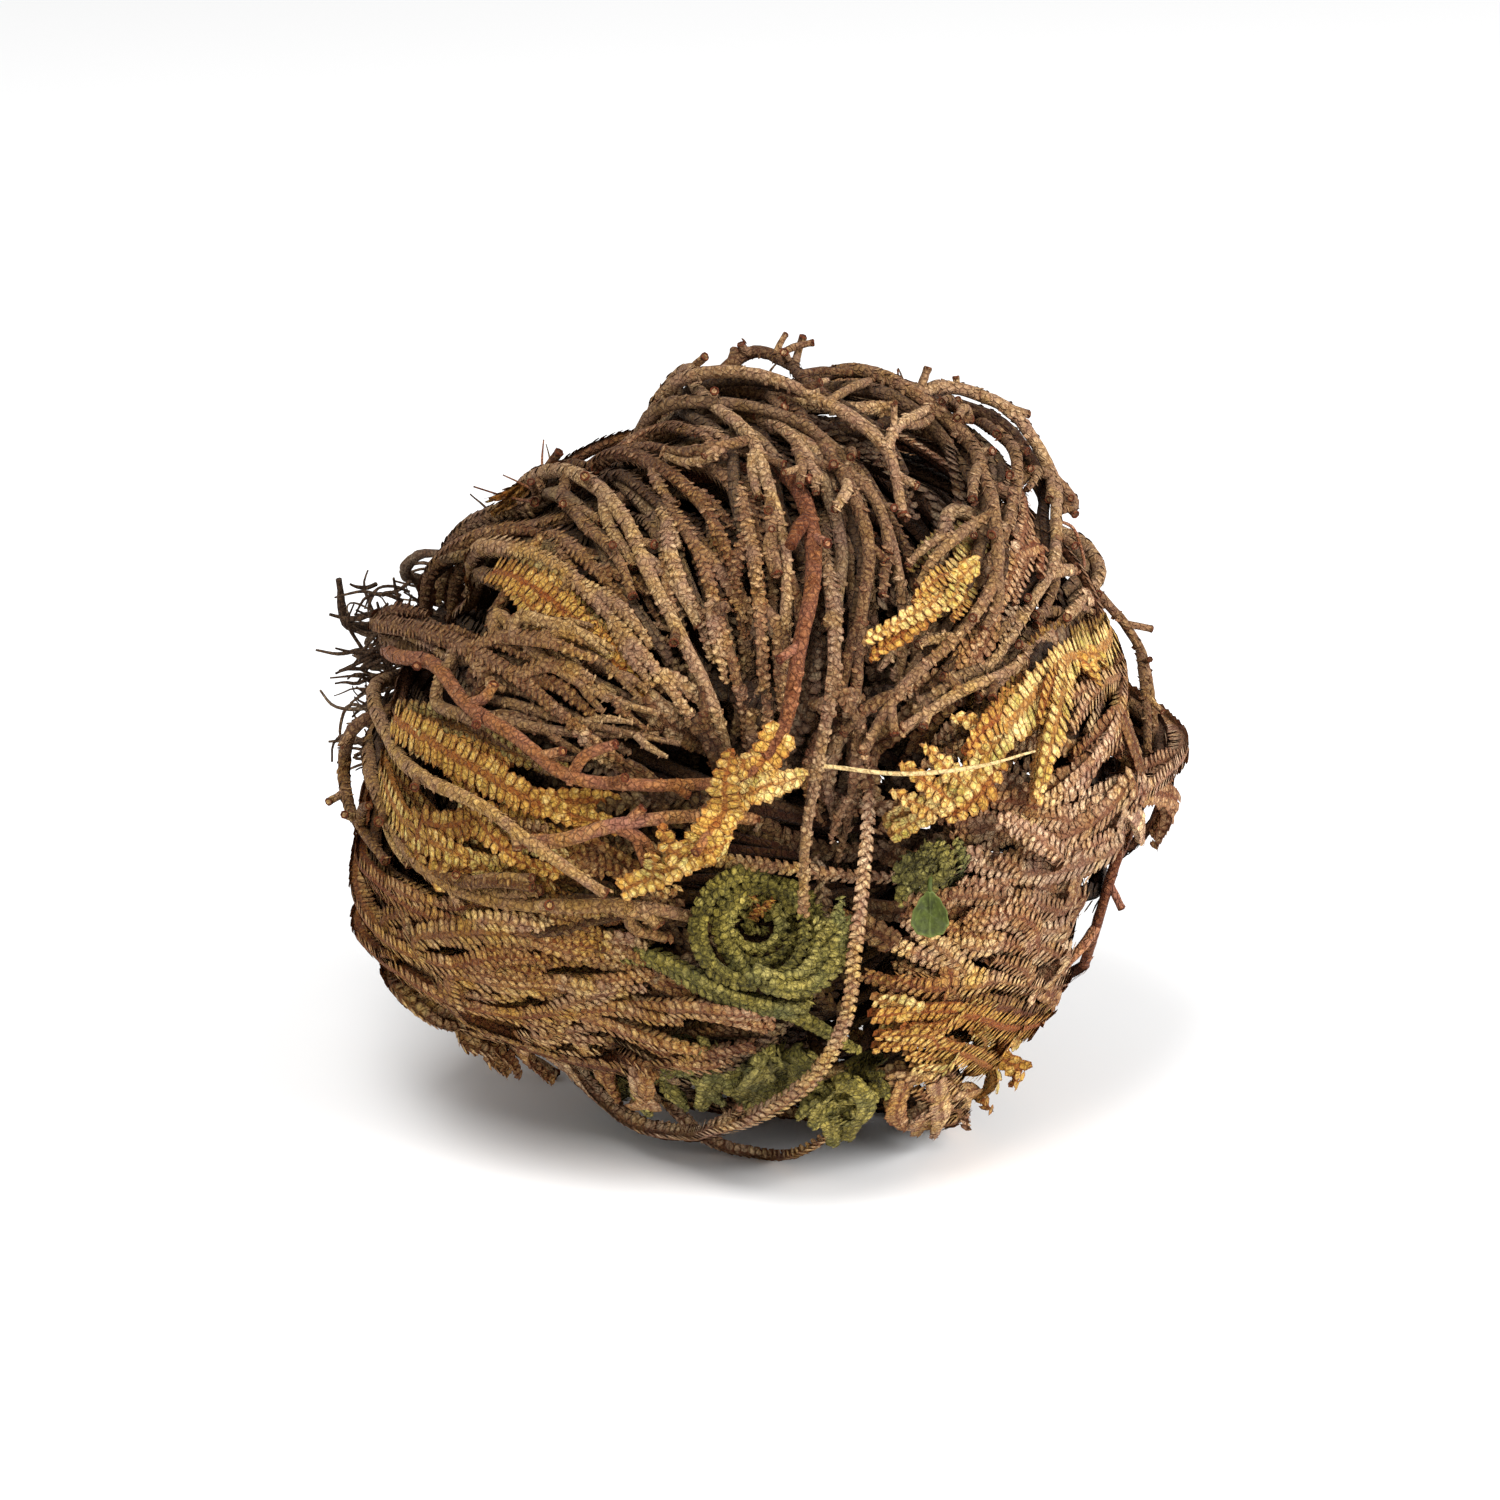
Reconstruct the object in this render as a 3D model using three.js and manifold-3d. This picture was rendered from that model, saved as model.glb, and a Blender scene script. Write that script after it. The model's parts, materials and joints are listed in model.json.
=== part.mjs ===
// Rose of Jericho: a dried resurrection plant, curled into a ball and lying on its side.
// Millimetres, +Z up. The mouth of the ball opens toward -Y. The root crown is at the back, on the left.
// The origin is on the surface that the ball rests on, under the middle of its box.

import * as THREE from "three";
import * as BufferGeometryUtils from "three/addons/utils/BufferGeometryUtils.js";
import Module from "manifold-3d";

const wasm = await Module();
wasm.setup();

const degrees = THREE.MathUtils.degToRad;
const { clamp, lerp, smoothstep } = THREE.MathUtils;

// The ball, measured on its mouth side: across to the right, up the leaning face, out of the mouth.
const BALL_MIDDLE = new THREE.Vector3(-0.5, -1.0, 0);
const BALL_HALF_DEPTH = 36;
const FACE_LEAN = degrees(20);
const EYE_DISTANCE = 700;
const MIDDLE_HEIGHT = 38.4;
const BOX_SHIFT = { x: -0.91, y: 0.64 };
// Half the ball's width by angle round its outline, from the right side over the top.
const OUTLINE = [
  [0, 42], [23, 38], [45, 41], [63, 41], [90, 39.5], [108, 35], [127, 34], [147, 37], [165, 39],
  [180, 39.5], [200, 41], [215, 41], [230, 36.5], [243, 34.5], [256, 37.5], [275, 40], [298, 41],
  [315, 38], [335, 39], [360, 42],
];
// Hidden stretches of stem lie lower than the stems on the face, and each row lower than the last.
const HIDDEN_SHARE = 0.955;
const HIDDEN_ROW_DROP = 0.045;
const MOUTH = { across: 2, up: -7, depth: 6, spread: 6.5 };

// The root crown: a knob that all the stems grow from.
const CROWN_DIRECTION = new THREE.Vector3(-0.85, 0.27, -0.45).normalize();
const CROWN_RADIUS = 8.0;
const CROWN_INNER_END = 24.6;
const CROWN_OUTER_END = 37.2;
const STEM_ROWS = [35.4, 32.5, 29.6, 26.7];
const STEM_ROOM = degrees(19);

// Stems keep this clearance from each other and from the crown.
const CLEARANCE = 0.38;
const STATION_STEP = 7.5;
const TWIG_STEP = 4.0;
const TUBE_SIDES = 4;
const SETTLE_ROUNDS = 260;
const FLOOR_BITE = 0.55;

// The looks of the stems: thickness against width, tip width against stem width, and a colour.
const LOOKS = {
  bark: { thickness: 1.0, tip: 0.75, colour: 0x86705c, roughness: 0.85 },
  smooth: { thickness: 1.0, tip: 0.8, colour: 0x8a5a46, roughness: 0.7 },
  scaly: { thickness: 0.85, tip: 0.5, colour: 0x9a8362, roughness: 0.9 },
  ribbon: { thickness: 0.5, tip: 0.45, colour: 0xb08c3e, roughness: 0.85 },
  green: { thickness: 0.75, tip: 0.5, colour: 0x7d8a55, roughness: 0.8 },
  root: { thickness: 1.0, tip: 0.5, colour: 0x54463c, roughness: 0.95 },
  straw: { thickness: 0.6, tip: 0.6, colour: 0xd8bd84, roughness: 0.6 },
};

// Each route is a list of [across, up, lift]: lift is how far a point stands out of the ball's face.
// A wrap is the same on the far side: [angle round the crown, angle away from the crown, lift].
// A spine is a list of [across, up, out], with out measured from the middle of the ball.
const TOP_FRONDS = [
  {
    name: "frond_top_arch", look: "bark", width: 1.6,
    route: [
      [-6, 35.8, -4], [-3.4, 37.6, 0], [-0.5, 39.4], [2.8, 38.7], [4.8, 36.9, 2], [6.3, 35.3, 2],
      [7.4, 33.8, 2],
    ],
    twigs: [[[-0.6, 39.4], [-0.9, 40.6, 0.5]]],
  },
  {
    name: "frond_top_long", look: "bark", width: 1.7,
    route: [
      [-9.8, 33.2], [-5.0, 36.0, 1], [-0.4, 36.2, 1], [5.1, 34.1], [7.9, 30.8], [9.4, 26.5],
      [10.3, 21.6], [10.9, 15.5], [10.8, 9.5], [10.6, 4.0, -2], [10.0, -2.0, -5],
    ],
    twigs: [[[-6.0, 35.8], [-7.0, 36.6, 1.5]], [[9.0, 27.5], [9.2, 24.8, 2], [8.4, 24.0, 2.4]]],
  },
  {
    name: "frond_top_sweeping", look: "bark", width: 1.6,
    route: [
      [-6.5, 36.2, -2], [-4.6, 35.4], [-1.3, 32.6], [1.1, 29.8], [2.2, 25.9], [3.3, 21.6],
      [3.9, 17.0], [3.7, 12.4], [3.2, 6, -3], [3.0, 0, -6],
    ],
    twigs: [
      [[0.4, 30.6], [-3.8, 29.6, 2.6], [-8.2, 29.9, 3.4]],
      [[2.6, 24.0], [1.6, 19.6, 1.2], [2.2, 17.6, 1]],
    ],
  },
  {
    name: "frond_top_middle", look: "bark", width: 1.6,
    route: [
      [-1.3, 34.7], [2.3, 32.9], [5.1, 29.5], [7.9, 25.9], [10.3, 22.2, -1], [11.8, 17.5, -3],
      [12.4, 12, -4],
    ],
    twigs: [[[4.6, 30.2], [5.2, 27.6, 1.6], [4.9, 26.2, 1.8]]],
  },
  {
    name: "frond_top_cut", look: "bark", width: 1.6,
    route: [
      [5.0, 34.4, 1], [7.9, 32.9, 1.5], [11.5, 30.8, 1.5], [14.4, 27.7, 1.5], [15.0, 23.4, 1.5],
    ],
    twigs: [[[12.4, 30.0], [14.6, 32.2, 2.4], [17.8, 34.2, 3]]],
  },
  {
    name: "frond_top_inner", look: "bark", width: 1.5,
    route: [
      [6.5, 32.0, -1], [9.1, 30.6], [11.5, 28.0], [13.1, 24.0], [14.6, 19.7], [15.2, 16.1],
      [15.6, 11, -1], [15.2, 5, -3],
    ],
    twigs: [[[13.8, 22.0], [13.0, 17.4, 1], [12.6, 15.6, 1]], [[9.4, 30.4], [9.6, 28.4, 1.8]]],
  },
  {
    name: "frond_right_arch", look: "bark", width: 1.6,
    route: [
      [8.0, 34.0, -2], [12.1, 34.8, -2], [16.4, 35.8, -2], [20.4, 35.6, -1], [24.1, 34.0],
      [28.1, 30.8], [30.2, 27.1], [30.6, 23.0], [30.4, 19.1], [28.4, 15.5], [26.8, 12.4],
      [24.4, 9.0], [21.0, 5.5, -1],
    ],
    twigs: [
      [[30.2, 27.1], [32.1, 26.9, 1], [32.4, 24.6, 1.4], [31.0, 23.9, 1.6]],
      [[29.6, 28.6], [26.6, 27.4, -3], [24.6, 26.6, -5]],
    ],
  },
  {
    name: "frond_right_prominent", look: "bark", width: 1.7,
    route: [
      [17.0, 34.6], [21.0, 33.2, 1], [22.9, 30.1, 1.5], [23.4, 26.5, 1.5], [23.8, 21.6, 1.5],
      [22.5, 17.0, 1.5], [19.5, 11.8, 1.5], [16.4, 7.8, 1.5], [13.4, 3.2, 1], [11.5, -0.5],
    ],
    twigs: [
      [[23.6, 23.8], [20.4, 20.4, 1.4], [17.4, 15.8, 0.6]],
      [[19.8, 12.4], [16.8, 10.6, 0.6]],
    ],
  },
  {
    name: "frond_right_second", look: "bark", width: 1.6,
    route: [
      [21.6, 34.2, -2], [24.2, 32.6], [25.8, 29.8], [26.0, 25.4], [25.2, 21.2], [22.9, 15.5],
      [20.2, 11.0, -1], [17.4, 7.4, -2],
    ],
    twigs: [[[22.8, 33.6], [20.2, 32.0, 1.5]]],
  },
  {
    name: "frond_right_third", look: "scaly", width: 1.8,
    route: [
      [25.4, 27.6, -4], [27.2, 24.6, -1], [26.4, 20.6], [24.2, 16.2], [21.8, 12.0], [18.8, 8.0, -1],
      [16.2, 4.6, -2],
    ],
    twigs: [[[26.6, 22.4], [29.2, 19.4, 0.6], [29.0, 17.2, 0.6]]],
  },
  {
    name: "frond_right_crossing", look: "bark", width: 1.7,
    route: [
      [35.2, 19.0, -9], [33.8, 16.0, -3], [31.1, 12.4], [28.1, 9.9, 1], [24.4, 6.9, 1.5],
      [20.4, 5.7, 1.5], [17.3, 4.4, 1], [14.6, 2.2],
    ],
    twigs: [[[32.0, 13.6], [33.6, 15.2, 1.6]], [[21.0, 6.0], [19.0, 7.6, 1.2]]],
  },
  {
    name: "frond_red_brown", look: "smooth", width: 1.8,
    route: [
      [2.0, 28.8, -1], [4.2, 26.4], [5.8, 23.8, 0.5], [6.5, 21.0, 1], [6.4, 17, 1],
      [5.7, 13.9, 1.4], [4.8, 9.3, 2], [3.6, 3.2, 3], [2.3, -0.5, 4.5], [-0.4, -3.5, 5.5],
      [-3.0, -5.8, 6], [-5.0, -9.0, 5], [-7.8, -12.1, 3], [-12.3, -13.9, 1.5],
    ],
    twigs: [
      [[5.8, 23.8], [4.6, 21.6, 2.2], [4.0, 20.4, 2.4]],
      [[-2.4, -5.0, 6], [-2.6, -2.4, 7], [-1.4, -1.2, 7]],
      [[-1.6, -4.6, 6], [2.0, -3.4, 6.5], [5.2, -2.6, 5]],
      [[-5.6, -9.8, 5], [-3.8, -9.9, 6], [-2.2, -9.1, 6.4]],
      [[-6.6, -10.8, 5], [-8.4, -9.4, 5], [-8.0, -8.6, 5.4]],
    ],
  },
  {
    name: "frond_middle_scaly", look: "scaly", width: 1.9,
    route: [
      [8.0, 27.4, -2], [9.5, 23.0, -1], [9.4, 17.0, 0.5], [8.8, 12.4, 1], [8.2, 6.3, 1.5],
      [7.2, 1.7, 2], [6.3, -5.0, 4], [5.2, -11.0, 4], [5.3, -16.2, 1.4],
    ],
    twigs: [[[8.6, 6.4], [10.2, 3.8, 2.2], [11.0, 2.4, 2.2]], [[9.2, 14.6], [7.4, 12.6, 1.6]]],
  },
  {
    name: "frond_middle_tan", look: "scaly", width: 1.7,
    route: [
      [-2.4, 29.0, -2], [-0.6, 24.6], [-0.1, 20.0], [0.8, 13.9], [1.1, 7.8], [1.4, 0.1, -1],
      [1.2, -4, -4],
    ],
    twigs: [[[-0.1, 20.6], [1.4, 18.2, 1], [0.8, 16.4, 1.2]]],
  },
];

// Fronds that come from the crown across the left side of the mouth
const LEFT_FRONDS = [
  {
    name: "frond_left_upper", look: "scaly", width: 1.9,
    route: [
      [-37.6, 12.2], [-33.3, 12.0], [-28.6, 10.4], [-24.8, 8.1], [-21.5, 6.3], [-18.6, 3.4],
      [-15.7, 1.0], [-12.6, -1.4, -1],
    ],
    twigs: [
      [[-28.4, 10.6], [-23.4, 11.4, 1], [-19.2, 10.6, 1], [-15.0, 9.2, 0.6]],
      [[-24.0, 8.0], [-19.4, 8.4, 0.6], [-16.0, 6.6, 0.2]],
    ],
  },
  {
    name: "frond_left_smooth", look: "smooth", width: 1.7,
    route: [
      [-35.6, 9.4], [-31.6, 8.6], [-28.7, 4.9, 0.5], [-25.4, 2.6, 0.8], [-21.9, 0.3, 1],
      [-17.4, -2.9, 1.4], [-12.3, -3.5, 1.4], [-7.6, -3.4, 1], [-3.6, -3.4, -0.5],
    ],
    twigs: [
      [[-27.4, 3.8], [-25.6, 6.6, 1.4]],
      [[-18.6, -2.0], [-15.8, -0.2, 2.2], [-13.4, 0.6, 2]],
    ],
  },
  {
    name: "frond_left_broad", look: "scaly", width: 2.0,
    route: [
      [-27.6, 20.0, -1], [-23.9, 19.8], [-20.7, 19.2], [-18.0, 17.2], [-15.7, 14.8], [-13.3, 12.6],
      [-11.3, 10.1], [-8.3, 7.0], [-5.4, 3.4, -1],
    ],
    twigs: [[[-23.6, 20.4], [-20.1, 21.4], [-17.1, 19.6], [-14.2, 16.8], [-12.0, 14.6, -1]]],
  },
  {
    name: "frond_left_high", look: "bark", width: 1.8,
    route: [
      [-22.4, 26.2, -1], [-19.6, 26.6], [-16.2, 26.0], [-13.7, 24.6], [-11.9, 21.9], [-10.4, 18.1],
      [-8.3, 14.6], [-6.9, 11.0], [-5.2, 7.2], [-3.3, 3.0, -1], [-2.0, -1.0, -3],
    ],
    twigs: [
      [[-18.6, 26.4], [-16.6, 22.6, 0.4], [-13.4, 19.4, 0.6], [-11.8, 15.2, 0.6]],
      [[-20.6, 26.4], [-21.4, 24.6, 1]],
    ],
  },
  {
    name: "frond_top_left", look: "scaly", width: 1.7,
    route: [
      [-15.4, 28.8], [-12.2, 28.8], [-9.2, 27.4], [-6.2, 25.2], [-3.7, 22.8], [-2.0, 19.6],
      [-0.8, 15.6, -1], [-0.4, 11, -2],
    ],
    twigs: [[[-11.6, 28.8], [-9.4, 31.6, 0.6], [-5.2, 31.2, 0.6], [-2.6, 28.8]]],
  },
  {
    name: "frond_left_forked", look: "scaly", width: 1.7,
    route: [
      [-9.8, 27.0, -1], [-7.4, 24.0], [-5.4, 20.6], [-3.9, 17.0], [-3.1, 13.0], [-1.9, 8.7],
      [-0.3, 4.3, -1], [0.2, -0.6, -3],
    ],
    twigs: [
      [[-8.0, 24.6], [-8.2, 20.8], [-6.9, 16.8], [-5.0, 12.6, -1], [-3.8, 9.0, -2]],
      [[-3.6, 15.0], [-2.2, 14.0, 1.6]],
    ],
  },
  {
    name: "frond_left_yellow", look: "ribbon", width: 2.1,
    route: [
      [-25.6, 17.8, -1], [-21.4, 16.0], [-18.6, 13.8], [-15.9, 11.2], [-13.4, 8.6],
      [-10.6, 5.4, -1],
    ],
    twigs: [[[-22.2, 16.4], [-21.4, 12.8, 0.2], [-18.4, 10.2, 0.2]]],
  },
];

// Fronds that sweep round the lower left side
const LOWER_LEFT_FRONDS = [
  {
    name: "frond_left_rim", look: "bark", width: 1.5,
    route: [
      [-37.4, 3.6, -8], [-39.4, 0.4, -6], [-40.2, -3.0, -4], [-39.8, -6.2, -2], [-38.3, -9.4, -1],
      [-36.4, -11.6],
    ],
    twigs: [[[-39.0, -6.4], [-37.4, -5.4, 2]]],
  },
  {
    name: "frond_lower_long", look: "bark", width: 1.9,
    route: [
      [-38.0, -3.0, -1], [-36.2, -7.0], [-33.7, -10.2, 0.6], [-30.5, -12.6, 1], [-26.7, -14.5, 1],
      [-21.9, -15.4, 1], [-17.1, -15.6, 1], [-12.3, -15.4, 1], [-7.8, -16.2], [-4.6, -16.8, -2],
    ],
    twigs: [
      [[-30.4, -12.6], [-26.0, -12.7, 1.6], [-21.6, -13.4, 2.2]],
      [[-15.0, -15.6], [-11.8, -17.6, 0.4], [-8.4, -18.8, -0.6]],
    ],
  },
  {
    name: "frond_lower_yellow", look: "scaly", width: 2.0,
    route: [
      [-38.8, -9.0, -3], [-37.4, -11.6, -1], [-35.2, -14.0], [-32.2, -16.2], [-28.2, -17.6],
      [-23.6, -18.6], [-18.6, -19.0], [-14.6, -19.8, -1],
    ],
    twigs: [[[-29.4, -17.2], [-25.2, -16.9, 0.8], [-21.0, -17.6, 0.8]]],
  },
  {
    name: "frond_lower_third", look: "scaly", width: 1.9,
    route: [
      [-39.2, -12.8, -5], [-38.6, -15.6, -1], [-36.2, -18.6], [-33.0, -20.4], [-28.9, -21.6],
      [-24.1, -22.6], [-18.7, -23.0], [-13.2, -22.8], [-9.4, -22.0, -1],
    ],
    twigs: [[[-27.8, -21.6], [-24.0, -20.4, 0.8], [-20.6, -20.8, 0.8]]],
  },
  {
    name: "frond_lower_broad", look: "scaly", width: 2.0,
    route: [
      [-38.9, -15.6, -6], [-37.6, -19.2, -2], [-34.8, -21.8], [-31.4, -24.0], [-27.3, -25.6],
      [-23.1, -26.2], [-17.1, -25.8], [-12.3, -25.6], [-7.5, -25.8], [-2.7, -26.6],
      [1.6, -27.6, -0.5],
    ],
    twigs: [[[-18.4, -25.8], [-13.2, -27.6, 0.8], [-8.6, -29.4, 0.8], [-5.0, -30.2, 0.4]]],
  },
  {
    name: "frond_lower_edge", look: "scaly", width: 1.9,
    route: [
      [-35.6, -22.6, -5], [-33.0, -25.2, -2], [-29.4, -27.4], [-25.6, -28.6], [-21.6, -28.4],
      [-17.6, -28.6], [-14.2, -29.0, -1],
    ],
    twigs: [
      [[-30.6, -26.8], [-28.0, -29.6], [-26.0, -30.4, 1]],
      [[-25.4, -28.6], [-24.2, -31.6, -3]],
    ],
  },
  {
    name: "frond_ribbon_double", look: "ribbon", width: 2.7,
    route: [
      [-35.0, 3.0, -1], [-31.5, 0.8], [-27.3, -1.9, 0.6], [-23.8, -4.3, 0.8], [-20.6, -6.2, 0.8],
      [-17.1, -7.6, 0.6], [-13.4, -8.4, -0.6],
    ],
    twigs: [
      [
        [-31.2, 0.4], [-28.8, -4.4, 0.2], [-25.6, -7.7, 0.4], [-22.4, -10.4, 0.4],
        [-19.2, -12.2, 0.2],
      ],
    ],
  },
  {
    name: "frond_yellow_bundle", look: "ribbon", width: 2.3,
    route: [
      [-36.6, -1.2, -3], [-34.8, -6.4], [-31.4, -8.6], [-27.8, -9.8], [-24.4, -11.2, -1],
      [-21.2, -12.0, -1.6],
    ],
    twigs: [[[-33.2, -8.0], [-30.0, -10.9], [-26.4, -12.4, -0.6]]],
  },
  {
    name: "stub_smooth_long", look: "bark", width: 1.7,
    route: [
      [-33.2, -1.8, 1], [-29.0, -3.6, 2], [-25.1, -6.4, 3], [-21.2, -9.6, 3.4], [-17.1, -12.8, 3.4],
      [-14.3, -14.4, 3],
    ],
    twigs: [],
  },
  {
    name: "frond_into_mouth", look: "smooth", width: 1.8,
    route: [
      [-34.0, -6.0, -3], [-29.6, -9.4, -2.6], [-24.6, -9.2, 0], [-20.4, -9.4, 1.2],
      [-16.8, -8.6, 1.4], [-12.3, -6.8, 1.6], [-5.6, -6.5, 0], [0.6, -6.9, -1.5],
    ],
    twigs: [[[-12.4, -6.8], [-10.6, -9.4, 1.6], [-9.4, -11.4, 1]]],
  },
];

// Inner fronds that are still grey green
const GREEN_FRONDS = [
  {
    name: "frond_green_coil", look: "green", width: 1.6,
    route: [
      [-17.6, -19.6, -3], [-12.6, -20.2, -1], [-8.2, -21.4, -0.4], [-3.8, -24.0], [0.4, -25.4],
      [4.6, -26.6], [8.0, -28.4], [10.4, -30.0],
    ],
    twigs: [],
    coil: { across: 1.4, up: -17.8, radius: 6.0, turns: 1.7, start: -55, lift: -0.6, dive: 3.2 },
  },
  {
    name: "frond_green_shoot", look: "green", width: 1.5,
    route: [
      [24.0, -12.0, -4], [21.2, -12.6, -2], [18.6, -13.0, -0.6], [16.0, -12.8], [14.8, -11.4, 0.4],
      [15.6, -10.2, 0.6],
    ],
    twigs: [[[18.4, -13.0], [18.0, -11.4, 1], [19.0, -10.2, 1]]],
  },
  {
    name: "frond_green_under", look: "green", width: 1.7,
    route: [
      [-16.4, -33.4, -9], [-12.4, -33.0, -6], [-8.0, -31.8, -4], [-4.0, -31.4, -3],
      [0.6, -31.2, -3], [4.4, -31.2, -3], [6.6, -32.4, -3],
    ],
    twigs: [
      [[-6.4, -31.6], [-4.6, -33.6, -2], [-3.0, -35.2, -1]],
      [[-2.8, -31.4], [-1.4, -33.8, -1.6], [-0.6, -35.4, -1]],
      [[0.8, -31.2], [1.6, -33.8, -1.4], [1.8, -35.4, -0.8]],
    ],
  },
  {
    name: "frond_green_fingers", look: "green", width: 1.7,
    route: [
      [14.6, -30.6, -9], [11.6, -31.8, -5], [9.4, -33.0, -1], [8.4, -35.2, 0.6], [8.2, -37.6, 2.4],
      [8.3, -39.2, 3.4],
    ],
    twigs: [
      [[9.0, -33.6], [6.6, -35.0, 1.2], [4.9, -36.6, 2]],
      [[9.6, -33.0], [11.8, -33.6, 0.4], [12.0, -35.6, 1.4], [10.4, -36.2, 2]],
    ],
  },
];

// Fronds that loop under the ball
const BOTTOM_FRONDS = [
  {
    name: "frond_bottom_loop", look: "scaly", width: 1.5,
    route: [
      [-18.6, -29.6, -5], [-16.4, -32.2, 0], [-14.3, -34.6, 2], [-11.6, -36.6, 3], [-8.0, -38.0, 4],
      [-3.8, -38.0, 4.6], [-0.4, -37.0, 4], [3.0, -35.5, 3.4], [6.0, -33.0, 3], [8.4, -29.6, 2.4],
      [9.8, -25.4, 1.6], [10.4, -20.2, 1.4], [11.0, -15.0, 1], [11.6, -9.6], [12.0, -4.0, -1],
    ],
    twigs: [[[-2.0, -37.6], [-1.0, -35.8, 4]]],
  },
  {
    name: "frond_bottom_second_loop", look: "scaly", width: 1.4,
    route: [
      [-8.4, -35.6, -10], [-6.2, -37.8, -5], [-3.0, -39.9, -2], [1.2, -41.2, 0], [4.8, -40.4, 1],
      [7.4, -38.8, 0], [10.2, -37.0, -3],
    ],
    twigs: [],
  },
  {
    name: "frond_bottom_curl", look: "scaly", width: 1.7,
    route: [
      [-19.4, -28.4, -10], [-15.6, -30.4, -6], [-11.8, -30.8, -1], [-10.0, -32.6, 1],
      [-10.2, -34.6, 1.4], [-11.6, -36.0, 0],
    ],
    twigs: [[[-14.6, -30.6], [-14.0, -33.0, -1], [-13.2, -34.2, -0.4]]],
  },
];

// Broad fronds that reach in from the right side
const RIGHT_FRONDS = [
  {
    name: "frond_right_rim", look: "bark", width: 1.4,
    route: [
      [33.4, 15.4, -12], [36.2, 14.0, -10], [38.8, 11.0, -9], [40.2, 7.2, -8], [41.1, 4.6, -8],
      [41.6, 1.4, -7], [41.7, -1.8, -6], [41.4, -4.2, -5],
    ],
    twigs: [[[39.6, 8.8], [39.6, 4.4, -5], [40.4, -0.2, -3], [40.7, -3.2, -2]]],
  },
  {
    name: "frond_right_wide", look: "scaly", width: 2.1,
    route: [
      [35.2, 12.6, -5], [36.8, 9.0, -1], [37.2, 5.0], [36.0, 1.4], [33.6, -2.0], [30.8, -4.6],
      [27.6, -6.6], [24.4, -8.2, -1],
    ],
    twigs: [[[36.4, 7.6], [33.8, 5.2, 0.8], [32.2, 2.2, 1]]],
  },
  {
    name: "frond_right_braid", look: "scaly", width: 2.1,
    route: [
      [41.4, 1.0, -9], [40.8, -1.6, -3], [38.6, -4.2], [35.0, -5.8], [31.0, -7.6], [26.9, -9.4],
      [22.6, -10.6, -1],
    ],
    twigs: [[[39.4, -3.4], [40.4, -6.4, -1], [39.8, -8.6, -1]]],
  },
  {
    name: "frond_right_lower", look: "scaly", width: 2.0,
    route: [
      [40.6, -4.6, -9], [38.6, -7.4, -2], [34.6, -9.2], [30.4, -10.8], [26.0, -12.8],
      [21.6, -14.6, -1], [17.6, -15.8, -2],
    ],
    twigs: [[[31.6, -10.4], [28.4, -8.2, 1.6], [25.2, -6.6, 2]]],
  },
  {
    name: "twig_red_brown", look: "smooth", width: 1.5,
    route: [
      [37.6, -9.0, -7], [36.4, -11.4, -3], [35.4, -14.6, -1], [34.2, -17.8, -0.6],
      [32.8, -21.0, -1],
    ],
    twigs: [[[33.8, -18.6], [32.0, -20.0, -2], [30.9, -21.4, -3]]],
  },
  {
    name: "frond_right_band", look: "scaly", width: 2.0,
    route: [
      [32.4, -19.6, -9], [29.8, -20.4, -2], [27.0, -19.6], [23.0, -18.4], [19.6, -17.6, -0.4],
    ],
    twigs: [[[28.2, -20.0], [28.0, -17.4, 0.4], [24.8, -15.8, 0.4], [21.4, -15.6, -0.6]]],
  },
  {
    name: "frond_right_low_band", look: "scaly", width: 2.1,
    route: [
      [31.2, -22.8, -9], [29.0, -23.6, -2], [25.6, -23.0], [21.6, -22.2], [17.6, -20.8],
      [14.2, -19.2, -1],
    ],
    twigs: [[[22.0, -22.4], [18.0, -23.6, 0.6], [14.6, -22.8, 0.4]]],
  },
  {
    name: "frond_orange_broad", look: "ribbon", width: 2.9,
    route: [
      [28.6, -27.0, -8], [25.6, -27.4, -1], [21.4, -26.2, 0.6], [17.0, -25.8, 0.8],
      [12.6, -26.4, 0.6],
    ],
    twigs: [
      [
        [26.2, -27.4], [24.6, -31.0, 0.4], [20.8, -30.0, 0.8], [16.4, -29.2, 0.8],
        [12.8, -29.6, 0.4],
      ],
      [[27.0, -27.2], [26.4, -29.6, -2]],
    ],
  },
  {
    name: "frond_lowest_right", look: "scaly", width: 2.1,
    route: [
      [19.6, -37.4, -8], [20.4, -35.2, -1], [18.6, -33.2, 0.8], [15.0, -32.2, 0.8],
      [12.0, -33.4, -2],
    ],
    twigs: [[[20.0, -35.6], [17.6, -36.0, 0.4], [16.6, -38.2, 0]]],
  },
  {
    name: "frond_yellow_mauve", look: "ribbon", width: 3.0,
    route: [
      [34.6, 10.2, -3], [31.8, 9.4, 1], [29.6, 7.2, 1.8], [27.1, 4.4, 2.2], [24.4, 1.0, 2.2],
      [21.4, -3.6, 2], [18.2, -6.6, 1.2], [14.8, -8.6],
    ],
    twigs: [
      [[31.2, 8.8], [30.6, 4.2, 2.6], [29.6, -0.4, 2.8], [28.7, -4.6, 2.4]],
      [[26.6, 3.8], [24.0, 2.8, 3.6], [21.8, 0.2, 3.8]],
    ],
  },
  {
    name: "frond_yellow_small", look: "ribbon", width: 2.0,
    route: [
      [24.6, 23.4, -3], [22.2, 19.4], [20.4, 16.6, 1.6], [17.7, 14.9, 2.6], [14.4, 13.2, 3],
      [11.7, 11.2, 2.6],
    ],
    twigs: [[[19.8, 16.2], [20.6, 14.2, 1.6], [19.0, 12.4, 1.4]]],
  },
];

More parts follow.
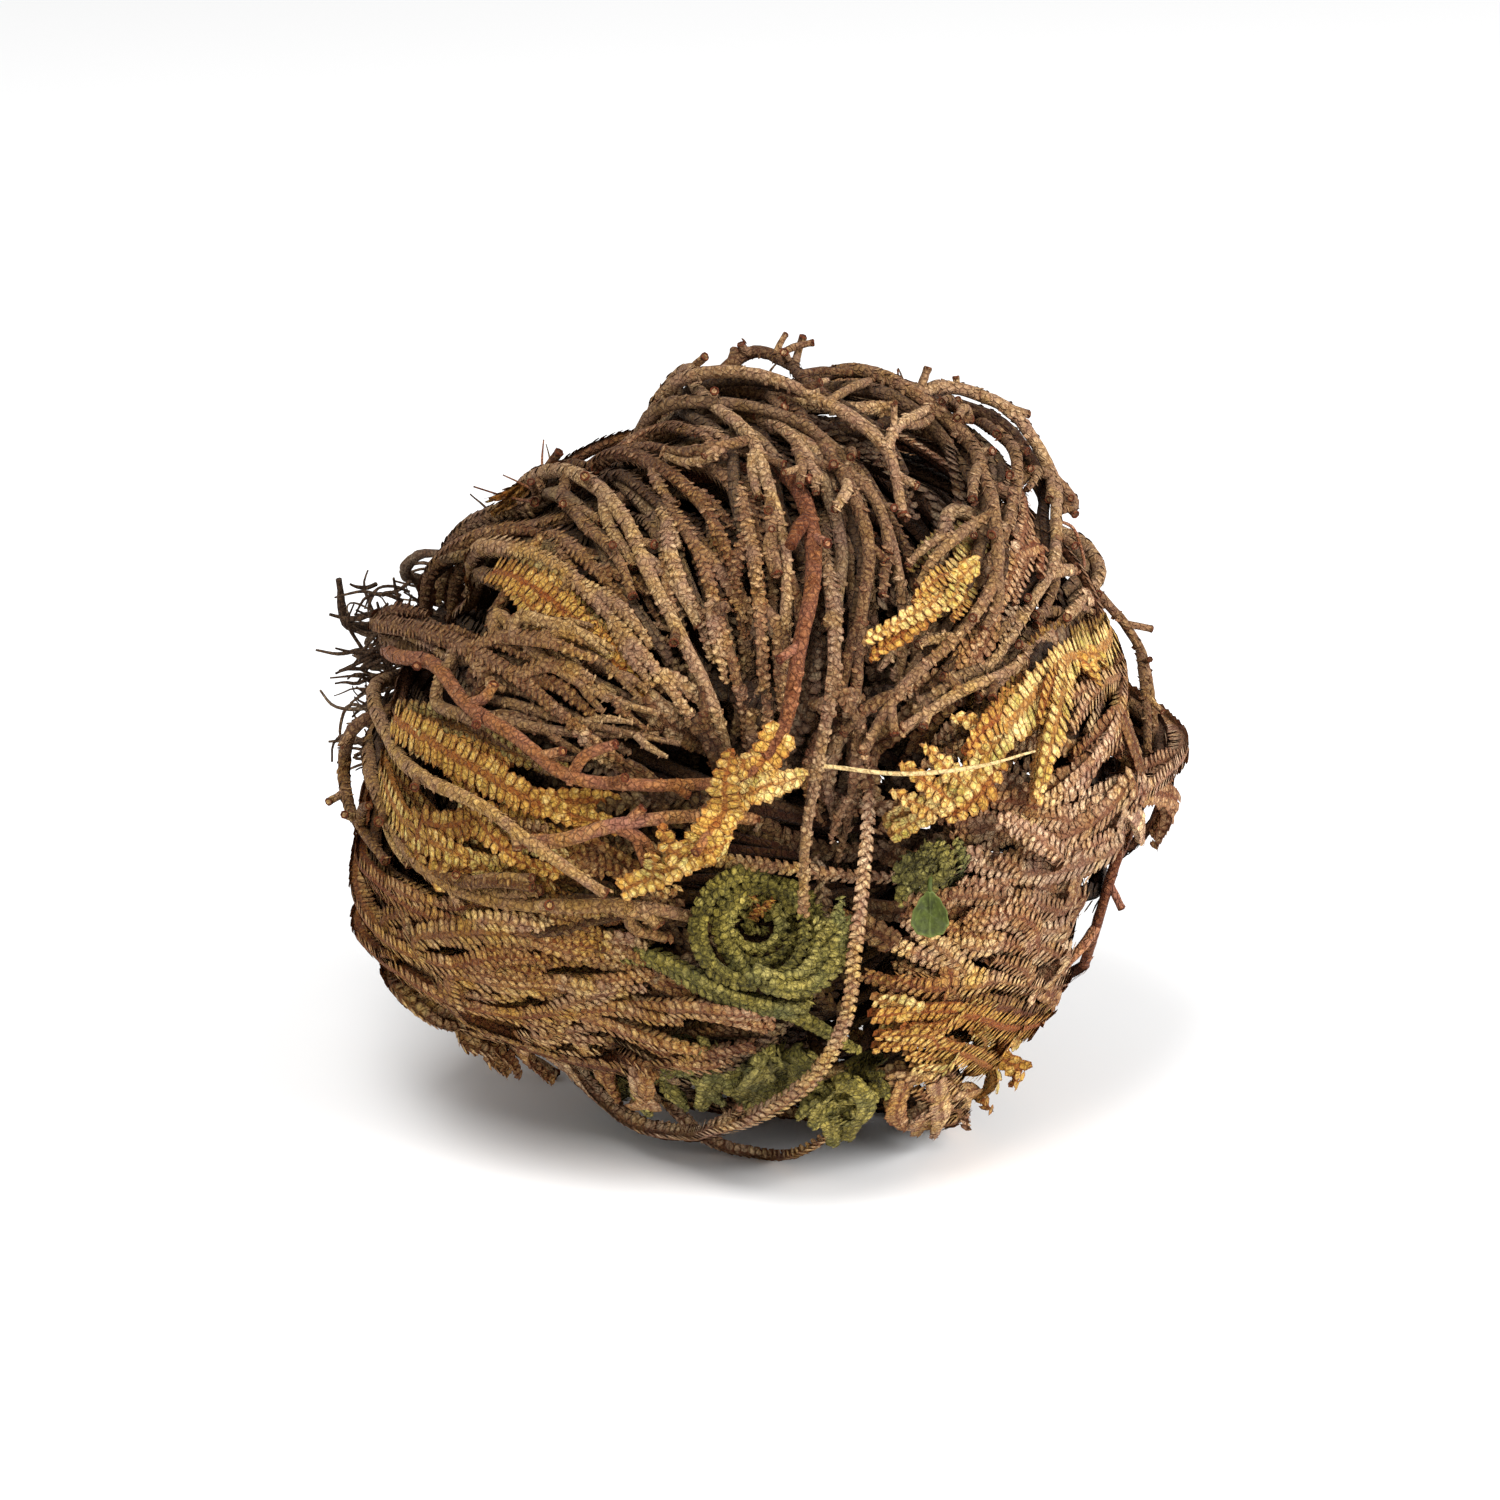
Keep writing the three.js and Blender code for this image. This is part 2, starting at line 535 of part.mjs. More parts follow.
// Fronds on the far side, laid from the crown round the back
const FAR_FRONDS = [
  {
    name: "frond_back_upper", look: "bark", width: 1.8,
    wrap: [[118, 34], [121, 58], [124, 80], [127, 96]],
    twigs: [[[120, 46], [112, 66, 0.6], [108, 82, 0.4]]],
  },
  {
    name: "frond_back_right", look: "scaly", width: 1.9,
    wrap: [[158, 34], [163, 60], [165, 84], [162, 104], [156, 118, -1]],
    twigs: [[[161, 48], [151, 68, 0.6], [147, 84, 0.4]]],
  },
  {
    name: "frond_back_middle", look: "bark", width: 1.8,
    wrap: [[196, 34], [193, 60], [190, 84], [186, 104, -1]],
    twigs: [[[195, 48], [203, 68, 0.6], [206, 84, 0.4]]],
  },
  {
    name: "frond_back_lower", look: "scaly", width: 1.9,
    wrap: [[262, 30], [258, 52], [256, 74], [252, 96], [247, 112, -1]],
    twigs: [[[259, 46], [270, 62, 0.6], [276, 78, 0.6]]],
  },
];

// A stem that hangs under the ball on its crown side and meets the ground
const HANGING_FRONDS = [
  {
    name: "frond_hanging", look: "bark", width: 1.7,
    spine: [
      [-30.0, -19.0, -25.5], [-27.2, -24.8, -24.5], [-24.4, -28.8, -23], [-21.8, -31.2, -21.4],
      [-19.4, -33.0, -19.6],
    ],
    twigs: [[[-27.2, -24.8, -24.5], [-26.6, -28.4, -26.4], [-24.4, -32.2, -27.6]]],
  },
];

// Thick root twigs that stand out beside the crown
const ROOT_TWIGS = [
  {
    name: "root_twig_thick", look: "root", width: 1.3,
    spine: [
      [-35.0, 12.6, -19], [-38.0, 11.6, -16], [-40.2, 13.0, -14], [-41.4, 15.2, -13],
      [-40.9, 17.0, -12],
    ],
    twigs: [],
  },
  {
    name: "root_twig_red", look: "root", width: 1.3,
    spine: [
      [-30.8, 16.6, -18], [-34.6, 17.8, -12], [-33.2, 19.4, -8], [-30.8, 20.6, -5],
      [-28.4, 19.6, -4],
    ],
    twigs: [],
  },
];

// A straw caught across the mouth
const STRAW = {
  name: "straw", look: "straw", width: 0.45,
  route: [[7.4, -1.6, 5], [12.2, -2.4, 5], [18.0, -2.2, 5.4], [23.7, -1.5, 5.4], [28.5, -0.1, 5]],
};

// A fresh leaf among the fronds: turn is about its own middle
const LEAF = {
  across: 18.0, up: -16.4, lift: 3.4, length: 4.4, width: 3.3, thickness: 0.5, turn: degrees(-6),
};

// The face of the ball

function outlineRadius(angle) {
  const turned = (THREE.MathUtils.radToDeg(angle) + 360) % 360;
  const next = OUTLINE.findIndex(([limit]) => turned <= limit);
  const [fromAngle, fromRadius] = OUTLINE[Math.max(next - 1, 0)];
  const [toAngle, toRadius] = OUTLINE[next];
  const part = toAngle > fromAngle ? (turned - fromAngle) / (toAngle - fromAngle) : 0;
  return lerp(fromRadius, toRadius, smoothstep(part, 0, 1));
}

function faceDepth(across, up) {
  const fromMiddle = new THREE.Vector2(across - BALL_MIDDLE.x, up - BALL_MIDDLE.y);
  const share = fromMiddle.length() / outlineRadius(fromMiddle.angle());
  const fromMouth = Math.hypot(across - MOUTH.across, up - MOUTH.up) / MOUTH.spread;
  const hollow = MOUTH.depth * Math.exp(-fromMouth * fromMouth / 2);
  return BALL_HALF_DEPTH * Math.sqrt(Math.max(0, 1 - share * share)) - hollow;
}

function onFace([across, up, lift = 0]) {
  return new THREE.Vector3(across, up, faceDepth(across, up) + lift);
}

function ballRadius(direction) {
  const sideways = Math.hypot(direction.x, direction.y);
  const outline = outlineRadius(Math.atan2(direction.y, direction.x));
  return 1 / Math.hypot(sideways / outline, direction.z / BALL_HALF_DEPTH);
}

function onBall(direction, lift) {
  return direction.clone().multiplyScalar(ballRadius(direction) + lift).add(BALL_MIDDLE);
}

// From the measured face to the standing object: near points are drawn in, and the face leans back.
function stand(point) {
  const nearness = 1 - point.z / EYE_DISTANCE;
  const up = point.y * nearness;
  return new THREE.Vector3(
    point.x * nearness + BOX_SHIFT.x,
    up * Math.sin(FACE_LEAN) - point.z * Math.cos(FACE_LEAN) + BOX_SHIFT.y,
    up * Math.cos(FACE_LEAN) + point.z * Math.sin(FACE_LEAN) + MIDDLE_HEIGHT,
  );
}

// The crown's own axes: along it, toward the mouth, and over the top
const crownToMouth = new THREE.Vector3(0, -0.08, 1).projectOnPlane(CROWN_DIRECTION).normalize();
const crownToTop = CROWN_DIRECTION.clone().cross(crownToMouth);

function aroundCrown(angle) {
  return crownToMouth.clone().multiplyScalar(Math.cos(angle)).addScaledVector(crownToTop, Math.sin(angle));
}

function onCrown(angle, along, radius) {
  return aroundCrown(angle).multiplyScalar(radius).addScaledVector(CROWN_DIRECTION, along).add(BALL_MIDDLE);
}

function awayFromCrown([around, away, lift = 0]) {
  const direction = aroundCrown(degrees(around)).multiplyScalar(Math.sin(degrees(away)));
  direction.addScaledVector(CROWN_DIRECTION, Math.cos(degrees(away)));
  return onBall(direction, lift);
}

function routePoints(frond, points) {
  if (frond.spine) {
    return points.map(([across, up, out]) => new THREE.Vector3(across, up, out));
  }
  return points.map(frond.wrap ? awayFromCrown : onFace);
}

function seenPoints(frond) {
  return routePoints(frond, frond.spine ?? frond.wrap ?? frond.route);
}

// Where each stem leaves the crown: in rows, sorted by the way it goes, with room between neighbours
function leavingAngles(fronds) {
  const headings = fronds.map((frond) => {
    const first = seenPoints(frond)[0].sub(BALL_MIDDLE);
    return (Math.atan2(first.dot(crownToTop), first.dot(crownToMouth)) + 2 * Math.PI) % (2 * Math.PI);
  });
  const order = headings.map((_, index) => index).sort((a, b) => headings[a] - headings[b]);
  const places = new Array(fronds.length);
  STEM_ROWS.forEach((along, row) => {
    const members = order.filter((_, rank) => rank % STEM_ROWS.length === row);
    const angles = spreadOut(members.map((index) => headings[index]));
    members.forEach((index, place) => {
      places[index] = { along, angle: angles[place], row };
    });
  });
  return places;
}

function spreadOut(angles) {
  const spread = [...angles];
  const passes = 200;
  for (let pass = 0; pass < passes; pass += 1) {
    for (let here = 0; here < spread.length; here += 1) {
      const next = (here + 1) % spread.length;
      const turn = next === 0 ? 2 * Math.PI : 0;
      const short = STEM_ROOM - (spread[next] + turn - spread[here]);
      if (short > 0) {
        spread[here] -= short / 2;
        spread[next] += short / 2;
      }
    }
  }
  return spread;
}

// The hidden stretch of a stem: out of the crown, then round the ball to the first point of its route
function hiddenStretch(place, target) {
  const start = onCrown(place.angle, place.along, CROWN_RADIUS + CLEARANCE + 0.05);
  const leaving = onCrown(place.angle, place.along, CROWN_RADIUS + 3.8);
  const from = leaving.clone().sub(BALL_MIDDLE);
  const to = target.clone().sub(BALL_MIDDLE);
  const fromRadius = from.length();
  const sweep = from.angleTo(to);
  const axis = from.clone().cross(to).normalize();
  const stops = Math.max(1, Math.floor(sweep / degrees(13)));
  const share = HIDDEN_SHARE - HIDDEN_ROW_DROP * place.row;
  const points = [start, leaving];
  for (let stop = 1; stop < stops; stop += 1) {
    const part = stop / stops;
    const direction = from.clone().normalize().applyAxisAngle(axis, sweep * part);
    const below = lerp(fromRadius, ballRadius(direction) * share, smoothstep(part, 0, 0.4));
    const radius = lerp(below, to.length(), smoothstep(part, 0.5, 1));
    points.push(direction.multiplyScalar(radius).add(BALL_MIDDLE));
  }
  return points;
}

function coilPoints(coil) {
  const points = [];
  const stepsPerTurn = 12;
  const steps = Math.round(coil.turns * stepsPerTurn);
  for (let step = 0; step <= steps; step += 1) {
    const part = step / steps;
    const angle = degrees(coil.start) + (step / stepsPerTurn) * 2 * Math.PI;
    const radius = coil.radius * (1 - 0.72 * part);
    const across = coil.across + radius * Math.cos(angle);
    const up = coil.up + radius * Math.sin(angle);
    const out = faceDepth(coil.across, coil.up) + coil.lift - coil.dive * part;
    points.push(new THREE.Vector3(across, up, out));
  }
  return points;
}

// Strands: evenly spaced stations along each stem and twig

function strandThrough(points, step, width, look) {
  const curve = new THREE.CatmullRomCurve3(points.map(stand), false, "centripetal");
  const count = Math.max(2, Math.round(curve.getLength() / step));
  return { stations: curve.getSpacedPoints(count), radius: width / 2, width, look };
}

function nearestStation(strand, point) {
  let best = 0;
  strand.stations.forEach((station, index) => {
    if (station.distanceTo(point) < strand.stations[best].distanceTo(point)) {
      best = index;
    }
  });
  return best;
}

function twigStrand(frond, main, points, node, step = TWIG_STEP, slimness = 0.8) {
  const first = stand(points[0]);
  const fork = clamp(nearestStation(main, first), 1, main.stations.length - 1);
  const twig = strandThrough(points, step, frond.width * slimness, LOOKS[frond.look]);
  twig.stations[0] = main.stations[fork].clone();
  return { ...twig, node, parent: main, fork };
}

function plantStrands(fronds, places) {
  const strands = [];
  fronds.forEach((frond, node) => {
    const seen = seenPoints(frond);
    const hidden = places[node] ? hiddenStretch(places[node], seen[0]) : [];
    const main = strandThrough([...hidden, ...seen], STATION_STEP, frond.width, LOOKS[frond.look]);
    main.node = node;
    main.pinned = Boolean(places[node]);
    strands.push(main);
    for (const twig of frond.twigs ?? []) {
      strands.push(twigStrand(frond, main, routePoints(frond, twig), node));
    }
    if (frond.coil) {
      strands.push(twigStrand(frond, main, coilPoints(frond.coil), node, 2.6, 0.85));
    }
  });
  return strands;
}

// Settling: stems that touch are pushed apart until each lies clear of the others

function nearestOnSegments(a0, a1, b0, b1) {
  const alongA = a1.clone().sub(a0);
  const alongB = b1.clone().sub(b0);
  const between = a0.clone().sub(b0);
  const aa = alongA.dot(alongA);
  const bb = alongB.dot(alongB);
  const ab = alongA.dot(alongB);
  const ad = alongA.dot(between);
  const bd = alongB.dot(between);
  const spread = aa * bb - ab * ab;
  let s = spread > 1e-9 ? clamp((ab * bd - bb * ad) / spread, 0, 1) : 0.5;
  const t = clamp((ab * s + bd) / bb, 0, 1);
  s = clamp((ab * t - ad) / aa, 0, 1);
  const apart = between.addScaledVector(alongA, s).addScaledVector(alongB, -t);
  return { s, t, apart };
}

function segmentsOf(strands) {
  const segments = [];
  strands.forEach((strand, index) => {
    for (let place = 0; place + 1 < strand.stations.length; place += 1) {
      segments.push({ strand, index, place });
    }
  });
  return segments;
}

function closePairs(segments, reach) {
  const cells = new Map();
  const middles = segments.map(({ strand, place }) =>
    strand.stations[place].clone().add(strand.stations[place + 1]).multiplyScalar(0.5));
  const cellOf = (point) => point.clone().divideScalar(reach).floor();
  middles.forEach((middle, index) => {
    const key = cellOf(middle).toArray().join(",");
    cells.set(key, [...(cells.get(key) ?? []), index]);
  });
  const pairs = [];
  middles.forEach((middle, index) => {
    const cell = cellOf(middle);
    for (let shift = 0; shift < 27; shift += 1) {
      const near = [cell.x + (shift % 3) - 1, cell.y + (Math.floor(shift / 3) % 3) - 1];
      near.push(cell.z + Math.floor(shift / 9) - 1);
      for (const other of cells.get(near.join(",")) ?? []) {
        const apart = segments[index].strand.node !== segments[other].strand.node;
        if (other > index && apart && middle.distanceTo(middles[other]) < reach) {
          pairs.push([segments[index], segments[other]]);
        }
      }
    }
  });
  return pairs;
}

const ballCentre = stand(BALL_MIDDLE);
const crownAxis = [stand(onCrown(0, CROWN_INNER_END, 0)), stand(onCrown(0, CROWN_OUTER_END, 0))];

function pushApart([one, other], moves, centre) {
  const a = one.strand;
  const b = other.strand;
  const need = a.radius + b.radius + CLEARANCE;
  const found = nearestOnSegments(
    a.stations[one.place], a.stations[one.place + 1],
    b.stations[other.place], b.stations[other.place + 1]);
  const distance = found.apart.length();
  if (distance >= need) {
    return 0;
  }
  const barely = 0.15;
  let way = found.apart.divideScalar(Math.max(distance, 1e-6));
  if (distance < barely) {
    way = a.stations[one.place].clone().sub(centre).normalize();
    way.multiplyScalar(one.index > other.index ? 1 : -1);
  }
  const push = (need - distance) * 0.55;
  moves[one.index][one.place].addScaledVector(way, push * (1 - found.s));
  moves[one.index][one.place + 1].addScaledVector(way, push * found.s);
  moves[other.index][other.place].addScaledVector(way, -push * (1 - found.t));
  moves[other.index][other.place + 1].addScaledVector(way, -push * found.t);
  return need - distance;
}

function keepOffCrown(strand, move, place) {
  const line = new THREE.Line3(crownAxis[0], crownAxis[1]);
  const nearest = line.closestPointToPoint(strand.stations[place], true, new THREE.Vector3());
  const apart = strand.stations[place].clone().sub(nearest);
  const short = CROWN_RADIUS + strand.radius + CLEARANCE - apart.length();
  if (short > 0) {
    move.addScaledVector(apart.normalize(), short);
  }
}

function applyMoves(strand, moves) {
  const eased = moves.map((move, place) => {
    const before = moves[Math.max(place - 1, 0)];
    const after = moves[Math.min(place + 1, moves.length - 1)];
    return move.clone().multiplyScalar(0.6).addScaledVector(before, 0.2).addScaledVector(after, 0.2);
  });
  strand.stations.forEach((station, place) => {
    if (place > 0 || !strand.pinned) {
      station.add(eased[place]);
    }
    const lowest = strand.radius * FLOOR_BITE;
    station.z = Math.max(station.z, lowest);
  });
  if (strand.parent) {
    strand.stations[0].copy(strand.parent.stations[strand.fork]);
  }
}

function settle(strands) {
  const segments = segmentsOf(strands);
  const reach = 10.5;
  const roundsPerSearch = 10;
  let pairs = [];
  for (let round = 0; round < SETTLE_ROUNDS; round += 1) {
    if (round % roundsPerSearch === 0) {
      pairs = closePairs(segments, reach);
    }
    const moves = strands.map((strand) => strand.stations.map(() => new THREE.Vector3()));
    for (const pair of pairs) {
      pushApart(pair, moves, ballCentre);
    }
    strands.forEach((strand, index) => {
      for (let place = 1; place < strand.stations.length; place += 1) {
        keepOffCrown(strand, moves[index][place], place);
      }
      applyMoves(strand, moves[index]);
    });
  }
}

// Solids

function closedSolid(geometry) {
  geometry.deleteAttribute("normal");
  geometry.deleteAttribute("uv");
  const merged = BufferGeometryUtils.mergeVertices(geometry, 1e-4);
  return new wasm.Manifold(new wasm.Mesh({
    numProp: 3,
    vertProperties: new Float32Array(merged.attributes.position.array),
    triVerts: new Uint32Array(merged.index.array),
  }));
}

function geometryOf(solid) {
  const mesh = solid.getMesh();
  const geometry = new THREE.BufferGeometry();
  geometry.setAttribute("position", new THREE.BufferAttribute(mesh.vertProperties, 3));
  geometry.setIndex(new THREE.BufferAttribute(mesh.triVerts, 1));
  return geometry;
}

function sectionShape() {
  const corners = [];
  for (let side = 0; side < TUBE_SIDES; side += 1) {
    const angle = ((side + 0.25) / TUBE_SIDES) * 2 * Math.PI;
    corners.push(new THREE.Vector2(Math.cos(angle), Math.sin(angle)));
  }
  return new THREE.Shape(corners);
}

// A straight bar with one ring of corners at each station, then bent so that ring k lies on station k
function bentTube(strand) {
  const { stations, width, look } = strand;
  const last = stations.length - 1;
  const bar = new THREE.ExtrudeGeometry(sectionShape(), { depth: last, steps: last, bevelEnabled: false });
  const rings = ringFrames(stations);
  const corners = bar.attributes.position;
  const corner = new THREE.Vector3();
  for (let index = 0; index < corners.count; index += 1) {
    corner.fromBufferAttribute(corners, index);
    const ring = Math.round(corner.z);
    const slim = lerp(1, look.tip, smoothstep(ring / last, 0.45, 1));
    const { side, out } = rings[ring];
    const point = stations[ring].clone();
    point.addScaledVector(side, corner.x * (width / 2) * slim);
    point.addScaledVector(out, corner.y * (width / 2) * slim * look.thickness);
    corners.setXYZ(index, point.x, point.y, point.z);
  }
  return closedSolid(bar);
}

function ringFrames(stations) {
  const last = stations.length - 1;
  let previous = stations[0].clone().sub(ballCentre).normalize();
  return stations.map((station, place) => {
    const after = stations[Math.min(place + 1, last)];
    const before = stations[Math.max(place - 1, 0)];
    const tangent = after.clone().sub(before).normalize();
    const radial = station.clone().sub(ballCentre).normalize().projectOnPlane(tangent);
    const carried = previous.clone().projectOnPlane(tangent).normalize();
    const out = radial.addScaledVector(carried, 0.6).normalize();
    previous = out;
    return { out, side: out.clone().cross(tangent) };
  });
}

function floorCut() {
  const slab = new THREE.BoxGeometry(200, 200, 20);
  slab.translate(0, 0, -10);
  return closedSolid(slab);
}

const belowFloor = floorCut();

function lieOnFloor(solid) {
  return solid.boundingBox().min[2] < 0 ? solid.subtract(belowFloor) : solid;
}

function lookMaterial(look) {
  return new THREE.MeshStandardMaterial({ color: look.colour, roughness: look.roughness, metalness: 0 });
}

function namedMesh(name, solid, look) {
  const mesh = new THREE.Mesh(geometryOf(lieOnFloor(solid)), lookMaterial(look));
  mesh.name = name;
  return mesh;
}

function frondMesh(frond, node, strands) {
  const own = strands.filter((strand) => strand.node === node);
  const solid = own.map(bentTube).reduce((joined, tube) => joined.add(tube));
  return namedMesh(frond.name, solid, LOOKS[frond.look]);
}

// The crown: a lumpy barrel round its own axis, with rootlets grown from its outer end
function crownBarrel() {
  const profile = [
    [0, 0], [0.55, 0.05], [0.9, 0.24], [1, 0.42], [1, 0.72], [0.92, 0.86], [0.6, 0.98], [0, 1],
  ];
  const length = CROWN_OUTER_END - CROWN_INNER_END;
  const barrel = new THREE.LatheGeometry(
    profile.map(([wide, high]) => new THREE.Vector2(wide * CROWN_RADIUS, high * length)), 12);
  const upright = new THREE.Vector3(0, 1, 0);
  const axis = crownAxis[1].clone().sub(crownAxis[0]).normalize();
  barrel.applyQuaternion(new THREE.Quaternion().setFromUnitVectors(upright, axis));
  barrel.translate(...crownAxis[0]);
  return closedSolid(barrel);
}

function rootlets() {
  const roots = [];
  const count = 8;
  for (let index = 0; index < count; index += 1) {
    const angle = (index / count) * 2 * Math.PI + 0.3 * (index % 2);
    const spread = 3.2 + 2.6 * ((index * 5) % 3) / 2;
    const long = 3.5 + 2.2 * ((index * 7) % 4) / 3;
    const points = [
      onCrown(angle, CROWN_OUTER_END - 3, spread),
      onCrown(angle, CROWN_OUTER_END + long * 0.5, spread + 0.6),
      onCrown(angle + 0.25, CROWN_OUTER_END + long, spread + 2.6),
    ];
    roots.push(strandThrough(points, 3.5, 0.9, LOOKS.root));
  }
  return roots;
}

function crownMesh() {
  const solid = rootlets().map(bentTube).reduce((joined, root) => joined.add(root), crownBarrel());
  return namedMesh("root_crown", solid, LOOKS.root);
}

function leafMesh() {
  const outline = new THREE.Shape();
  outline.moveTo(0, -LEAF.length / 2);
  outline.quadraticCurveTo(LEAF.width * 0.62, -LEAF.length * 0.4, LEAF.width * 0.5, LEAF.length * 0.1);
  outline.quadraticCurveTo(LEAF.width * 0.34, LEAF.length * 0.5, 0, LEAF.length / 2);
  outline.quadraticCurveTo(-LEAF.width * 0.34, LEAF.length * 0.5, -LEAF.width * 0.5, LEAF.length * 0.1);
  outline.quadraticCurveTo(-LEAF.width * 0.62, -LEAF.length * 0.4, 0, -LEAF.length / 2);
  const sheet = { depth: LEAF.thickness, bevelEnabled: false, curveSegments: 5 };
  const blade = new THREE.ExtrudeGeometry(outline, sheet);
  blade.rotateZ(LEAF.turn);
  blade.rotateX(Math.PI / 2 - FACE_LEAN);
  blade.translate(...stand(onFace([LEAF.across, LEAF.up, LEAF.lift])));
  return namedMesh("green_leaf", closedSolid(blade), LOOKS.green);
}

// The plant

const crownFronds = [
  ...TOP_FRONDS, ...LEFT_FRONDS, ...LOWER_LEFT_FRONDS, ...GREEN_FRONDS, ...BOTTOM_FRONDS,
  ...RIGHT_FRONDS, ...FAR_FRONDS, ...HANGING_FRONDS,
];
const fronds = [...crownFronds, ...ROOT_TWIGS, STRAW];
const strands = plantStrands(fronds, leavingAngles(crownFronds));
settle(strands);

const plant = new THREE.Group();
fronds.forEach((frond, node) => plant.add(frondMesh(frond, node, strands)));
plant.add(crownMesh());
plant.add(leafMesh());

export default plant;
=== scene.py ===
"""Rose of Jericho: a dried resurrection plant, curled into a ball of scaly stems.

The stems follow the same routes as the solids and settle clear of each other in the same
way. Geometry nodes then lay the stem cores and their scale leaves along them.
Points in the tables are in millimetres, and the meshes are in metres.
"""

import json
import math
from collections import defaultdict, namedtuple
from functools import lru_cache

import bpy
import numpy as np
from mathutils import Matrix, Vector

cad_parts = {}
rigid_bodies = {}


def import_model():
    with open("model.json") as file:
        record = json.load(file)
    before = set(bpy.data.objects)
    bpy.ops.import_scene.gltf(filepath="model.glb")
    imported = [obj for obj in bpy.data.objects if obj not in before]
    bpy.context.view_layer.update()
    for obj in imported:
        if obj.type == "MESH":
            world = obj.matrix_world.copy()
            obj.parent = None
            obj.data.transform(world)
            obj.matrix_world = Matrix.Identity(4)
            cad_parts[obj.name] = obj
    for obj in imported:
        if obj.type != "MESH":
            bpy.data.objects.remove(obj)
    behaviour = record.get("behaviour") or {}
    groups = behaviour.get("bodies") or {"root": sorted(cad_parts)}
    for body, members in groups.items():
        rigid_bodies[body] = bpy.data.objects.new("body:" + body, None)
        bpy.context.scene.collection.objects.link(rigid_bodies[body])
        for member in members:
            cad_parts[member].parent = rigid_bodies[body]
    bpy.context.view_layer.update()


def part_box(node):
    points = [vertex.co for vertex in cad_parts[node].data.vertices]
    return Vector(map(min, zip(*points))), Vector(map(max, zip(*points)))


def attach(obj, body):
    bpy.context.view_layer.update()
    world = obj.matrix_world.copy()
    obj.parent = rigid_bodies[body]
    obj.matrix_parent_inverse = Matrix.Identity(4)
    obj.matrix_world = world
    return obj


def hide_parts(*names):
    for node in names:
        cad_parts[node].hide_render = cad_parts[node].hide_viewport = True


bl_info = {
    "name": "Rose of Jericho",
    "version": (1, 0, 0),
    "blender": (4, 5, 0),
    "location": "3D View > Sidebar > Plant",
    "description": "Dresses the curled stems of a dried resurrection plant",
    "category": "Object",
}

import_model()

MM = 0.001
Frond = namedtuple("Frond", "name look width points twigs kind coil")
Coil = namedtuple("Coil", "across up radius turns start lift dive")

# The ball, measured on its mouth side: across to the right, up the leaning face, out of the mouth.
BALL_MIDDLE = np.array([-0.5, -1.0, 0.0])
BALL_HALF_DEPTH = 36.0
FACE_LEAN = math.radians(20)
EYE_DISTANCE = 700.0
MIDDLE_HEIGHT = 38.4
BOX_SHIFT = (-0.91, 0.64)
# Half the ball's width by angle round its outline, from the right side over the top.
OUTLINE = [
    (0, 42), (23, 38), (45, 41), (63, 41), (90, 39.5), (108, 35), (127, 34), (147, 37), (165, 39),
    (180, 39.5), (200, 41), (215, 41), (230, 36.5), (243, 34.5), (256, 37.5), (275, 40),
    (298, 41), (315, 38), (335, 39), (360, 42),
]
# Hidden stretches of stem lie lower than the stems on the face, and each row lower than the last.
HIDDEN_SHARE = 0.955
HIDDEN_ROW_DROP = 0.045
MOUTH_ACROSS, MOUTH_UP, MOUTH_DEPTH, MOUTH_SPREAD = 2.0, -7.0, 6.0, 6.5

# The root crown: a knob that all the stems grow from.
CROWN_DIRECTION = np.array([-0.85, 0.27, -0.45])
CROWN_DIRECTION /= np.linalg.norm(CROWN_DIRECTION)
CROWN_RADIUS = 8.0
CROWN_INNER_END = 24.6
CROWN_OUTER_END = 37.2
STEM_ROWS = [35.4, 32.5, 29.6, 26.7]
STEM_ROOM = math.radians(19)

# Stems keep this clearance from each other and from the crown.
CLEARANCE = 0.38
STATION_STEP = 7.5
TWIG_STEP = 4.0
SETTLE_ROUNDS = 260
PAIR_ROUNDS = 10
PAIR_REACH = 10.5
FLOOR_BITE = 0.55
FLOOR_GAP = 0.02

# The looks of the stems: thickness against width, and tip width against stem width.
Look = namedtuple("Look", "thickness tip")
LOOKS = {
    "bark": Look(1.0, 0.75),
    "smooth": Look(1.0, 0.8),
    "scaly": Look(0.85, 0.5),
    "ribbon": Look(0.5, 0.45),
    "green": Look(0.75, 0.5),
    "root": Look(1.0, 0.5),
    "straw": Look(0.6, 0.6),
}

# A route is a list of (across, up, lift): lift is how far a point stands out of the ball's face.
# A wrap is the same on the far side: (angle round the crown, angle away from the crown, lift).
# A spine is a list of (across, up, out), with out measured from the middle of the ball.


def points_in(text):
    """The points of a text: numbers stand apart by spaces, and points by commas."""
    return [tuple(float(number) for number in point.split()) for point in text.split(",")]


def fronds(table):
    """The fronds of a table, which stand apart by blank lines.

    The first line holds the name, look, width and kind, and the next ones the points of the stem.
    A + starts the points of a twig, and an @ the numbers of the coil.
    """
    found = []
    for block in table.strip().split("\n\n"):
        title, body = block.split("\n", 1)
        name, look, width, *kind = title.split()
        body, _, coil = body.partition("@")
        stem, *twigs = [points_in(part) for part in body.split("+")]
        found.append(Frond(name, look, float(width), stem, twigs, kind[0] if kind else "route",
                           Coil(*points_in(coil)[0]) if coil else None))
    return found


def rows_by_frond(table):
    """The rows of a table by frond: {frond: [(look, numbers up to the colon, points after it)]}."""
    found = defaultdict(list)
    for block in table.strip().split("\n\n"):
        name, *rows = block.split("\n")
        for row in rows:
            title, points = row.split(":")
            look, *numbers = title.split()
            found[name].append((look, *map(float, numbers), points_in(points)))
    return found


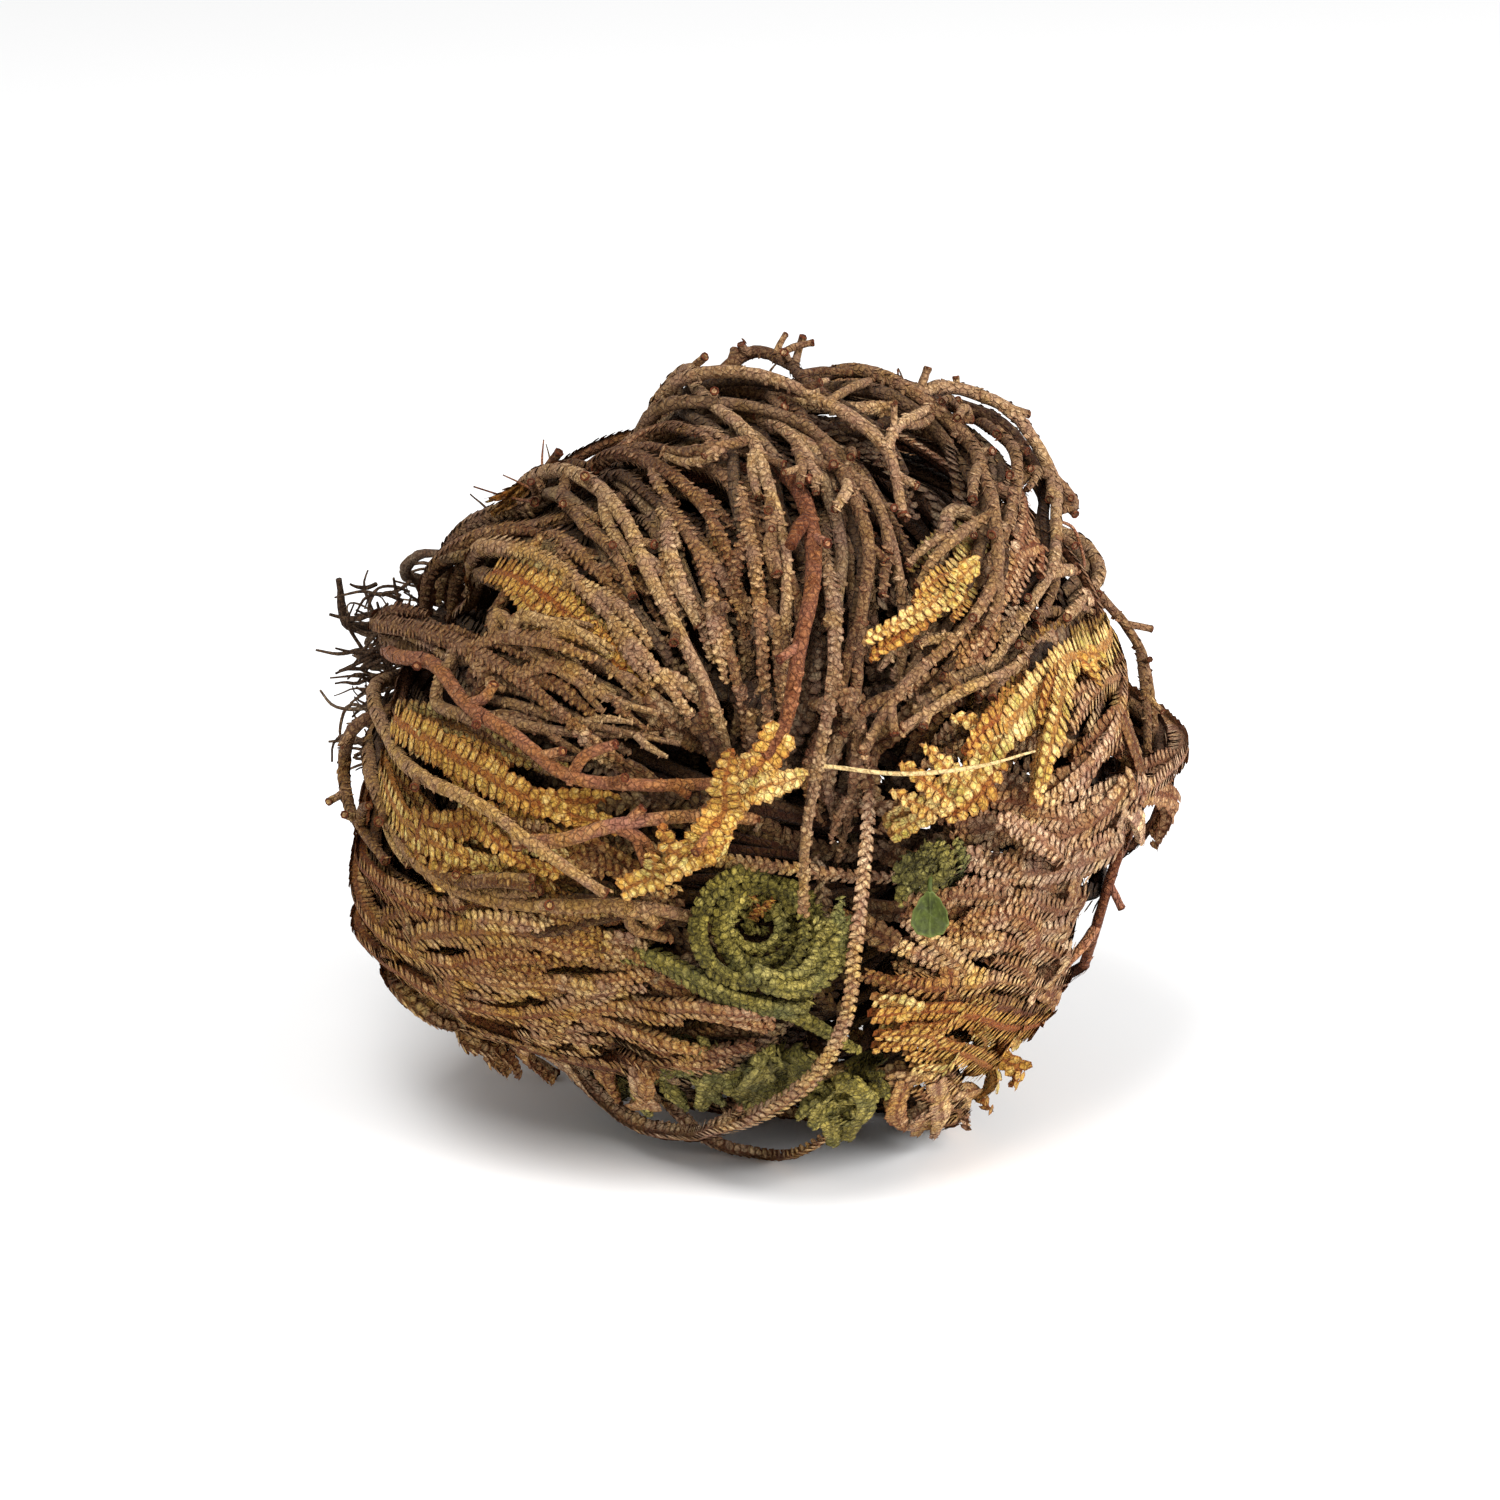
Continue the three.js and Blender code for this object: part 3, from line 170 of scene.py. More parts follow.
TOP_FRONDS = fronds("""
frond_top_arch bark 1.6
-6 35.8 -4, -3.4 37.6 0, -0.5 39.4, 2.8 38.7, 4.8 36.9 2, 6.3 35.3 2, 7.4 33.8 2
+ -0.6 39.4, -0.9 40.6 0.5

frond_top_long bark 1.7
-9.8 33.2, -5 36 1, -0.4 36.2 1, 5.1 34.1, 7.9 30.8, 9.4 26.5, 10.3 21.6, 10.9 15.5, 10.8 9.5, 10.6 4 -2,
10 -2 -5
+ -6 35.8, -7 36.6 1.5
+ 9 27.5, 9.2 24.8 2, 8.4 24 2.4

frond_top_sweeping bark 1.6
-6.5 36.2 -2, -4.6 35.4, -1.3 32.6, 1.1 29.8, 2.2 25.9, 3.3 21.6, 3.9 17, 3.7 12.4, 3.2 6 -3, 3 0 -6
+ 0.4 30.6, -3.8 29.6 2.6, -8.2 29.9 3.4
+ 2.6 24, 1.6 19.6 1.2, 2.2 17.6 1

frond_top_middle bark 1.6
-1.3 34.7, 2.3 32.9, 5.1 29.5, 7.9 25.9, 10.3 22.2 -1, 11.8 17.5 -3, 12.4 12 -4
+ 4.6 30.2, 5.2 27.6 1.6, 4.9 26.2 1.8

frond_top_cut bark 1.6
5 34.4 1, 7.9 32.9 1.5, 11.5 30.8 1.5, 14.4 27.7 1.5, 15 23.4 1.5
+ 12.4 30, 14.6 32.2 2.4, 17.8 34.2 3

frond_top_inner bark 1.5
6.5 32 -1, 9.1 30.6, 11.5 28, 13.1 24, 14.6 19.7, 15.2 16.1, 15.6 11 -1, 15.2 5 -3
+ 13.8 22, 13 17.4 1, 12.6 15.6 1
+ 9.4 30.4, 9.6 28.4 1.8

frond_right_arch bark 1.6
8 34 -2, 12.1 34.8 -2, 16.4 35.8 -2, 20.4 35.6 -1, 24.1 34, 28.1 30.8, 30.2 27.1, 30.6 23, 30.4 19.1,
28.4 15.5, 26.8 12.4, 24.4 9, 21 5.5 -1
+ 30.2 27.1, 32.1 26.9 1, 32.4 24.6 1.4, 31 23.9 1.6
+ 29.6 28.6, 26.6 27.4 -3, 24.6 26.6 -5

frond_right_prominent bark 1.7
17 34.6, 21 33.2 1, 22.9 30.1 1.5, 23.4 26.5 1.5, 23.8 21.6 1.5, 22.5 17 1.5, 19.5 11.8 1.5, 16.4 7.8 1.5,
13.4 3.2 1, 11.5 -0.5
+ 23.6 23.8, 20.4 20.4 1.4, 17.4 15.8 0.6
+ 19.8 12.4, 16.8 10.6 0.6

frond_right_second bark 1.6
21.6 34.2 -2, 24.2 32.6, 25.8 29.8, 26 25.4, 25.2 21.2, 22.9 15.5, 20.2 11 -1, 17.4 7.4 -2
+ 22.8 33.6, 20.2 32 1.5

frond_right_third scaly 1.8
25.4 27.6 -4, 27.2 24.6 -1, 26.4 20.6, 24.2 16.2, 21.8 12, 18.8 8 -1, 16.2 4.6 -2
+ 26.6 22.4, 29.2 19.4 0.6, 29 17.2 0.6

frond_right_crossing bark 1.7
35.2 19 -9, 33.8 16 -3, 31.1 12.4, 28.1 9.9 1, 24.4 6.9 1.5, 20.4 5.7 1.5, 17.3 4.4 1, 14.6 2.2
+ 32 13.6, 33.6 15.2 1.6
+ 21 6, 19 7.6 1.2

frond_red_brown smooth 1.8
2 28.8 -1, 4.2 26.4, 5.8 23.8 0.5, 6.5 21 1, 6.4 17 1, 5.7 13.9 1.4, 4.8 9.3 2, 3.6 3.2 3, 2.3 -0.5 4.5,
-0.4 -3.5 5.5, -3 -5.8 6, -5 -9 5, -7.8 -12.1 3, -12.3 -13.9 1.5
+ 5.8 23.8, 4.6 21.6 2.2, 4 20.4 2.4
+ -2.4 -5 6, -2.6 -2.4 7, -1.4 -1.2 7
+ -1.6 -4.6 6, 2 -3.4 6.5, 5.2 -2.6 5
+ -5.6 -9.8 5, -3.8 -9.9 6, -2.2 -9.1 6.4
+ -6.6 -10.8 5, -8.4 -9.4 5, -8 -8.6 5.4

frond_middle_scaly scaly 1.9
8 27.4 -2, 9.5 23 -1, 9.4 17 0.5, 8.8 12.4 1, 8.2 6.3 1.5, 7.2 1.7 2, 6.3 -5 4, 5.2 -11 4, 5.3 -16.2 1.4
+ 8.6 6.4, 10.2 3.8 2.2, 11 2.4 2.2
+ 9.2 14.6, 7.4 12.6 1.6

frond_middle_tan scaly 1.7
-2.4 29 -2, -0.6 24.6, -0.1 20, 0.8 13.9, 1.1 7.8, 1.4 0.1 -1, 1.2 -4 -4
+ -0.1 20.6, 1.4 18.2 1, 0.8 16.4 1.2
""")
LEFT_FRONDS = fronds("""
frond_left_upper scaly 1.9
-37.6 12.2, -33.3 12, -28.6 10.4, -24.8 8.1, -21.5 6.3, -18.6 3.4, -15.7 1, -12.6 -1.4 -1
+ -28.4 10.6, -23.4 11.4 1, -19.2 10.6 1, -15 9.2 0.6
+ -24 8, -19.4 8.4 0.6, -16 6.6 0.2

frond_left_smooth smooth 1.7
-35.6 9.4, -31.6 8.6, -28.7 4.9 0.5, -25.4 2.6 0.8, -21.9 0.3 1, -17.4 -2.9 1.4, -12.3 -3.5 1.4,
-7.6 -3.4 1, -3.6 -3.4 -0.5
+ -27.4 3.8, -25.6 6.6 1.4
+ -18.6 -2, -15.8 -0.2 2.2, -13.4 0.6 2

frond_left_broad scaly 2
-27.6 20 -1, -23.9 19.8, -20.7 19.2, -18 17.2, -15.7 14.8, -13.3 12.6, -11.3 10.1, -8.3 7, -5.4 3.4 -1
+ -23.6 20.4, -20.1 21.4, -17.1 19.6, -14.2 16.8, -12 14.6 -1

frond_left_high bark 1.8
-22.4 26.2 -1, -19.6 26.6, -16.2 26, -13.7 24.6, -11.9 21.9, -10.4 18.1, -8.3 14.6, -6.9 11, -5.2 7.2,
-3.3 3 -1, -2 -1 -3
+ -18.6 26.4, -16.6 22.6 0.4, -13.4 19.4 0.6, -11.8 15.2 0.6
+ -20.6 26.4, -21.4 24.6 1

frond_top_left scaly 1.7
-15.4 28.8, -12.2 28.8, -9.2 27.4, -6.2 25.2, -3.7 22.8, -2 19.6, -0.8 15.6 -1, -0.4 11 -2
+ -11.6 28.8, -9.4 31.6 0.6, -5.2 31.2 0.6, -2.6 28.8

frond_left_forked scaly 1.7
-9.8 27 -1, -7.4 24, -5.4 20.6, -3.9 17, -3.1 13, -1.9 8.7, -0.3 4.3 -1, 0.2 -0.6 -3
+ -8 24.6, -8.2 20.8, -6.9 16.8, -5 12.6 -1, -3.8 9 -2
+ -3.6 15, -2.2 14 1.6

frond_left_yellow ribbon 2.1
-25.6 17.8 -1, -21.4 16, -18.6 13.8, -15.9 11.2, -13.4 8.6, -10.6 5.4 -1
+ -22.2 16.4, -21.4 12.8 0.2, -18.4 10.2 0.2
""")
LOWER_LEFT_FRONDS = fronds("""
frond_left_rim bark 1.5
-37.4 3.6 -8, -39.4 0.4 -6, -40.2 -3 -4, -39.8 -6.2 -2, -38.3 -9.4 -1, -36.4 -11.6
+ -39 -6.4, -37.4 -5.4 2

frond_lower_long bark 1.9
-38 -3 -1, -36.2 -7, -33.7 -10.2 0.6, -30.5 -12.6 1, -26.7 -14.5 1, -21.9 -15.4 1, -17.1 -15.6 1,
-12.3 -15.4 1, -7.8 -16.2, -4.6 -16.8 -2
+ -30.4 -12.6, -26 -12.7 1.6, -21.6 -13.4 2.2
+ -15 -15.6, -11.8 -17.6 0.4, -8.4 -18.8 -0.6

frond_lower_yellow scaly 2
-38.8 -9 -3, -37.4 -11.6 -1, -35.2 -14, -32.2 -16.2, -28.2 -17.6, -23.6 -18.6, -18.6 -19, -14.6 -19.8 -1
+ -29.4 -17.2, -25.2 -16.9 0.8, -21 -17.6 0.8

frond_lower_third scaly 1.9
-39.2 -12.8 -5, -38.6 -15.6 -1, -36.2 -18.6, -33 -20.4, -28.9 -21.6, -24.1 -22.6, -18.7 -23, -13.2 -22.8,
-9.4 -22 -1
+ -27.8 -21.6, -24 -20.4 0.8, -20.6 -20.8 0.8

frond_lower_broad scaly 2
-38.9 -15.6 -6, -37.6 -19.2 -2, -34.8 -21.8, -31.4 -24, -27.3 -25.6, -23.1 -26.2, -17.1 -25.8, -12.3 -25.6,
-7.5 -25.8, -2.7 -26.6, 1.6 -27.6 -0.5
+ -18.4 -25.8, -13.2 -27.6 0.8, -8.6 -29.4 0.8, -5 -30.2 0.4

frond_lower_edge scaly 1.9
-35.6 -22.6 -5, -33 -25.2 -2, -29.4 -27.4, -25.6 -28.6, -21.6 -28.4, -17.6 -28.6, -14.2 -29 -1
+ -30.6 -26.8, -28 -29.6, -26 -30.4 1
+ -25.4 -28.6, -24.2 -31.6 -3

frond_ribbon_double ribbon 2.7
-35 3 -1, -31.5 0.8, -27.3 -1.9 0.6, -23.8 -4.3 0.8, -20.6 -6.2 0.8, -17.1 -7.6 0.6, -13.4 -8.4 -0.6
+ -31.2 0.4, -28.8 -4.4 0.2, -25.6 -7.7 0.4, -22.4 -10.4 0.4, -19.2 -12.2 0.2

frond_yellow_bundle ribbon 2.3
-36.6 -1.2 -3, -34.8 -6.4, -31.4 -8.6, -27.8 -9.8, -24.4 -11.2 -1, -21.2 -12 -1.6
+ -33.2 -8, -30 -10.9, -26.4 -12.4 -0.6

stub_smooth_long bark 1.7
-33.2 -1.8 1, -29 -3.6 2, -25.1 -6.4 3, -21.2 -9.6 3.4, -17.1 -12.8 3.4, -14.3 -14.4 3

frond_into_mouth smooth 1.8
-34 -6 -3, -29.6 -9.4 -2.6, -24.6 -9.2 0, -20.4 -9.4 1.2, -16.8 -8.6 1.4, -12.3 -6.8 1.6, -5.6 -6.5 0,
0.6 -6.9 -1.5
+ -12.4 -6.8, -10.6 -9.4 1.6, -9.4 -11.4 1
""")
GREEN_FRONDS = fronds("""
frond_green_coil green 1.6
-17.6 -19.6 -3, -12.6 -20.2 -1, -8.2 -21.4 -0.4, -3.8 -24, 0.4 -25.4, 4.6 -26.6, 8 -28.4, 10.4 -30
@ 1.4 -17.8 6 1.7 -55 -0.6 3.2

frond_green_shoot green 1.5
24 -12 -4, 21.2 -12.6 -2, 18.6 -13 -0.6, 16 -12.8, 14.8 -11.4 0.4, 15.6 -10.2 0.6
+ 18.4 -13, 18 -11.4 1, 19 -10.2 1

frond_green_under green 1.7
-16.4 -33.4 -9, -12.4 -33 -6, -8 -31.8 -4, -4 -31.4 -3, 0.6 -31.2 -3, 4.4 -31.2 -3, 6.6 -32.4 -3
+ -6.4 -31.6, -4.6 -33.6 -2, -3 -35.2 -1
+ -2.8 -31.4, -1.4 -33.8 -1.6, -0.6 -35.4 -1
+ 0.8 -31.2, 1.6 -33.8 -1.4, 1.8 -35.4 -0.8

frond_green_fingers green 1.7
14.6 -30.6 -9, 11.6 -31.8 -5, 9.4 -33 -1, 8.4 -35.2 0.6, 8.2 -37.6 2.4, 8.3 -39.2 3.4
+ 9 -33.6, 6.6 -35 1.2, 4.9 -36.6 2
+ 9.6 -33, 11.8 -33.6 0.4, 12 -35.6 1.4, 10.4 -36.2 2
""")
BOTTOM_FRONDS = fronds("""
frond_bottom_loop scaly 1.5
-18.6 -29.6 -5, -16.4 -32.2 0, -14.3 -34.6 2, -11.6 -36.6 3, -8 -38 4, -3.8 -38 4.6, -0.4 -37 4,
3 -35.5 3.4, 6 -33 3, 8.4 -29.6 2.4, 9.8 -25.4 1.6, 10.4 -20.2 1.4, 11 -15 1, 11.6 -9.6, 12 -4 -1
+ -2 -37.6, -1 -35.8 4

frond_bottom_second_loop scaly 1.4
-8.4 -35.6 -10, -6.2 -37.8 -5, -3 -39.9 -2, 1.2 -41.2 0, 4.8 -40.4 1, 7.4 -38.8 0, 10.2 -37 -3

frond_bottom_curl scaly 1.7
-19.4 -28.4 -10, -15.6 -30.4 -6, -11.8 -30.8 -1, -10 -32.6 1, -10.2 -34.6 1.4, -11.6 -36 0
+ -14.6 -30.6, -14 -33 -1, -13.2 -34.2 -0.4
""")
RIGHT_FRONDS = fronds("""
frond_right_rim bark 1.4
33.4 15.4 -12, 36.2 14 -10, 38.8 11 -9, 40.2 7.2 -8, 41.1 4.6 -8, 41.6 1.4 -7, 41.7 -1.8 -6, 41.4 -4.2 -5
+ 39.6 8.8, 39.6 4.4 -5, 40.4 -0.2 -3, 40.7 -3.2 -2

frond_right_wide scaly 2.1
35.2 12.6 -5, 36.8 9 -1, 37.2 5, 36 1.4, 33.6 -2, 30.8 -4.6, 27.6 -6.6, 24.4 -8.2 -1
+ 36.4 7.6, 33.8 5.2 0.8, 32.2 2.2 1

frond_right_braid scaly 2.1
41.4 1 -9, 40.8 -1.6 -3, 38.6 -4.2, 35 -5.8, 31 -7.6, 26.9 -9.4, 22.6 -10.6 -1
+ 39.4 -3.4, 40.4 -6.4 -1, 39.8 -8.6 -1

frond_right_lower scaly 2
40.6 -4.6 -9, 38.6 -7.4 -2, 34.6 -9.2, 30.4 -10.8, 26 -12.8, 21.6 -14.6 -1, 17.6 -15.8 -2
+ 31.6 -10.4, 28.4 -8.2 1.6, 25.2 -6.6 2

twig_red_brown smooth 1.5
37.6 -9 -7, 36.4 -11.4 -3, 35.4 -14.6 -1, 34.2 -17.8 -0.6, 32.8 -21 -1
+ 33.8 -18.6, 32 -20 -2, 30.9 -21.4 -3

frond_right_band scaly 2
32.4 -19.6 -9, 29.8 -20.4 -2, 27 -19.6, 23 -18.4, 19.6 -17.6 -0.4
+ 28.2 -20, 28 -17.4 0.4, 24.8 -15.8 0.4, 21.4 -15.6 -0.6

frond_right_low_band scaly 2.1
31.2 -22.8 -9, 29 -23.6 -2, 25.6 -23, 21.6 -22.2, 17.6 -20.8, 14.2 -19.2 -1
+ 22 -22.4, 18 -23.6 0.6, 14.6 -22.8 0.4

frond_orange_broad ribbon 2.9
28.6 -27 -8, 25.6 -27.4 -1, 21.4 -26.2 0.6, 17 -25.8 0.8, 12.6 -26.4 0.6
+ 26.2 -27.4, 24.6 -31 0.4, 20.8 -30 0.8, 16.4 -29.2 0.8, 12.8 -29.6 0.4
+ 27 -27.2, 26.4 -29.6 -2

frond_lowest_right scaly 2.1
19.6 -37.4 -8, 20.4 -35.2 -1, 18.6 -33.2 0.8, 15 -32.2 0.8, 12 -33.4 -2
+ 20 -35.6, 17.6 -36 0.4, 16.6 -38.2 0

frond_yellow_mauve ribbon 3
34.6 10.2 -3, 31.8 9.4 1, 29.6 7.2 1.8, 27.1 4.4 2.2, 24.4 1 2.2, 21.4 -3.6 2, 18.2 -6.6 1.2, 14.8 -8.6
+ 31.2 8.8, 30.6 4.2 2.6, 29.6 -0.4 2.8, 28.7 -4.6 2.4
+ 26.6 3.8, 24 2.8 3.6, 21.8 0.2 3.8

frond_yellow_small ribbon 2
24.6 23.4 -3, 22.2 19.4, 20.4 16.6 1.6, 17.7 14.9 2.6, 14.4 13.2 3, 11.7 11.2 2.6
+ 19.8 16.2, 20.6 14.2 1.6, 19 12.4 1.4
""")
FAR_FRONDS = fronds("""
frond_back_upper bark 1.8 wrap
118 34, 121 58, 124 80, 127 96
+ 120 46, 112 66 0.6, 108 82 0.4

frond_back_right scaly 1.9 wrap
158 34, 163 60, 165 84, 162 104, 156 118 -1
+ 161 48, 151 68 0.6, 147 84 0.4

frond_back_middle bark 1.8 wrap
196 34, 193 60, 190 84, 186 104 -1
+ 195 48, 203 68 0.6, 206 84 0.4

frond_back_lower scaly 1.9 wrap
262 30, 258 52, 256 74, 252 96, 247 112 -1
+ 259 46, 270 62 0.6, 276 78 0.6
""")
HANGING_FRONDS = fronds("""
frond_hanging bark 1.7 spine
-30 -19 -25.5, -27.2 -24.8 -24.5, -24.4 -28.8 -23, -21.8 -31.2 -21.4, -19.4 -33 -19.6
+ -27.2 -24.8 -24.5, -26.6 -28.4 -26.4, -24.4 -32.2 -27.6
""")
ROOT_TWIGS = fronds("""
root_twig_thick root 1.3 spine
-35 12.6 -19, -38 11.6 -16, -40.2 13 -14, -41.4 15.2 -13, -40.9 17 -12

root_twig_red root 1.3 spine
-30.8 16.6 -18, -34.6 17.8 -12, -33.2 19.4 -8, -30.8 20.6 -5, -28.4 19.6 -4
""")
# A loose piece caught in the mouth
STRAW = fronds("""
straw straw 0.45
7.4 -1.6 5, 12.2 -2.4 5, 18 -2.2 5.4, 23.7 -1.5 5.4, 28.5 -0.1 5
""")[0]

# Where a smooth stem turns leafy, as a length along it
LEAFY_FROM = {"frond_red_brown": 31.0}
# Small shoots, given one by one. Each row: look, width, tip against width: points as across, up, lift
DETAILS = rows_by_frond("""
frond_top_arch
bark 0.9 0.9: 4.4 37.6, 4.8 39.4 0.6, 5.3 41.2 1
bark 0.8 0.9: 4.8 39.2 0.6, 5.8 40.2 1, 6.9 40.7 1.4
bark 0.7 0.9: 5 39.8 0.6, 4.5 40.8 1, 4.2 41.7 1
bark 0.9 0.85: 5.6 36.6, 7.8 37.3 0.6, 10.2 37.5 1

frond_top_cut
bark 0.9 0.8: 9.6 34, 11.4 35.8, 14.2 37.2
bark 0.7 0.8: 7 33.6, 6.8 35.6 1, 7.8 36.6 1.4

frond_right_arch
smooth 0.4 0.5: 16.7 35.2, 16 36.8, 15.2 38.2
bark 0.8 0.9: 20.4 35.4, 20.9 36.4, 20.6 37.1
smooth 0.35 0.8: 30.6 23, 32.6 21.6, 33.4 18.8, 32.8 17.6
bark 1.3 0.95: 29.4 18.6, 31 18.6 1.2, 32 18.2 1.6

frond_right_crossing
scaly 1.2 0.4: 32.8 15.6, 33.8 15.4 0.6, 34.6 14.6 0.6
bark 0.8 0.9: 26.6 8.6 1, 28 6.9 2, 27.4 5.6 2

frond_red_brown
ribbon 2.2 0.5: -3.2 -5.6 6, -3 -3.2 7, -2.2 -0.6 7.4
ribbon 1.7 0.5: -2.8 -3.6 6.6, -1.6 -2.2 7, -0.4 -1 7.2
ribbon 2 0.6: -1.8 -4.8 6, 1.2 -3.6 6.6, 4.8 -2.8 6
ribbon 2 0.55: -6.6 -11 4, -8 -9.8 5, -8.6 -8.4 5.4
ribbon 1.8 0.55: -5.6 -10 4, -4 -10.2 5, -2.6 -9.4 5.4
ribbon 1.7 0.5: -9.4 -12.8 3, -9.2 -11.4 4, -9.8 -10.4 4.4

frond_yellow_mauve
ribbon 1.7 0.5: 20 -4.8 1.6, 17.4 -3 2.4, 15.6 -1.6 2.6
ribbon 1.6 0.5: 21.6 -3.4 1.6, 19.4 -1.6 2.4, 17.8 0.2 2.6
ribbon 1.5 0.5: 18.4 -6.4 1, 16.4 -5.4 2, 14.8 -4.4 2.2
ribbon 1.6 0.5: 24 0.4 2, 22.4 2.4 2.8, 20.6 3.2 2.8
ribbon 1.6 0.4: 31.8 9.6 1, 33.4 8.6 2, 34.8 6.6 2
ribbon 1.4 0.4: 32.6 9.6 1, 34.6 9.6 2, 35.6 8.4 2

frond_yellow_small
ribbon 1.5 0.5: 20.6 17 1.4, 21.6 17.6 2, 22.6 18.8 2

frond_left_high
smooth 0.3 0.5: -19.8 26.8, -20.2 28.8 0.5, -20.4 30.8 0.5
smooth 0.35 0.5: -24.6 22.6, -26.4 24 0.5, -28.4 25.8 0.5
smooth 0.3 0.5: -25.6 23.4 0.3, -25.2 25.2 0.5, -25.8 27 0.5
ribbon 1.5 0.5: -21.2 26.2, -23.2 24.8 0.6, -25.4 23.6 0.6
ribbon 1.2 0.5: -21.8 26, -24.2 25.2 0.6, -26 24.9 0.6

frond_green_coil
ribbon 0.8 0.5: 1.6 -17 -4, 2.2 -16 -2, 2.5 -15.2 -1
ribbon 0.8 0.5: 0.6 -15.4 -4, 0.4 -14.4 -2, 0.2 -13.6 -1
ribbon 0.7 0.5: 0.6 -17.6 -4, 0.9 -16.8 -2, 1 -16 -1
green 1.4 0.3: 6.4 -19.4 -0.6, 8.2 -17.6 0.6, 9 -15 1
green 1.4 0.3: 6.8 -20.8 -0.6, 9 -19 0.6, 10.2 -16.8 1
green 1.3 0.3: 6.6 -22 -0.6, 8.8 -21.4 0.4, 10.4 -19.4 0.8
green 1.4 0.4: 2.6 -24.6, 4.6 -25.2 0.6, 6 -25 0.8
green 1.3 0.3: -3.6 -21, -1.6 -22.8 0.8, 1.2 -23.6 1
green 1.3 0.5: -4.4 -19.6 -1, -3.6 -16.4 -1, -1.4 -14.2 -1.4, 1.2 -13.4 -2

frond_green_under
green 1.5 0.5: -10.6 -32.4 -5, -11.4 -34.4 -3, -10.4 -36.2 -2
green 1.5 0.5: -8.8 -32 -4, -8.2 -34 -2, -6.8 -35.6 -1
green 1.5 0.6: 3.4 -31.2 -3, 3.8 -33.6 -1.6, 3.2 -35.2 -1
green 1.5 0.6: 5.4 -31.6 -3, 6.2 -33.6 -2, 5.8 -35 -1

frond_green_fingers
green 1.5 0.6: 9.4 -33 -1, 7.6 -34.4 1, 6.4 -37.2 2.4
green 1.5 0.6: 9 -34 0, 10.2 -36.4 1.6, 9.8 -38.6 2.4
green 1.4 0.6: 10.6 -32.4 -2, 12.6 -32.6 0.4, 13.4 -34.4 0.8

frond_green_shoot
green 1.5 0.6: 18.6 -13 -0.6, 17.2 -11.6 1, 17.8 -9.8 1.4
green 1.4 0.6: 19.6 -12.8 -1, 20 -11.2 0.6, 18.8 -9.4 1
green 1.4 0.6: 17 -13 -0.6, 15.4 -13.8 0.6, 14.8 -15.2 0.6
green 1.3 0.5: 21 -12.6 -2, 21.4 -11 0.4, 20.8 -9.2 0.6

frond_lower_edge
bark 0.9 0.7: -29.6 -27.4, -29 -28.8 -1, -27.4 -30.4 -1
scaly 1.3 0.5: -26 -28.6, -26 -30.4 -1, -24.4 -32.2 -1
scaly 1.4 0.5: -22.8 -28.6, -22.6 -30.8 -1, -20.2 -33 -1
scaly 1.3 0.5: -20.4 -28.6, -20.2 -30.2 -1, -18.8 -31.6 -1
scaly 1.4 0.5: -17 -28.8, -15.6 -31 -1, -13.4 -31.8 -1

frond_lowest_right
scaly 1.5 0.4: 19.6 -34.6, 21.2 -36, 21.6 -37.6
scaly 1.5 0.4: 17.6 -33, 18.4 -36.4, 18.2 -38.6
scaly 1.5 0.4: 15 -32.4, 14.2 -35.4, 15.2 -37.6
scaly 1.4 0.4: 20.2 -35, 22.8 -34.6, 23.8 -36

frond_orange_broad
ribbon 1.8 0.5: 24.6 -31 0.4, 24.6 -33.4 0.4, 22.8 -34.8 0
ribbon 1.7 0.5: 25.4 -29.6 0.4, 27.2 -31.2 -0.4, 26.6 -33.2 -1
ribbon 1.7 0.5: 20.8 -30 0.8, 19 -31.8 1.2, 16.6 -31.6 1.2
ribbon 1.8 0.5: 21.4 -26.2 0.6, 18.8 -27.8 1.4, 15.8 -27.8 1.4

frond_right_braid
scaly 1.4 0.4: 39 -3.8, 41 -5.4 -1, 41.2 -8 -1
scaly 1.3 0.4: 37 -5, 38.8 -7, 39.2 -9.2

frond_right_low_band
scaly 1.5 0.4: 29.2 -23.4, 27.8 -25.4, 25.4 -25.8
scaly 1.5 0.4: 29.6 -23 -2, 30.6 -25.2 -2, 29.4 -27 -2
""")
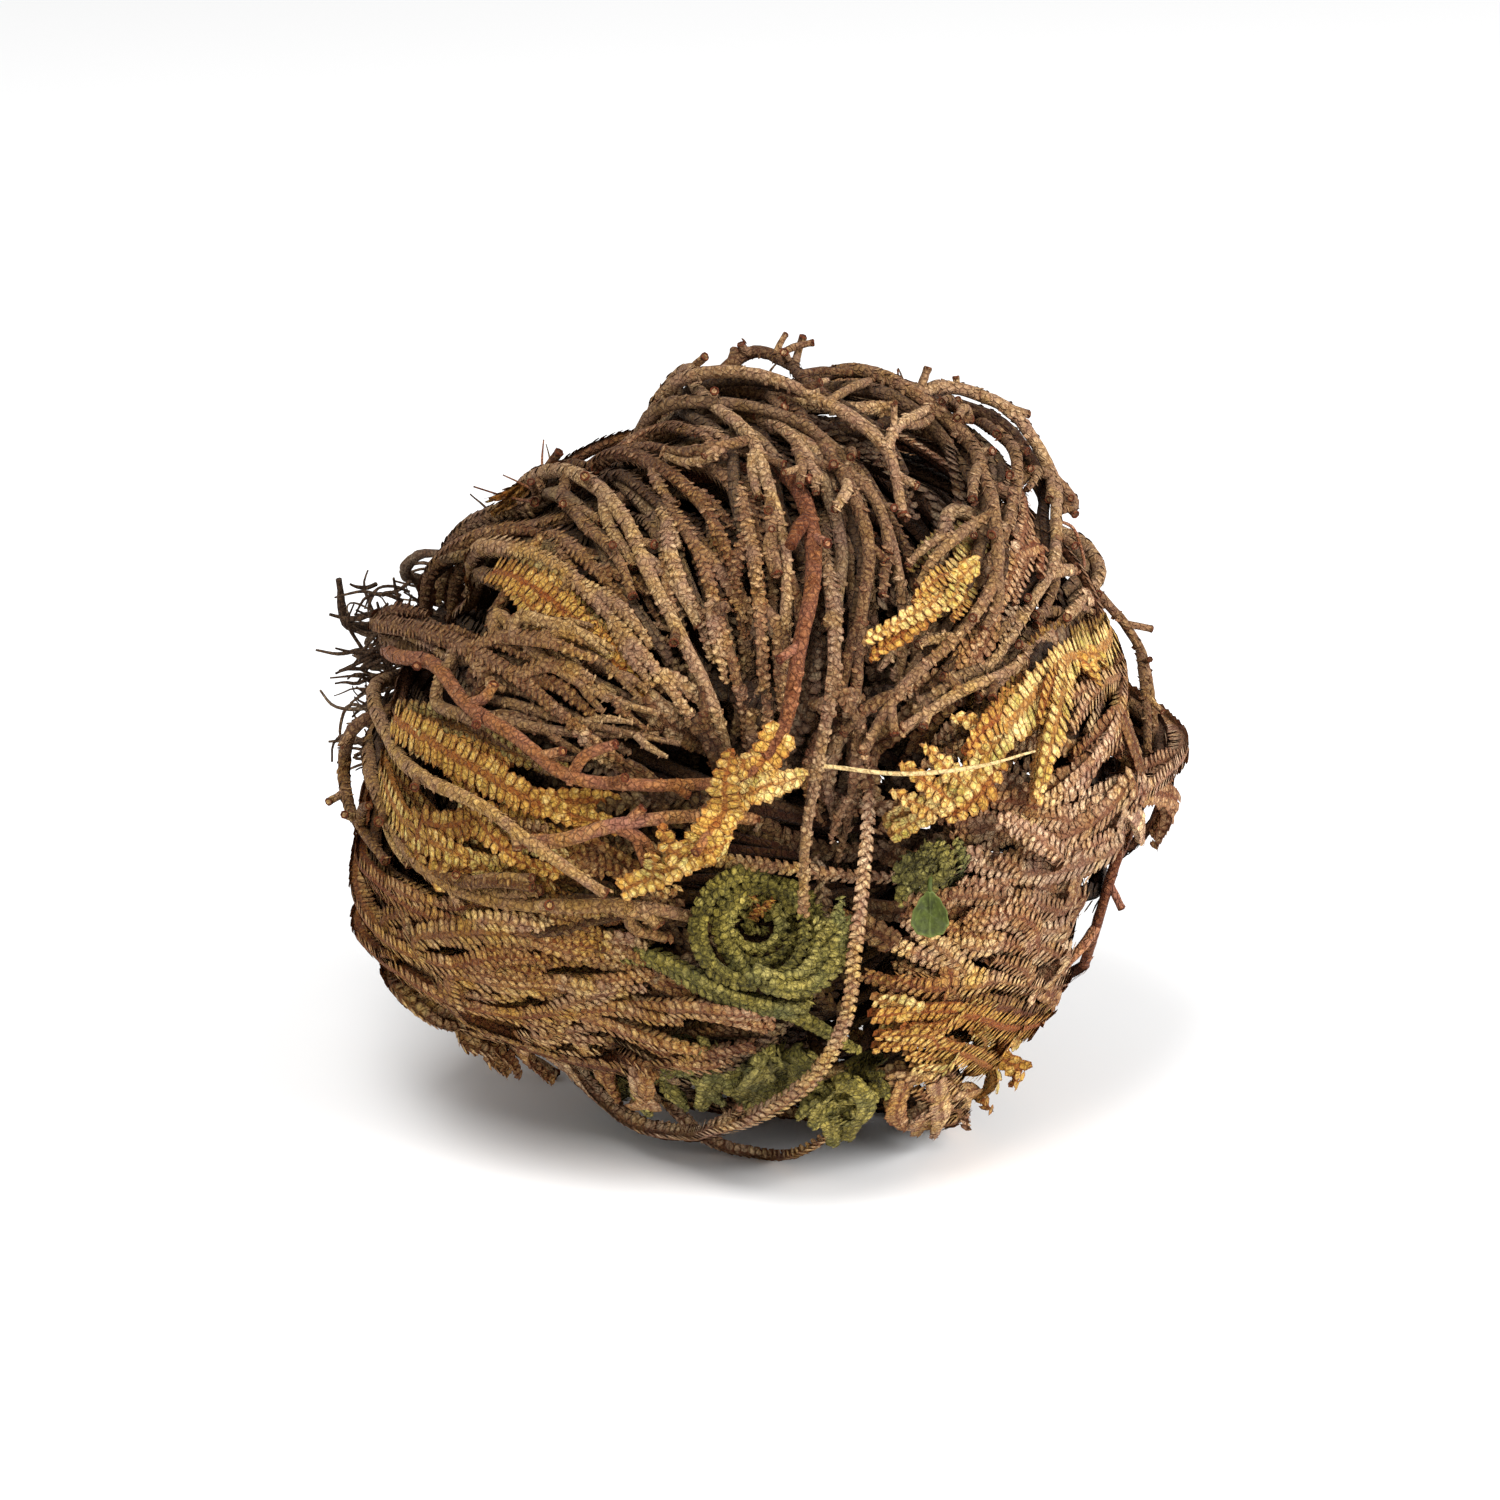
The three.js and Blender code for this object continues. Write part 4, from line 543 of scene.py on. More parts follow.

# Side branches that fill a patch of the face. Each row: look, width, count, lift, painted shade: the
# first and last place that they start from, and the first and last place that they end at
FANS = rows_by_frond("""
frond_right_wide
scaly 1.8 4 -1.8 0.15: 37 6, 39 -3, 19 1, 17 -8
scaly 1.7 2 -2.4 0.15: 36 9, 35 3, 26 4, 22 -2

frond_right_braid
scaly 1.9 4 -1.2 0.15: 40 -2, 37 -10, 24 -8, 18 -13

frond_right_lower
scaly 1.9 4 -1 0.15: 38 -7, 33 -17, 22 -11, 16 -16

frond_right_band
scaly 1.9 3 -1 0.15: 35 -14, 31 -21, 20 -14, 14 -19

frond_right_low_band
scaly 1.9 3 -1 0.15: 32 -20, 29 -26, 15 -19, 12 -24

frond_right_crossing
scaly 1.6 3 -2.6 0.15: 33 14, 34 5, 16 4, 12 -6
scaly 2.8 9 -6 0.8: 36 5, 34 -22, 20 3, 16 -20

frond_right_second
bark 1.4 5 -2.2 0.15: 23 31, 29 22, 12 8, 18 4

frond_lower_third
scaly 2 3 -1 0.15: -37 -12, -36 -21, -12 -19, -8 -24

frond_lower_broad
scaly 2.1 3 -0.8 0.15: -35 -20, -30 -27, -8 -23, -3 -29

frond_lower_long
scaly 1.7 4 -1.6 0.15: -36 -4, -35 -14, -12 -9, -8 -17
ribbon 2.2 3 0.7 0.15: -34 -7, -33 -13, -20 -8, -17 -14

frond_left_upper
bark 1.3 5 -1.2 0.15: -33 11, -33 3, -9 4, -6 -3
bark 1.3 3 1 0.15: -27 17, -26 13, -13 6, -12 3

frond_left_broad
bark 1.3 6 -1.6 0.15: -25 20, -28 13, -5 8, -7 1

frond_green_under
green 2.3 8 -1.4 0.15: -5 -29, 5 -29, -11 -34, 9 -36

frond_middle_tan
scaly 2.4 16 -9 0.8: -17 9, 29 10, -15 -11, 27 -13

frond_top_inner
scaly 2.4 12 -13 0.88: -22 10, -22 -13, 30 9, 30 -13

frond_bottom_curl
scaly 1.5 4 -5 0.15: -15 -28, -5 -29, -2 -34, 7 -33

frond_middle_scaly
scaly 1.4 4 -2 0.15: 5 6, 12 6, 3 -8, 13 -14
""")

# Curls. Each row: look, width, radius, start and sweep in degrees, lift: middle
ARCS = rows_by_frond("""
frond_green_coil
green 1.3 5.6 75 330 0.2: 0.4 -17.9
green 1.2 4 20 320 -0.9: 0.8 -17.6
green 1 2.6 200 330 -2: 0.7 -17.3
green 0.9 1.3 0 300 -3.2: 0.9 -17
green 1.5 4.9 -120 140 0.8: 4.4 -18.8
green 1.4 4.4 -130 150 0.4: 3.2 -18.4

frond_green_shoot
green 1.3 1.7 200 260 1.2: 18 -11.6
green 1.3 1.6 20 240 0.8: 16.4 -12.6

frond_green_fingers
green 1.4 2 120 -260 2.2: 9.6 -35.4
""")


# The face of the ball

def lerp(start, end, part):
    """The value that lies this part of the way from start to end."""
    return start + (end - start) * part


def eased(value, low, high):
    """0 below low, 1 above high, and a smooth rise between them."""
    part = np.clip((value - low) / (high - low), 0, 1)
    return part * part * (3 - 2 * part)


def unit(vectors):
    """The vectors, each made one long."""
    vectors = np.asarray(vectors, float)
    return vectors / np.maximum(np.linalg.norm(vectors, axis=-1, keepdims=True), 1e-9)


def outline_radius(angle):
    """Half the ball's width at this angle, in radians, round its outline."""
    angles, radii = np.array(OUTLINE, float).T
    turned = np.degrees(angle) % 360
    after = np.clip(np.searchsorted(angles, turned), 1, len(angles) - 1)
    part = (turned - angles[after - 1]) / (angles[after] - angles[after - 1])
    return lerp(radii[after - 1], radii[after], part * part * (3 - 2 * part))


def face_depth(across, up):
    """How far out the ball's face is here."""
    right, high = across - BALL_MIDDLE[0], up - BALL_MIDDLE[1]
    share = np.hypot(right, high) / outline_radius(np.arctan2(high, right))
    from_mouth = np.hypot(across - MOUTH_ACROSS, up - MOUTH_UP) / MOUTH_SPREAD
    hollow = MOUTH_DEPTH * np.exp(-from_mouth * from_mouth / 2)
    return BALL_HALF_DEPTH * np.sqrt(np.maximum(0, 1 - share * share)) - hollow


def on_face(point):
    """The measured point (across, up, lift) as (across, up, out)."""
    across, up, *lift = point
    return np.array([across, up, face_depth(across, up) + (lift[0] if lift else 0)])


def ball_radius(direction):
    """How far the ball reaches in a direction from its middle."""
    outline = outline_radius(np.arctan2(direction[1], direction[0]))
    sideways = math.hypot(direction[0], direction[1])
    return 1 / math.hypot(sideways / outline, direction[2] / BALL_HALF_DEPTH)


def stand(points):
    """From the measured face to the standing object: near points draw in, and the face leans."""
    across, up, out = np.atleast_2d(points).T
    nearness = 1 - out / EYE_DISTANCE
    up = up * nearness
    sine, cosine = math.sin(FACE_LEAN), math.cos(FACE_LEAN)
    return np.column_stack([
        across * nearness + BOX_SHIFT[0],
        up * sine - out * cosine + BOX_SHIFT[1],
        up * cosine + out * sine + MIDDLE_HEIGHT,
    ])


# The crown's own axes: toward the mouth, and over the top
TO_MOUTH = np.array([0, -0.08, 1.0])
TO_MOUTH = unit(TO_MOUTH - CROWN_DIRECTION * (TO_MOUTH @ CROWN_DIRECTION))
TO_TOP = np.cross(CROWN_DIRECTION, TO_MOUTH)


def around_crown(angle):
    """The direction at this angle round the crown's axis."""
    return TO_MOUTH * math.cos(angle) + TO_TOP * math.sin(angle)


def on_crown(angle, along, radius):
    """A point this far along the crown's axis and this far off it."""
    return around_crown(angle) * radius + CROWN_DIRECTION * along + BALL_MIDDLE


def away_from_crown(point):
    """The wrapped point (angle round, angle away, lift) as (across, up, out)."""
    around, away, *lift = point
    direction = around_crown(math.radians(around)) * math.sin(math.radians(away))
    direction = direction + CROWN_DIRECTION * math.cos(math.radians(away))
    return direction * (ball_radius(direction) + (lift[0] if lift else 0)) + BALL_MIDDLE


def route_points(frond, points):
    """The frond's points as (across, up, out)."""
    if frond.kind == "spine":
        return np.array(points, float)
    return np.array([away_from_crown(p) if frond.kind == "wrap" else on_face(p) for p in points])


def spread_out(angles):
    """The sorted angles, moved apart until each has its room."""
    spread = list(angles)
    for _ in range(200):
        for here in range(len(spread)):
            following = (here + 1) % len(spread)
            turn = 2 * math.pi if following == 0 else 0
            short = STEM_ROOM - (spread[following] + turn - spread[here])
            if short > 0:
                spread[here] -= short / 2
                spread[following] += short / 2
    return spread


def leaving_places(fronds):
    """Where each stem leaves the crown: (row, angle), sorted by the way the stem goes."""
    headings = []
    for frond in fronds:
        first = route_points(frond, frond.points)[0] - BALL_MIDDLE
        headings.append(math.atan2(first @ TO_TOP, first @ TO_MOUTH) % (2 * math.pi))
    order = sorted(range(len(fronds)), key=lambda index: headings[index])
    places = {}
    for row in range(len(STEM_ROWS)):
        members = order[row::len(STEM_ROWS)]
        for index, angle in zip(members, spread_out([headings[i] for i in members])):
            places[index] = (row, angle)
    return places


def turned(vector, axis, angle):
    """The vector turned about a unit axis."""
    return (vector * math.cos(angle) + np.cross(axis, vector) * math.sin(angle)
            + axis * (axis @ vector) * (1 - math.cos(angle)))


def hidden_stretch(place, target):
    """Out of the crown, then round the ball to the first point of the stem's route."""
    row, angle = place
    start = on_crown(angle, STEM_ROWS[row], CROWN_RADIUS + CLEARANCE + 0.05)
    leaving = on_crown(angle, STEM_ROWS[row], CROWN_RADIUS + 3.8)
    here, there = leaving - BALL_MIDDLE, target - BALL_MIDDLE
    reach, end_reach = np.linalg.norm(here), np.linalg.norm(there)
    sweep = math.acos(np.clip(here @ there / reach / end_reach, -1, 1))
    axis = unit(np.cross(here, there))
    stops = max(1, math.floor(sweep / math.radians(13)))
    share = HIDDEN_SHARE - HIDDEN_ROW_DROP * row
    points = [start, leaving]
    for stop in range(1, stops):
        part = stop / stops
        direction = turned(here / reach, axis, sweep * part)
        below = lerp(reach, ball_radius(direction) * share, eased(part, 0, 0.4))
        points.append(direction * lerp(below, end_reach, eased(part, 0.5, 1)) + BALL_MIDDLE)
    return points


def coil_points(coil):
    """A flat spiral that sinks into the ball as it closes."""
    steps_per_turn = 12
    steps = round(coil.turns * steps_per_turn)
    points = []
    for step in range(steps + 1):
        part = step / steps
        angle = math.radians(coil.start) + step / steps_per_turn * 2 * math.pi
        radius = coil.radius * (1 - 0.72 * part)
        out = face_depth(coil.across, coil.up) + coil.lift - coil.dive * part
        across = coil.across + radius * math.cos(angle)
        points.append((across, coil.up + radius * math.sin(angle), out))
    return points


# Strands: evenly spaced stations along each stem and twig

def curve_at(points, parts):
    """Points of a centripetal Catmull-Rom curve through the points, at parts from 0 to 1."""
    ghost = np.vstack([2 * points[0] - points[1], points, 2 * points[-1] - points[-2]])
    spans = len(points) - 1
    place = np.asarray(parts) * spans
    index = np.minimum(place.astype(int), spans - 1)
    weight = (place - index)[:, None]
    x0, x1, x2, x3 = (ghost[index + corner] for corner in range(4))
    d0, d1, d2 = (
        (np.sum((b - a) ** 2, axis=1) ** 0.25)[:, None] for a, b in ((x0, x1), (x1, x2), (x2, x3)))
    leave = ((x1 - x0) / d0 - (x2 - x0) / (d0 + d1) + (x2 - x1) / d1) * d1
    arrive = ((x2 - x1) / d1 - (x3 - x1) / (d1 + d2) + (x3 - x2) / d2) * d1
    square = 3 * (x2 - x1) - 2 * leave - arrive
    cube = 2 * (x1 - x2) + leave + arrive
    return x1 + weight * (leave + weight * (square + weight * cube))


def lengths_along(points):
    """How far along its line each point lies."""
    return np.concatenate([[0], np.cumsum(np.linalg.norm(np.diff(points, axis=0), axis=1))])


def evenly(points, step):
    """The curve through the points, cut into equal steps close to this long."""
    points = np.asarray(points, float)
    parts = np.linspace(0, 1, 201)
    lengths = lengths_along(curve_at(points, parts))
    count = max(2, math.floor(lengths[-1] / step + 0.5))
    marks = np.linspace(0, lengths[-1], count + 1)
    return curve_at(points, np.interp(marks, lengths, parts))


class Strand:
    """One stem or twig of a frond, as a row of stations."""

    def __init__(self, node, stations, width, look, pinned=False, parent=None, fork=0):
        self.node = node
        self.stations = stations
        self.width = width
        self.look = look
        self.pinned = pinned
        self.parent = parent
        self.fork = fork
        self.seen_from = 0.0


def twig_strand(frond, node, main, points, step=TWIG_STEP, slimness=0.8):
    """A twig that springs from the nearest station of the frond's main stem."""
    stations = evenly(stand(points), step)
    nearest = np.argmin(np.linalg.norm(main.stations - stations[0], axis=1))
    fork = int(np.clip(nearest, 1, len(main.stations) - 2))
    stations[0] = main.stations[fork]
    return Strand(node, stations, frond.width * slimness, frond.look, parent=main, fork=fork)


def frond_strands(frond, node, place):
    """The main stem, its twigs and its coil."""
    seen = route_points(frond, frond.points)
    hidden = hidden_stretch(place, seen[0]) if place else []
    points = stand(np.vstack([hidden, seen]) if place else seen)
    main = Strand(node, evenly(points, STATION_STEP), frond.width, frond.look, pinned=bool(place))
    hidden_part = len(hidden) / (len(points) - 1) if place else 0
    fine = curve_at(points, np.linspace(0, 1, 401))
    main.seen_from = lengths_along(fine)[int(hidden_part * 400)]
    strands = [main]
    for twig in frond.twigs:
        strands.append(twig_strand(frond, node, main, route_points(frond, twig)))
    if frond.coil:
        strands.append(twig_strand(frond, node, main, coil_points(frond.coil), 2.6, 0.85))
    return strands


# Settling: stems that touch are pushed apart until each lies clear of the others

def nearest_on_segments(a0, a1, b0, b1):
    """How far along each pair of segments their nearest points lie, and the way between them."""
    along_a, along_b, between = a1 - a0, b1 - b0, a0 - b0

    def dot(one, other):
        return np.sum(one * other, axis=1)

    aa, bb, ab = dot(along_a, along_a), dot(along_b, along_b), dot(along_a, along_b)
    ad, bd = dot(along_a, between), dot(along_b, between)
    spread = aa * bb - ab * ab
    free = np.clip((ab * bd - bb * ad) / np.maximum(spread, 1e-9), 0, 1)
    s = np.where(spread > 1e-9, free, 0.5)
    t = np.clip((ab * s + bd) / bb, 0, 1)
    s = np.clip((ab * t - ad) / aa, 0, 1)
    return s[:, None], t[:, None], between + along_a * s[:, None] - along_b * t[:, None]


def settle(strands):
    """Moves the stations of all strands until the stems lie clear of each other."""
    sizes = [len(strand.stations) for strand in strands]
    starts = np.concatenate([[0], np.cumsum(sizes)[:-1]])
    stations = np.vstack([strand.stations for strand in strands])
    owner = np.repeat(np.arange(len(strands)), sizes)
    place = np.concatenate([np.arange(size) for size in sizes])
    radius = np.array([strand.width / 2 for strand in strands])[owner]
    node = np.array([strand.node for strand in strands])[owner]
    pinned = np.array([strand.pinned for strand in strands])[owner] & (place == 0)
    last = np.array(sizes)[owner] - 1
    index = np.arange(len(stations))
    before = np.where(place > 0, index - 1, index)
    after = np.where(place < last, index + 1, index)
    firsts = index[place < last]
    twigs = [k for k, strand in enumerate(strands) if strand.parent]
    forks = [starts[strands.index(strands[k].parent)] + strands[k].fork for k in twigs]
    axis_start, axis_end = stand([on_crown(0, CROWN_INNER_END, 0), on_crown(0, CROWN_OUTER_END, 0)])
    centre = stand(BALL_MIDDLE)[0]
    for step in range(SETTLE_ROUNDS):
        if step % PAIR_ROUNDS == 0:
            one, other = close_pairs(stations, firsts, node)
        moves = np.zeros_like(stations)
        push_apart(stations, moves, one, other, radius, centre)
        keep_off_crown(stations, moves, axis_start, axis_end - axis_start, radius, place > 0)
        smooth = moves * 0.6 + moves[before] * 0.2 + moves[after] * 0.2
        smooth[pinned] = 0
        stations += smooth
        stations[:, 2] = np.maximum(stations[:, 2], radius * FLOOR_BITE)
        stations[starts[twigs]] = stations[forks]
    for strand, start, size in zip(strands, starts, sizes):
        strand.stations = stations[start:start + size]


def close_pairs(stations, firsts, node):
    """Segments of different nodes whose middles lie near each other."""
    middles = (stations[firsts] + stations[firsts + 1]) / 2
    apart = np.zeros((len(middles), len(middles)))
    for axis in range(3):
        apart += (middles[:, None, axis] - middles[None, :, axis]) ** 2
    near = (apart < PAIR_REACH ** 2) & (node[firsts][:, None] != node[firsts][None, :])
    one, other = np.nonzero(np.triu(near, 1))
    return firsts[one], firsts[other]


def push_apart(stations, moves, one, other, radius, centre):
    """Adds to the moves what parts each pair of segments that lie too close."""
    s, t, apart = nearest_on_segments(
        stations[one], stations[one + 1], stations[other], stations[other + 1])
    distance = np.linalg.norm(apart, axis=1)[:, None]
    need = (radius[one] + radius[other])[:, None] + CLEARANCE
    barely = 0.15
    way = np.where(distance < barely, -unit(stations[one] - centre), apart / np.maximum(distance, 1e-6))
    push = way * np.maximum(need - distance, 0) * 0.55
    np.add.at(moves, one, push * (1 - s))
    np.add.at(moves, one + 1, push * s)
    np.add.at(moves, other, -push * (1 - t))
    np.add.at(moves, other + 1, -push * t)


def keep_off_crown(stations, moves, start, axis, radius, free):
    """Adds to the moves what keeps the stems out of the root crown."""
    along = np.clip((stations - start) @ axis / (axis @ axis), 0, 1)[:, None]
    apart = stations - start - axis * along
    distance = np.linalg.norm(apart, axis=1)
    short = np.where(free, np.maximum(CROWN_RADIUS + radius + CLEARANCE - distance, 0), 0)
    moves += apart / np.maximum(distance, 1e-9)[:, None] * short[:, None]


CROWN_FRONDS = (TOP_FRONDS + LEFT_FRONDS + LOWER_LEFT_FRONDS + GREEN_FRONDS + BOTTOM_FRONDS
                + RIGHT_FRONDS + FAR_FRONDS + HANGING_FRONDS)
ALL_FRONDS = CROWN_FRONDS + ROOT_TWIGS + [STRAW]


@lru_cache(maxsize=1)
def settled_strands():
    """The strands of every frond, settled: {frond name: [main stem, twigs...]}."""
    places = leaving_places(CROWN_FRONDS)
    groups = [frond_strands(frond, node, places.get(node)) for node, frond in enumerate(ALL_FRONDS)]
    settle([strand for group in groups for strand in group])
    return {frond.name: group for frond, group in zip(ALL_FRONDS, groups)}


# Fine lines along the stems

Line = namedtuple("Line", "points out side lengths")
# A rail's deep is its painted shade: how much darker the stem is drawn where shade falls on it
Rail = namedtuple("Rail", "points out radius thickness age hue deep warm")
BALL_CENTRE = stand(BALL_MIDDLE)[0]

# Where the plant is yellower than its bark brown: (across, up, reach, warmth)
WARM_SPOTS = [
    (-34, -4, 8, 0.9), (-26, -8, 8, 0.9), (-33, -16, 9, 0.75), (-16, -12, 8, 0.65),
    (-22, -22, 10, 0.5), (-4, -9, 7, 0.9), (-16, 16, 9, 0.45), (-24, 14, 8, 0.5),
    (-4, 22, 8, 0.3), (-8, -30, 8, 0.55), (10, -22, 6, 0.75), (19, -28, 10, 0.9),
    (24, 4, 9, 0.6), (20, -14, 6, 0.1), (36, 7, 5, 0.5), (9, -33, 6, 0.7), (-14, 4, 6, 0.35),
    (0, -17, 7, 0.8), (-16, -22, 9, 0.5), (-30, -24, 8, 0.5), (-4, 8, 7, 0.25), (6, -38, 5, 0.4),
]


def seen(points):
    """How far across and up the points show in the photograph's view."""
    right, back, high = (points - [*BOX_SHIFT, MIDDLE_HEIGHT]).T
    sine, cosine = math.sin(FACE_LEAN), math.cos(FACE_LEAN)
    nearness = 1 - (high * sine - back * cosine) / EYE_DISTANCE
    return right / nearness, (back * sine + high * cosine) / nearness


def warmth(points):
    """How yellow the plant is at these points, from 0 to 1."""
    across, up = seen(points)
    cool = np.ones(len(points))
    for spot_across, spot_up, reach, warm in WARM_SPOTS:
        away = np.hypot(across - spot_across, up - spot_up) / reach
        cool *= 1 - warm * np.exp(-away * away)
    return 1 - cool


def fine_line(points, step=0.9):
    """A smooth line through the points, with the ways out of the ball and to the side."""
    points = evenly(points, step)
    tangents = unit(np.gradient(points, axis=0))
    outward = unit(points - BALL_CENTRE)
    out = np.empty_like(points)
    carried = outward[0]
    for index, (tangent, radial) in enumerate(zip(tangents, outward)):
        kept = unit(carried - tangent * (carried @ tangent))
        facing = radial - tangent * (radial @ tangent) + kept * 0.6
        carried = out[index] = unit(facing - tangent * (facing @ tangent))
    return Line(points, out, np.cross(out, tangents), lengths_along(points))


def at(line, marks):
    """The points, ways out and ways to the side of a line at these lengths along it."""
    columns = [
        np.column_stack([np.interp(marks, line.lengths, values[:, axis]) for axis in range(3)])
        for values in (line.points, line.out, line.side)
    ]
    return columns[0], unit(columns[1]), unit(columns[2])


def wander(marks, draw, size, stretch):
    """A slow random wave along the marks."""
    waves = [draw.uniform(0, 2 * math.pi) for _ in range(3)]
    total = sum(np.sin(marks / stretch * (1 + 0.7 * turn) + wave) for turn, wave in enumerate(waves))
    return total * size / 2


def beside(line, start, end, shift, drop, draw, spread=6.0, step=1.1, drift=0.0):
    """A line that leaves this one and runs beside and below it, drifting across it."""
    marks = np.linspace(start, end, max(4, int((end - start) / step)))
    points, out, side = at(line, marks)
    opening = 1 - np.exp(-(marks - start) / spread)
    across = (shift + wander(marks, draw, 0.7, 8.0)) * opening + drift * (marks - start) / (end - start)
    down = (drop + wander(marks, draw, 0.5, 7.0)) * opening
    points = points + side * across[:, None] - out * down[:, None]
    tangents = unit(np.gradient(points, axis=0))
    out = unit(out - tangents * np.sum(out * tangents, axis=1)[:, None])
    return Line(points, out, np.cross(out, tangents), lengths_along(points))


def cut_out(line, start, end, step=0.9):
    """The stretch of a line between two lengths along it."""
    marks = np.linspace(start, end, max(4, int((end - start) / step)))
    points, out, side = at(line, marks)
    return Line(points, out, side, lengths_along(points))


def shrunk(line, share, sway, draw):
    """The same line nearer the middle of the ball, a little to one side."""
    points = BALL_CENTRE + (line.points - BALL_CENTRE) * share
    points = points + line.side * (sway + wander(line.lengths, draw, 1.2, 12.0))[:, None]
    return Line(points, line.out, line.side, lengths_along(points))


def rail_of(line, width, look, hue, deep, tip=None):
    """A line made ready for its core and scales; deep is its painted shade."""
    part = line.lengths / line.lengths[-1]
    slim = lerp(1, LOOKS[look].tip if tip is None else tip, eased(part, 0.45, 1))
    radius = width / 2 * slim
    points = line.points.copy()
    points[:, 2] = np.maximum(points[:, 2], radius * FLOOR_BITE)
    return Rail(points, line.out, radius, LOOKS[look].thickness, part, hue, deep, warmth(points))


# Meshes

def new_object(name, data):
    """An object in the scene."""
    made = bpy.data.objects.new(name, data)
    bpy.context.scene.collection.objects.link(made)
    return made


def new_mesh(name, points, faces=(), edges=()):
    """A mesh of these points."""
    mesh = bpy.data.meshes.new(name)
    mesh.from_pydata(points, edges, faces)
    return mesh


def give_values(mesh, **values):
    """Gives each point of the mesh the value of that name."""
    for name, numbers in values.items():
        mesh.attributes.new(name, "FLOAT", "POINT").data.foreach_set("value", numbers)


def tube_faces(start, rings, sides):
    """The faces of a closed tube of rings of points that are numbered from start."""
    last = start + (rings - 1) * sides
    faces = []
    for ring in range(start, last, sides):
        for turn in range(sides):
            here, there = ring + turn, ring + (turn + 1) % sides
            faces.append((here, there, there + sides, here + sides))
    return faces + [tuple(range(start, start + sides))[::-1], tuple(range(last, last + sides))]


def rail_mesh(name, rails):
    """An object of bare edges along the rails, with what the stems need at each point."""
    edges, start = [], 0
    for rail in rails:
        count = len(rail.points)
        edges += [(start + k, start + k + 1) for k in range(count - 1)]
        start += count
    mesh = new_mesh(name, np.vstack([rail.points for rail in rails]) * MM, edges=edges)
    vectors = mesh.attributes.new("stem_out", "FLOAT_VECTOR", "POINT")
    vectors.data.foreach_set("vector", np.vstack([rail.out for rail in rails]).ravel())

    def along(key):
        """The value of this name at each point of all rails."""
        return np.concatenate([np.broadcast_to(getattr(rail, key), len(rail.points)) for rail in rails])

    give_values(mesh, stem_radius=along("radius") * MM, stem_thickness=along("thickness"),
                stem_hue=along("hue"), stem_deep=along("deep"), stem_warm=along("warm"))
    return new_object(name, mesh)


# Geometry nodes

class Graph:
    """Adds nodes to a node tree and joins their sockets."""

    def __init__(self, tree):
        self.tree = tree

    def add(self, kind, inputs=None, **settings):
        """A new node with these settings: an input is a value, or a socket to join."""
        node = self.tree.nodes.new(kind)
        for key, value in settings.items():
            setattr(node, key, value)
        for key, value in (inputs or {}).items():
            if isinstance(value, bpy.types.NodeSocket):
                self.tree.links.new(value, node.inputs[key])
            else:
                node.inputs[key].default_value = value
        return node

    def math(self, operation, first, second=0.0):
        """The value of a sum on one or two numbers."""
        return self.add("ShaderNodeMath", {0: first, 1: second}, operation=operation).outputs[0]

    def times(self, first, second):
        """One number times another."""
        return self.math("MULTIPLY", first, second)

    def plus(self, first, second):
        """The sum of two numbers."""
        return self.math("ADD", first, second)

    def vector(self, operation, first, second=None, scale=None):
        """The result of a sum on vectors."""
        inputs = {0: first}
        if second is not None:
            inputs[1] = second
        if scale is not None:
            inputs["Scale"] = scale
        node = self.add("ShaderNodeVectorMath", inputs, operation=operation)
        return node.outputs["Value" if operation == "DOT_PRODUCT" else "Vector"]

    def named(self, name, kind="FLOAT"):
        """The value of an attribute of the stems."""
        node = self.add("GeometryNodeInputNamedAttribute", {"Name": name}, data_type=kind)
        return node.outputs["Attribute"]

    def store(self, geometry, name, value, kind="FLOAT", domain="POINT"):
        """The geometry with a value stored under this name."""
        inputs = {"Geometry": geometry, "Name": name, "Value": value}
        node = self.add("GeometryNodeStoreNamedAttribute", inputs, data_type=kind, domain=domain)
        return node.outputs[0]

    def random(self, low, high, seed):
        """A random number for each point."""
        node = self.add("FunctionNodeRandomValue", data_type="FLOAT")
        node.inputs[2].default_value = low
        node.inputs[3].default_value = high
        self.tree.links.new(seed, node.inputs["Seed"])
        return node.outputs[1]


# The node tree's inputs: the rails have to come first, and last what each look sets as numbers
TREE_INPUTS = {
    "Rails": "Geometry", "Scale leaf": "Object", "Rows": "Int", "Seed": "Int", "Material": "Material",
}
SCALE_KEYS = (
    "Scale pitch", "Scale length", "Scale width", "Scale lift", "Splay", "Tilt", "Looseness",
    "First row angle", "Row step", "Worn share", "Core sides", "Core step", "Core roughness",
    "Core rim",
)


def scaly_stem_tree():
    """Node tree: cores swept along the rails, and rows of scale leaves on them."""
    tree = bpy.data.node_groups.get("Scaly stems")
    if tree:
        return tree
    tree = bpy.data.node_groups.new("Scaly stems", "GeometryNodeTree")
    for name in (*TREE_INPUTS, *SCALE_KEYS):
        kind = TREE_INPUTS.get(name, "Int" if name == "Core sides" else "Float")
        tree.interface.new_socket(name, in_out="INPUT", socket_type="NodeSocket" + kind)
    tree.interface.new_socket("Stems", in_out="OUTPUT", socket_type="NodeSocketGeometry")
    graph = Graph(tree)
    given = graph.add("NodeGroupInput").outputs
    curve = graph.add("GeometryNodeMeshToCurve", {"Mesh": given["Rails"]}).outputs["Curve"]
    cores = stem_cores(graph, given, curve)
    scales = scale_rows(graph, given, curve)
    joined = graph.add("GeometryNodeJoinGeometry")
    tree.links.new(scales, joined.inputs["Geometry"])
    tree.links.new(cores, joined.inputs["Geometry"])
    realized = graph.add("GeometryNodeRealizeInstances", {"Geometry": joined.outputs[0]})
    painted = graph.add(
        "GeometryNodeSetMaterial", {"Geometry": realized.outputs[0], "Material": given["Material"]})
    graph.add("NodeGroupOutput", {"Stems": painted.outputs[0]})
    return tree


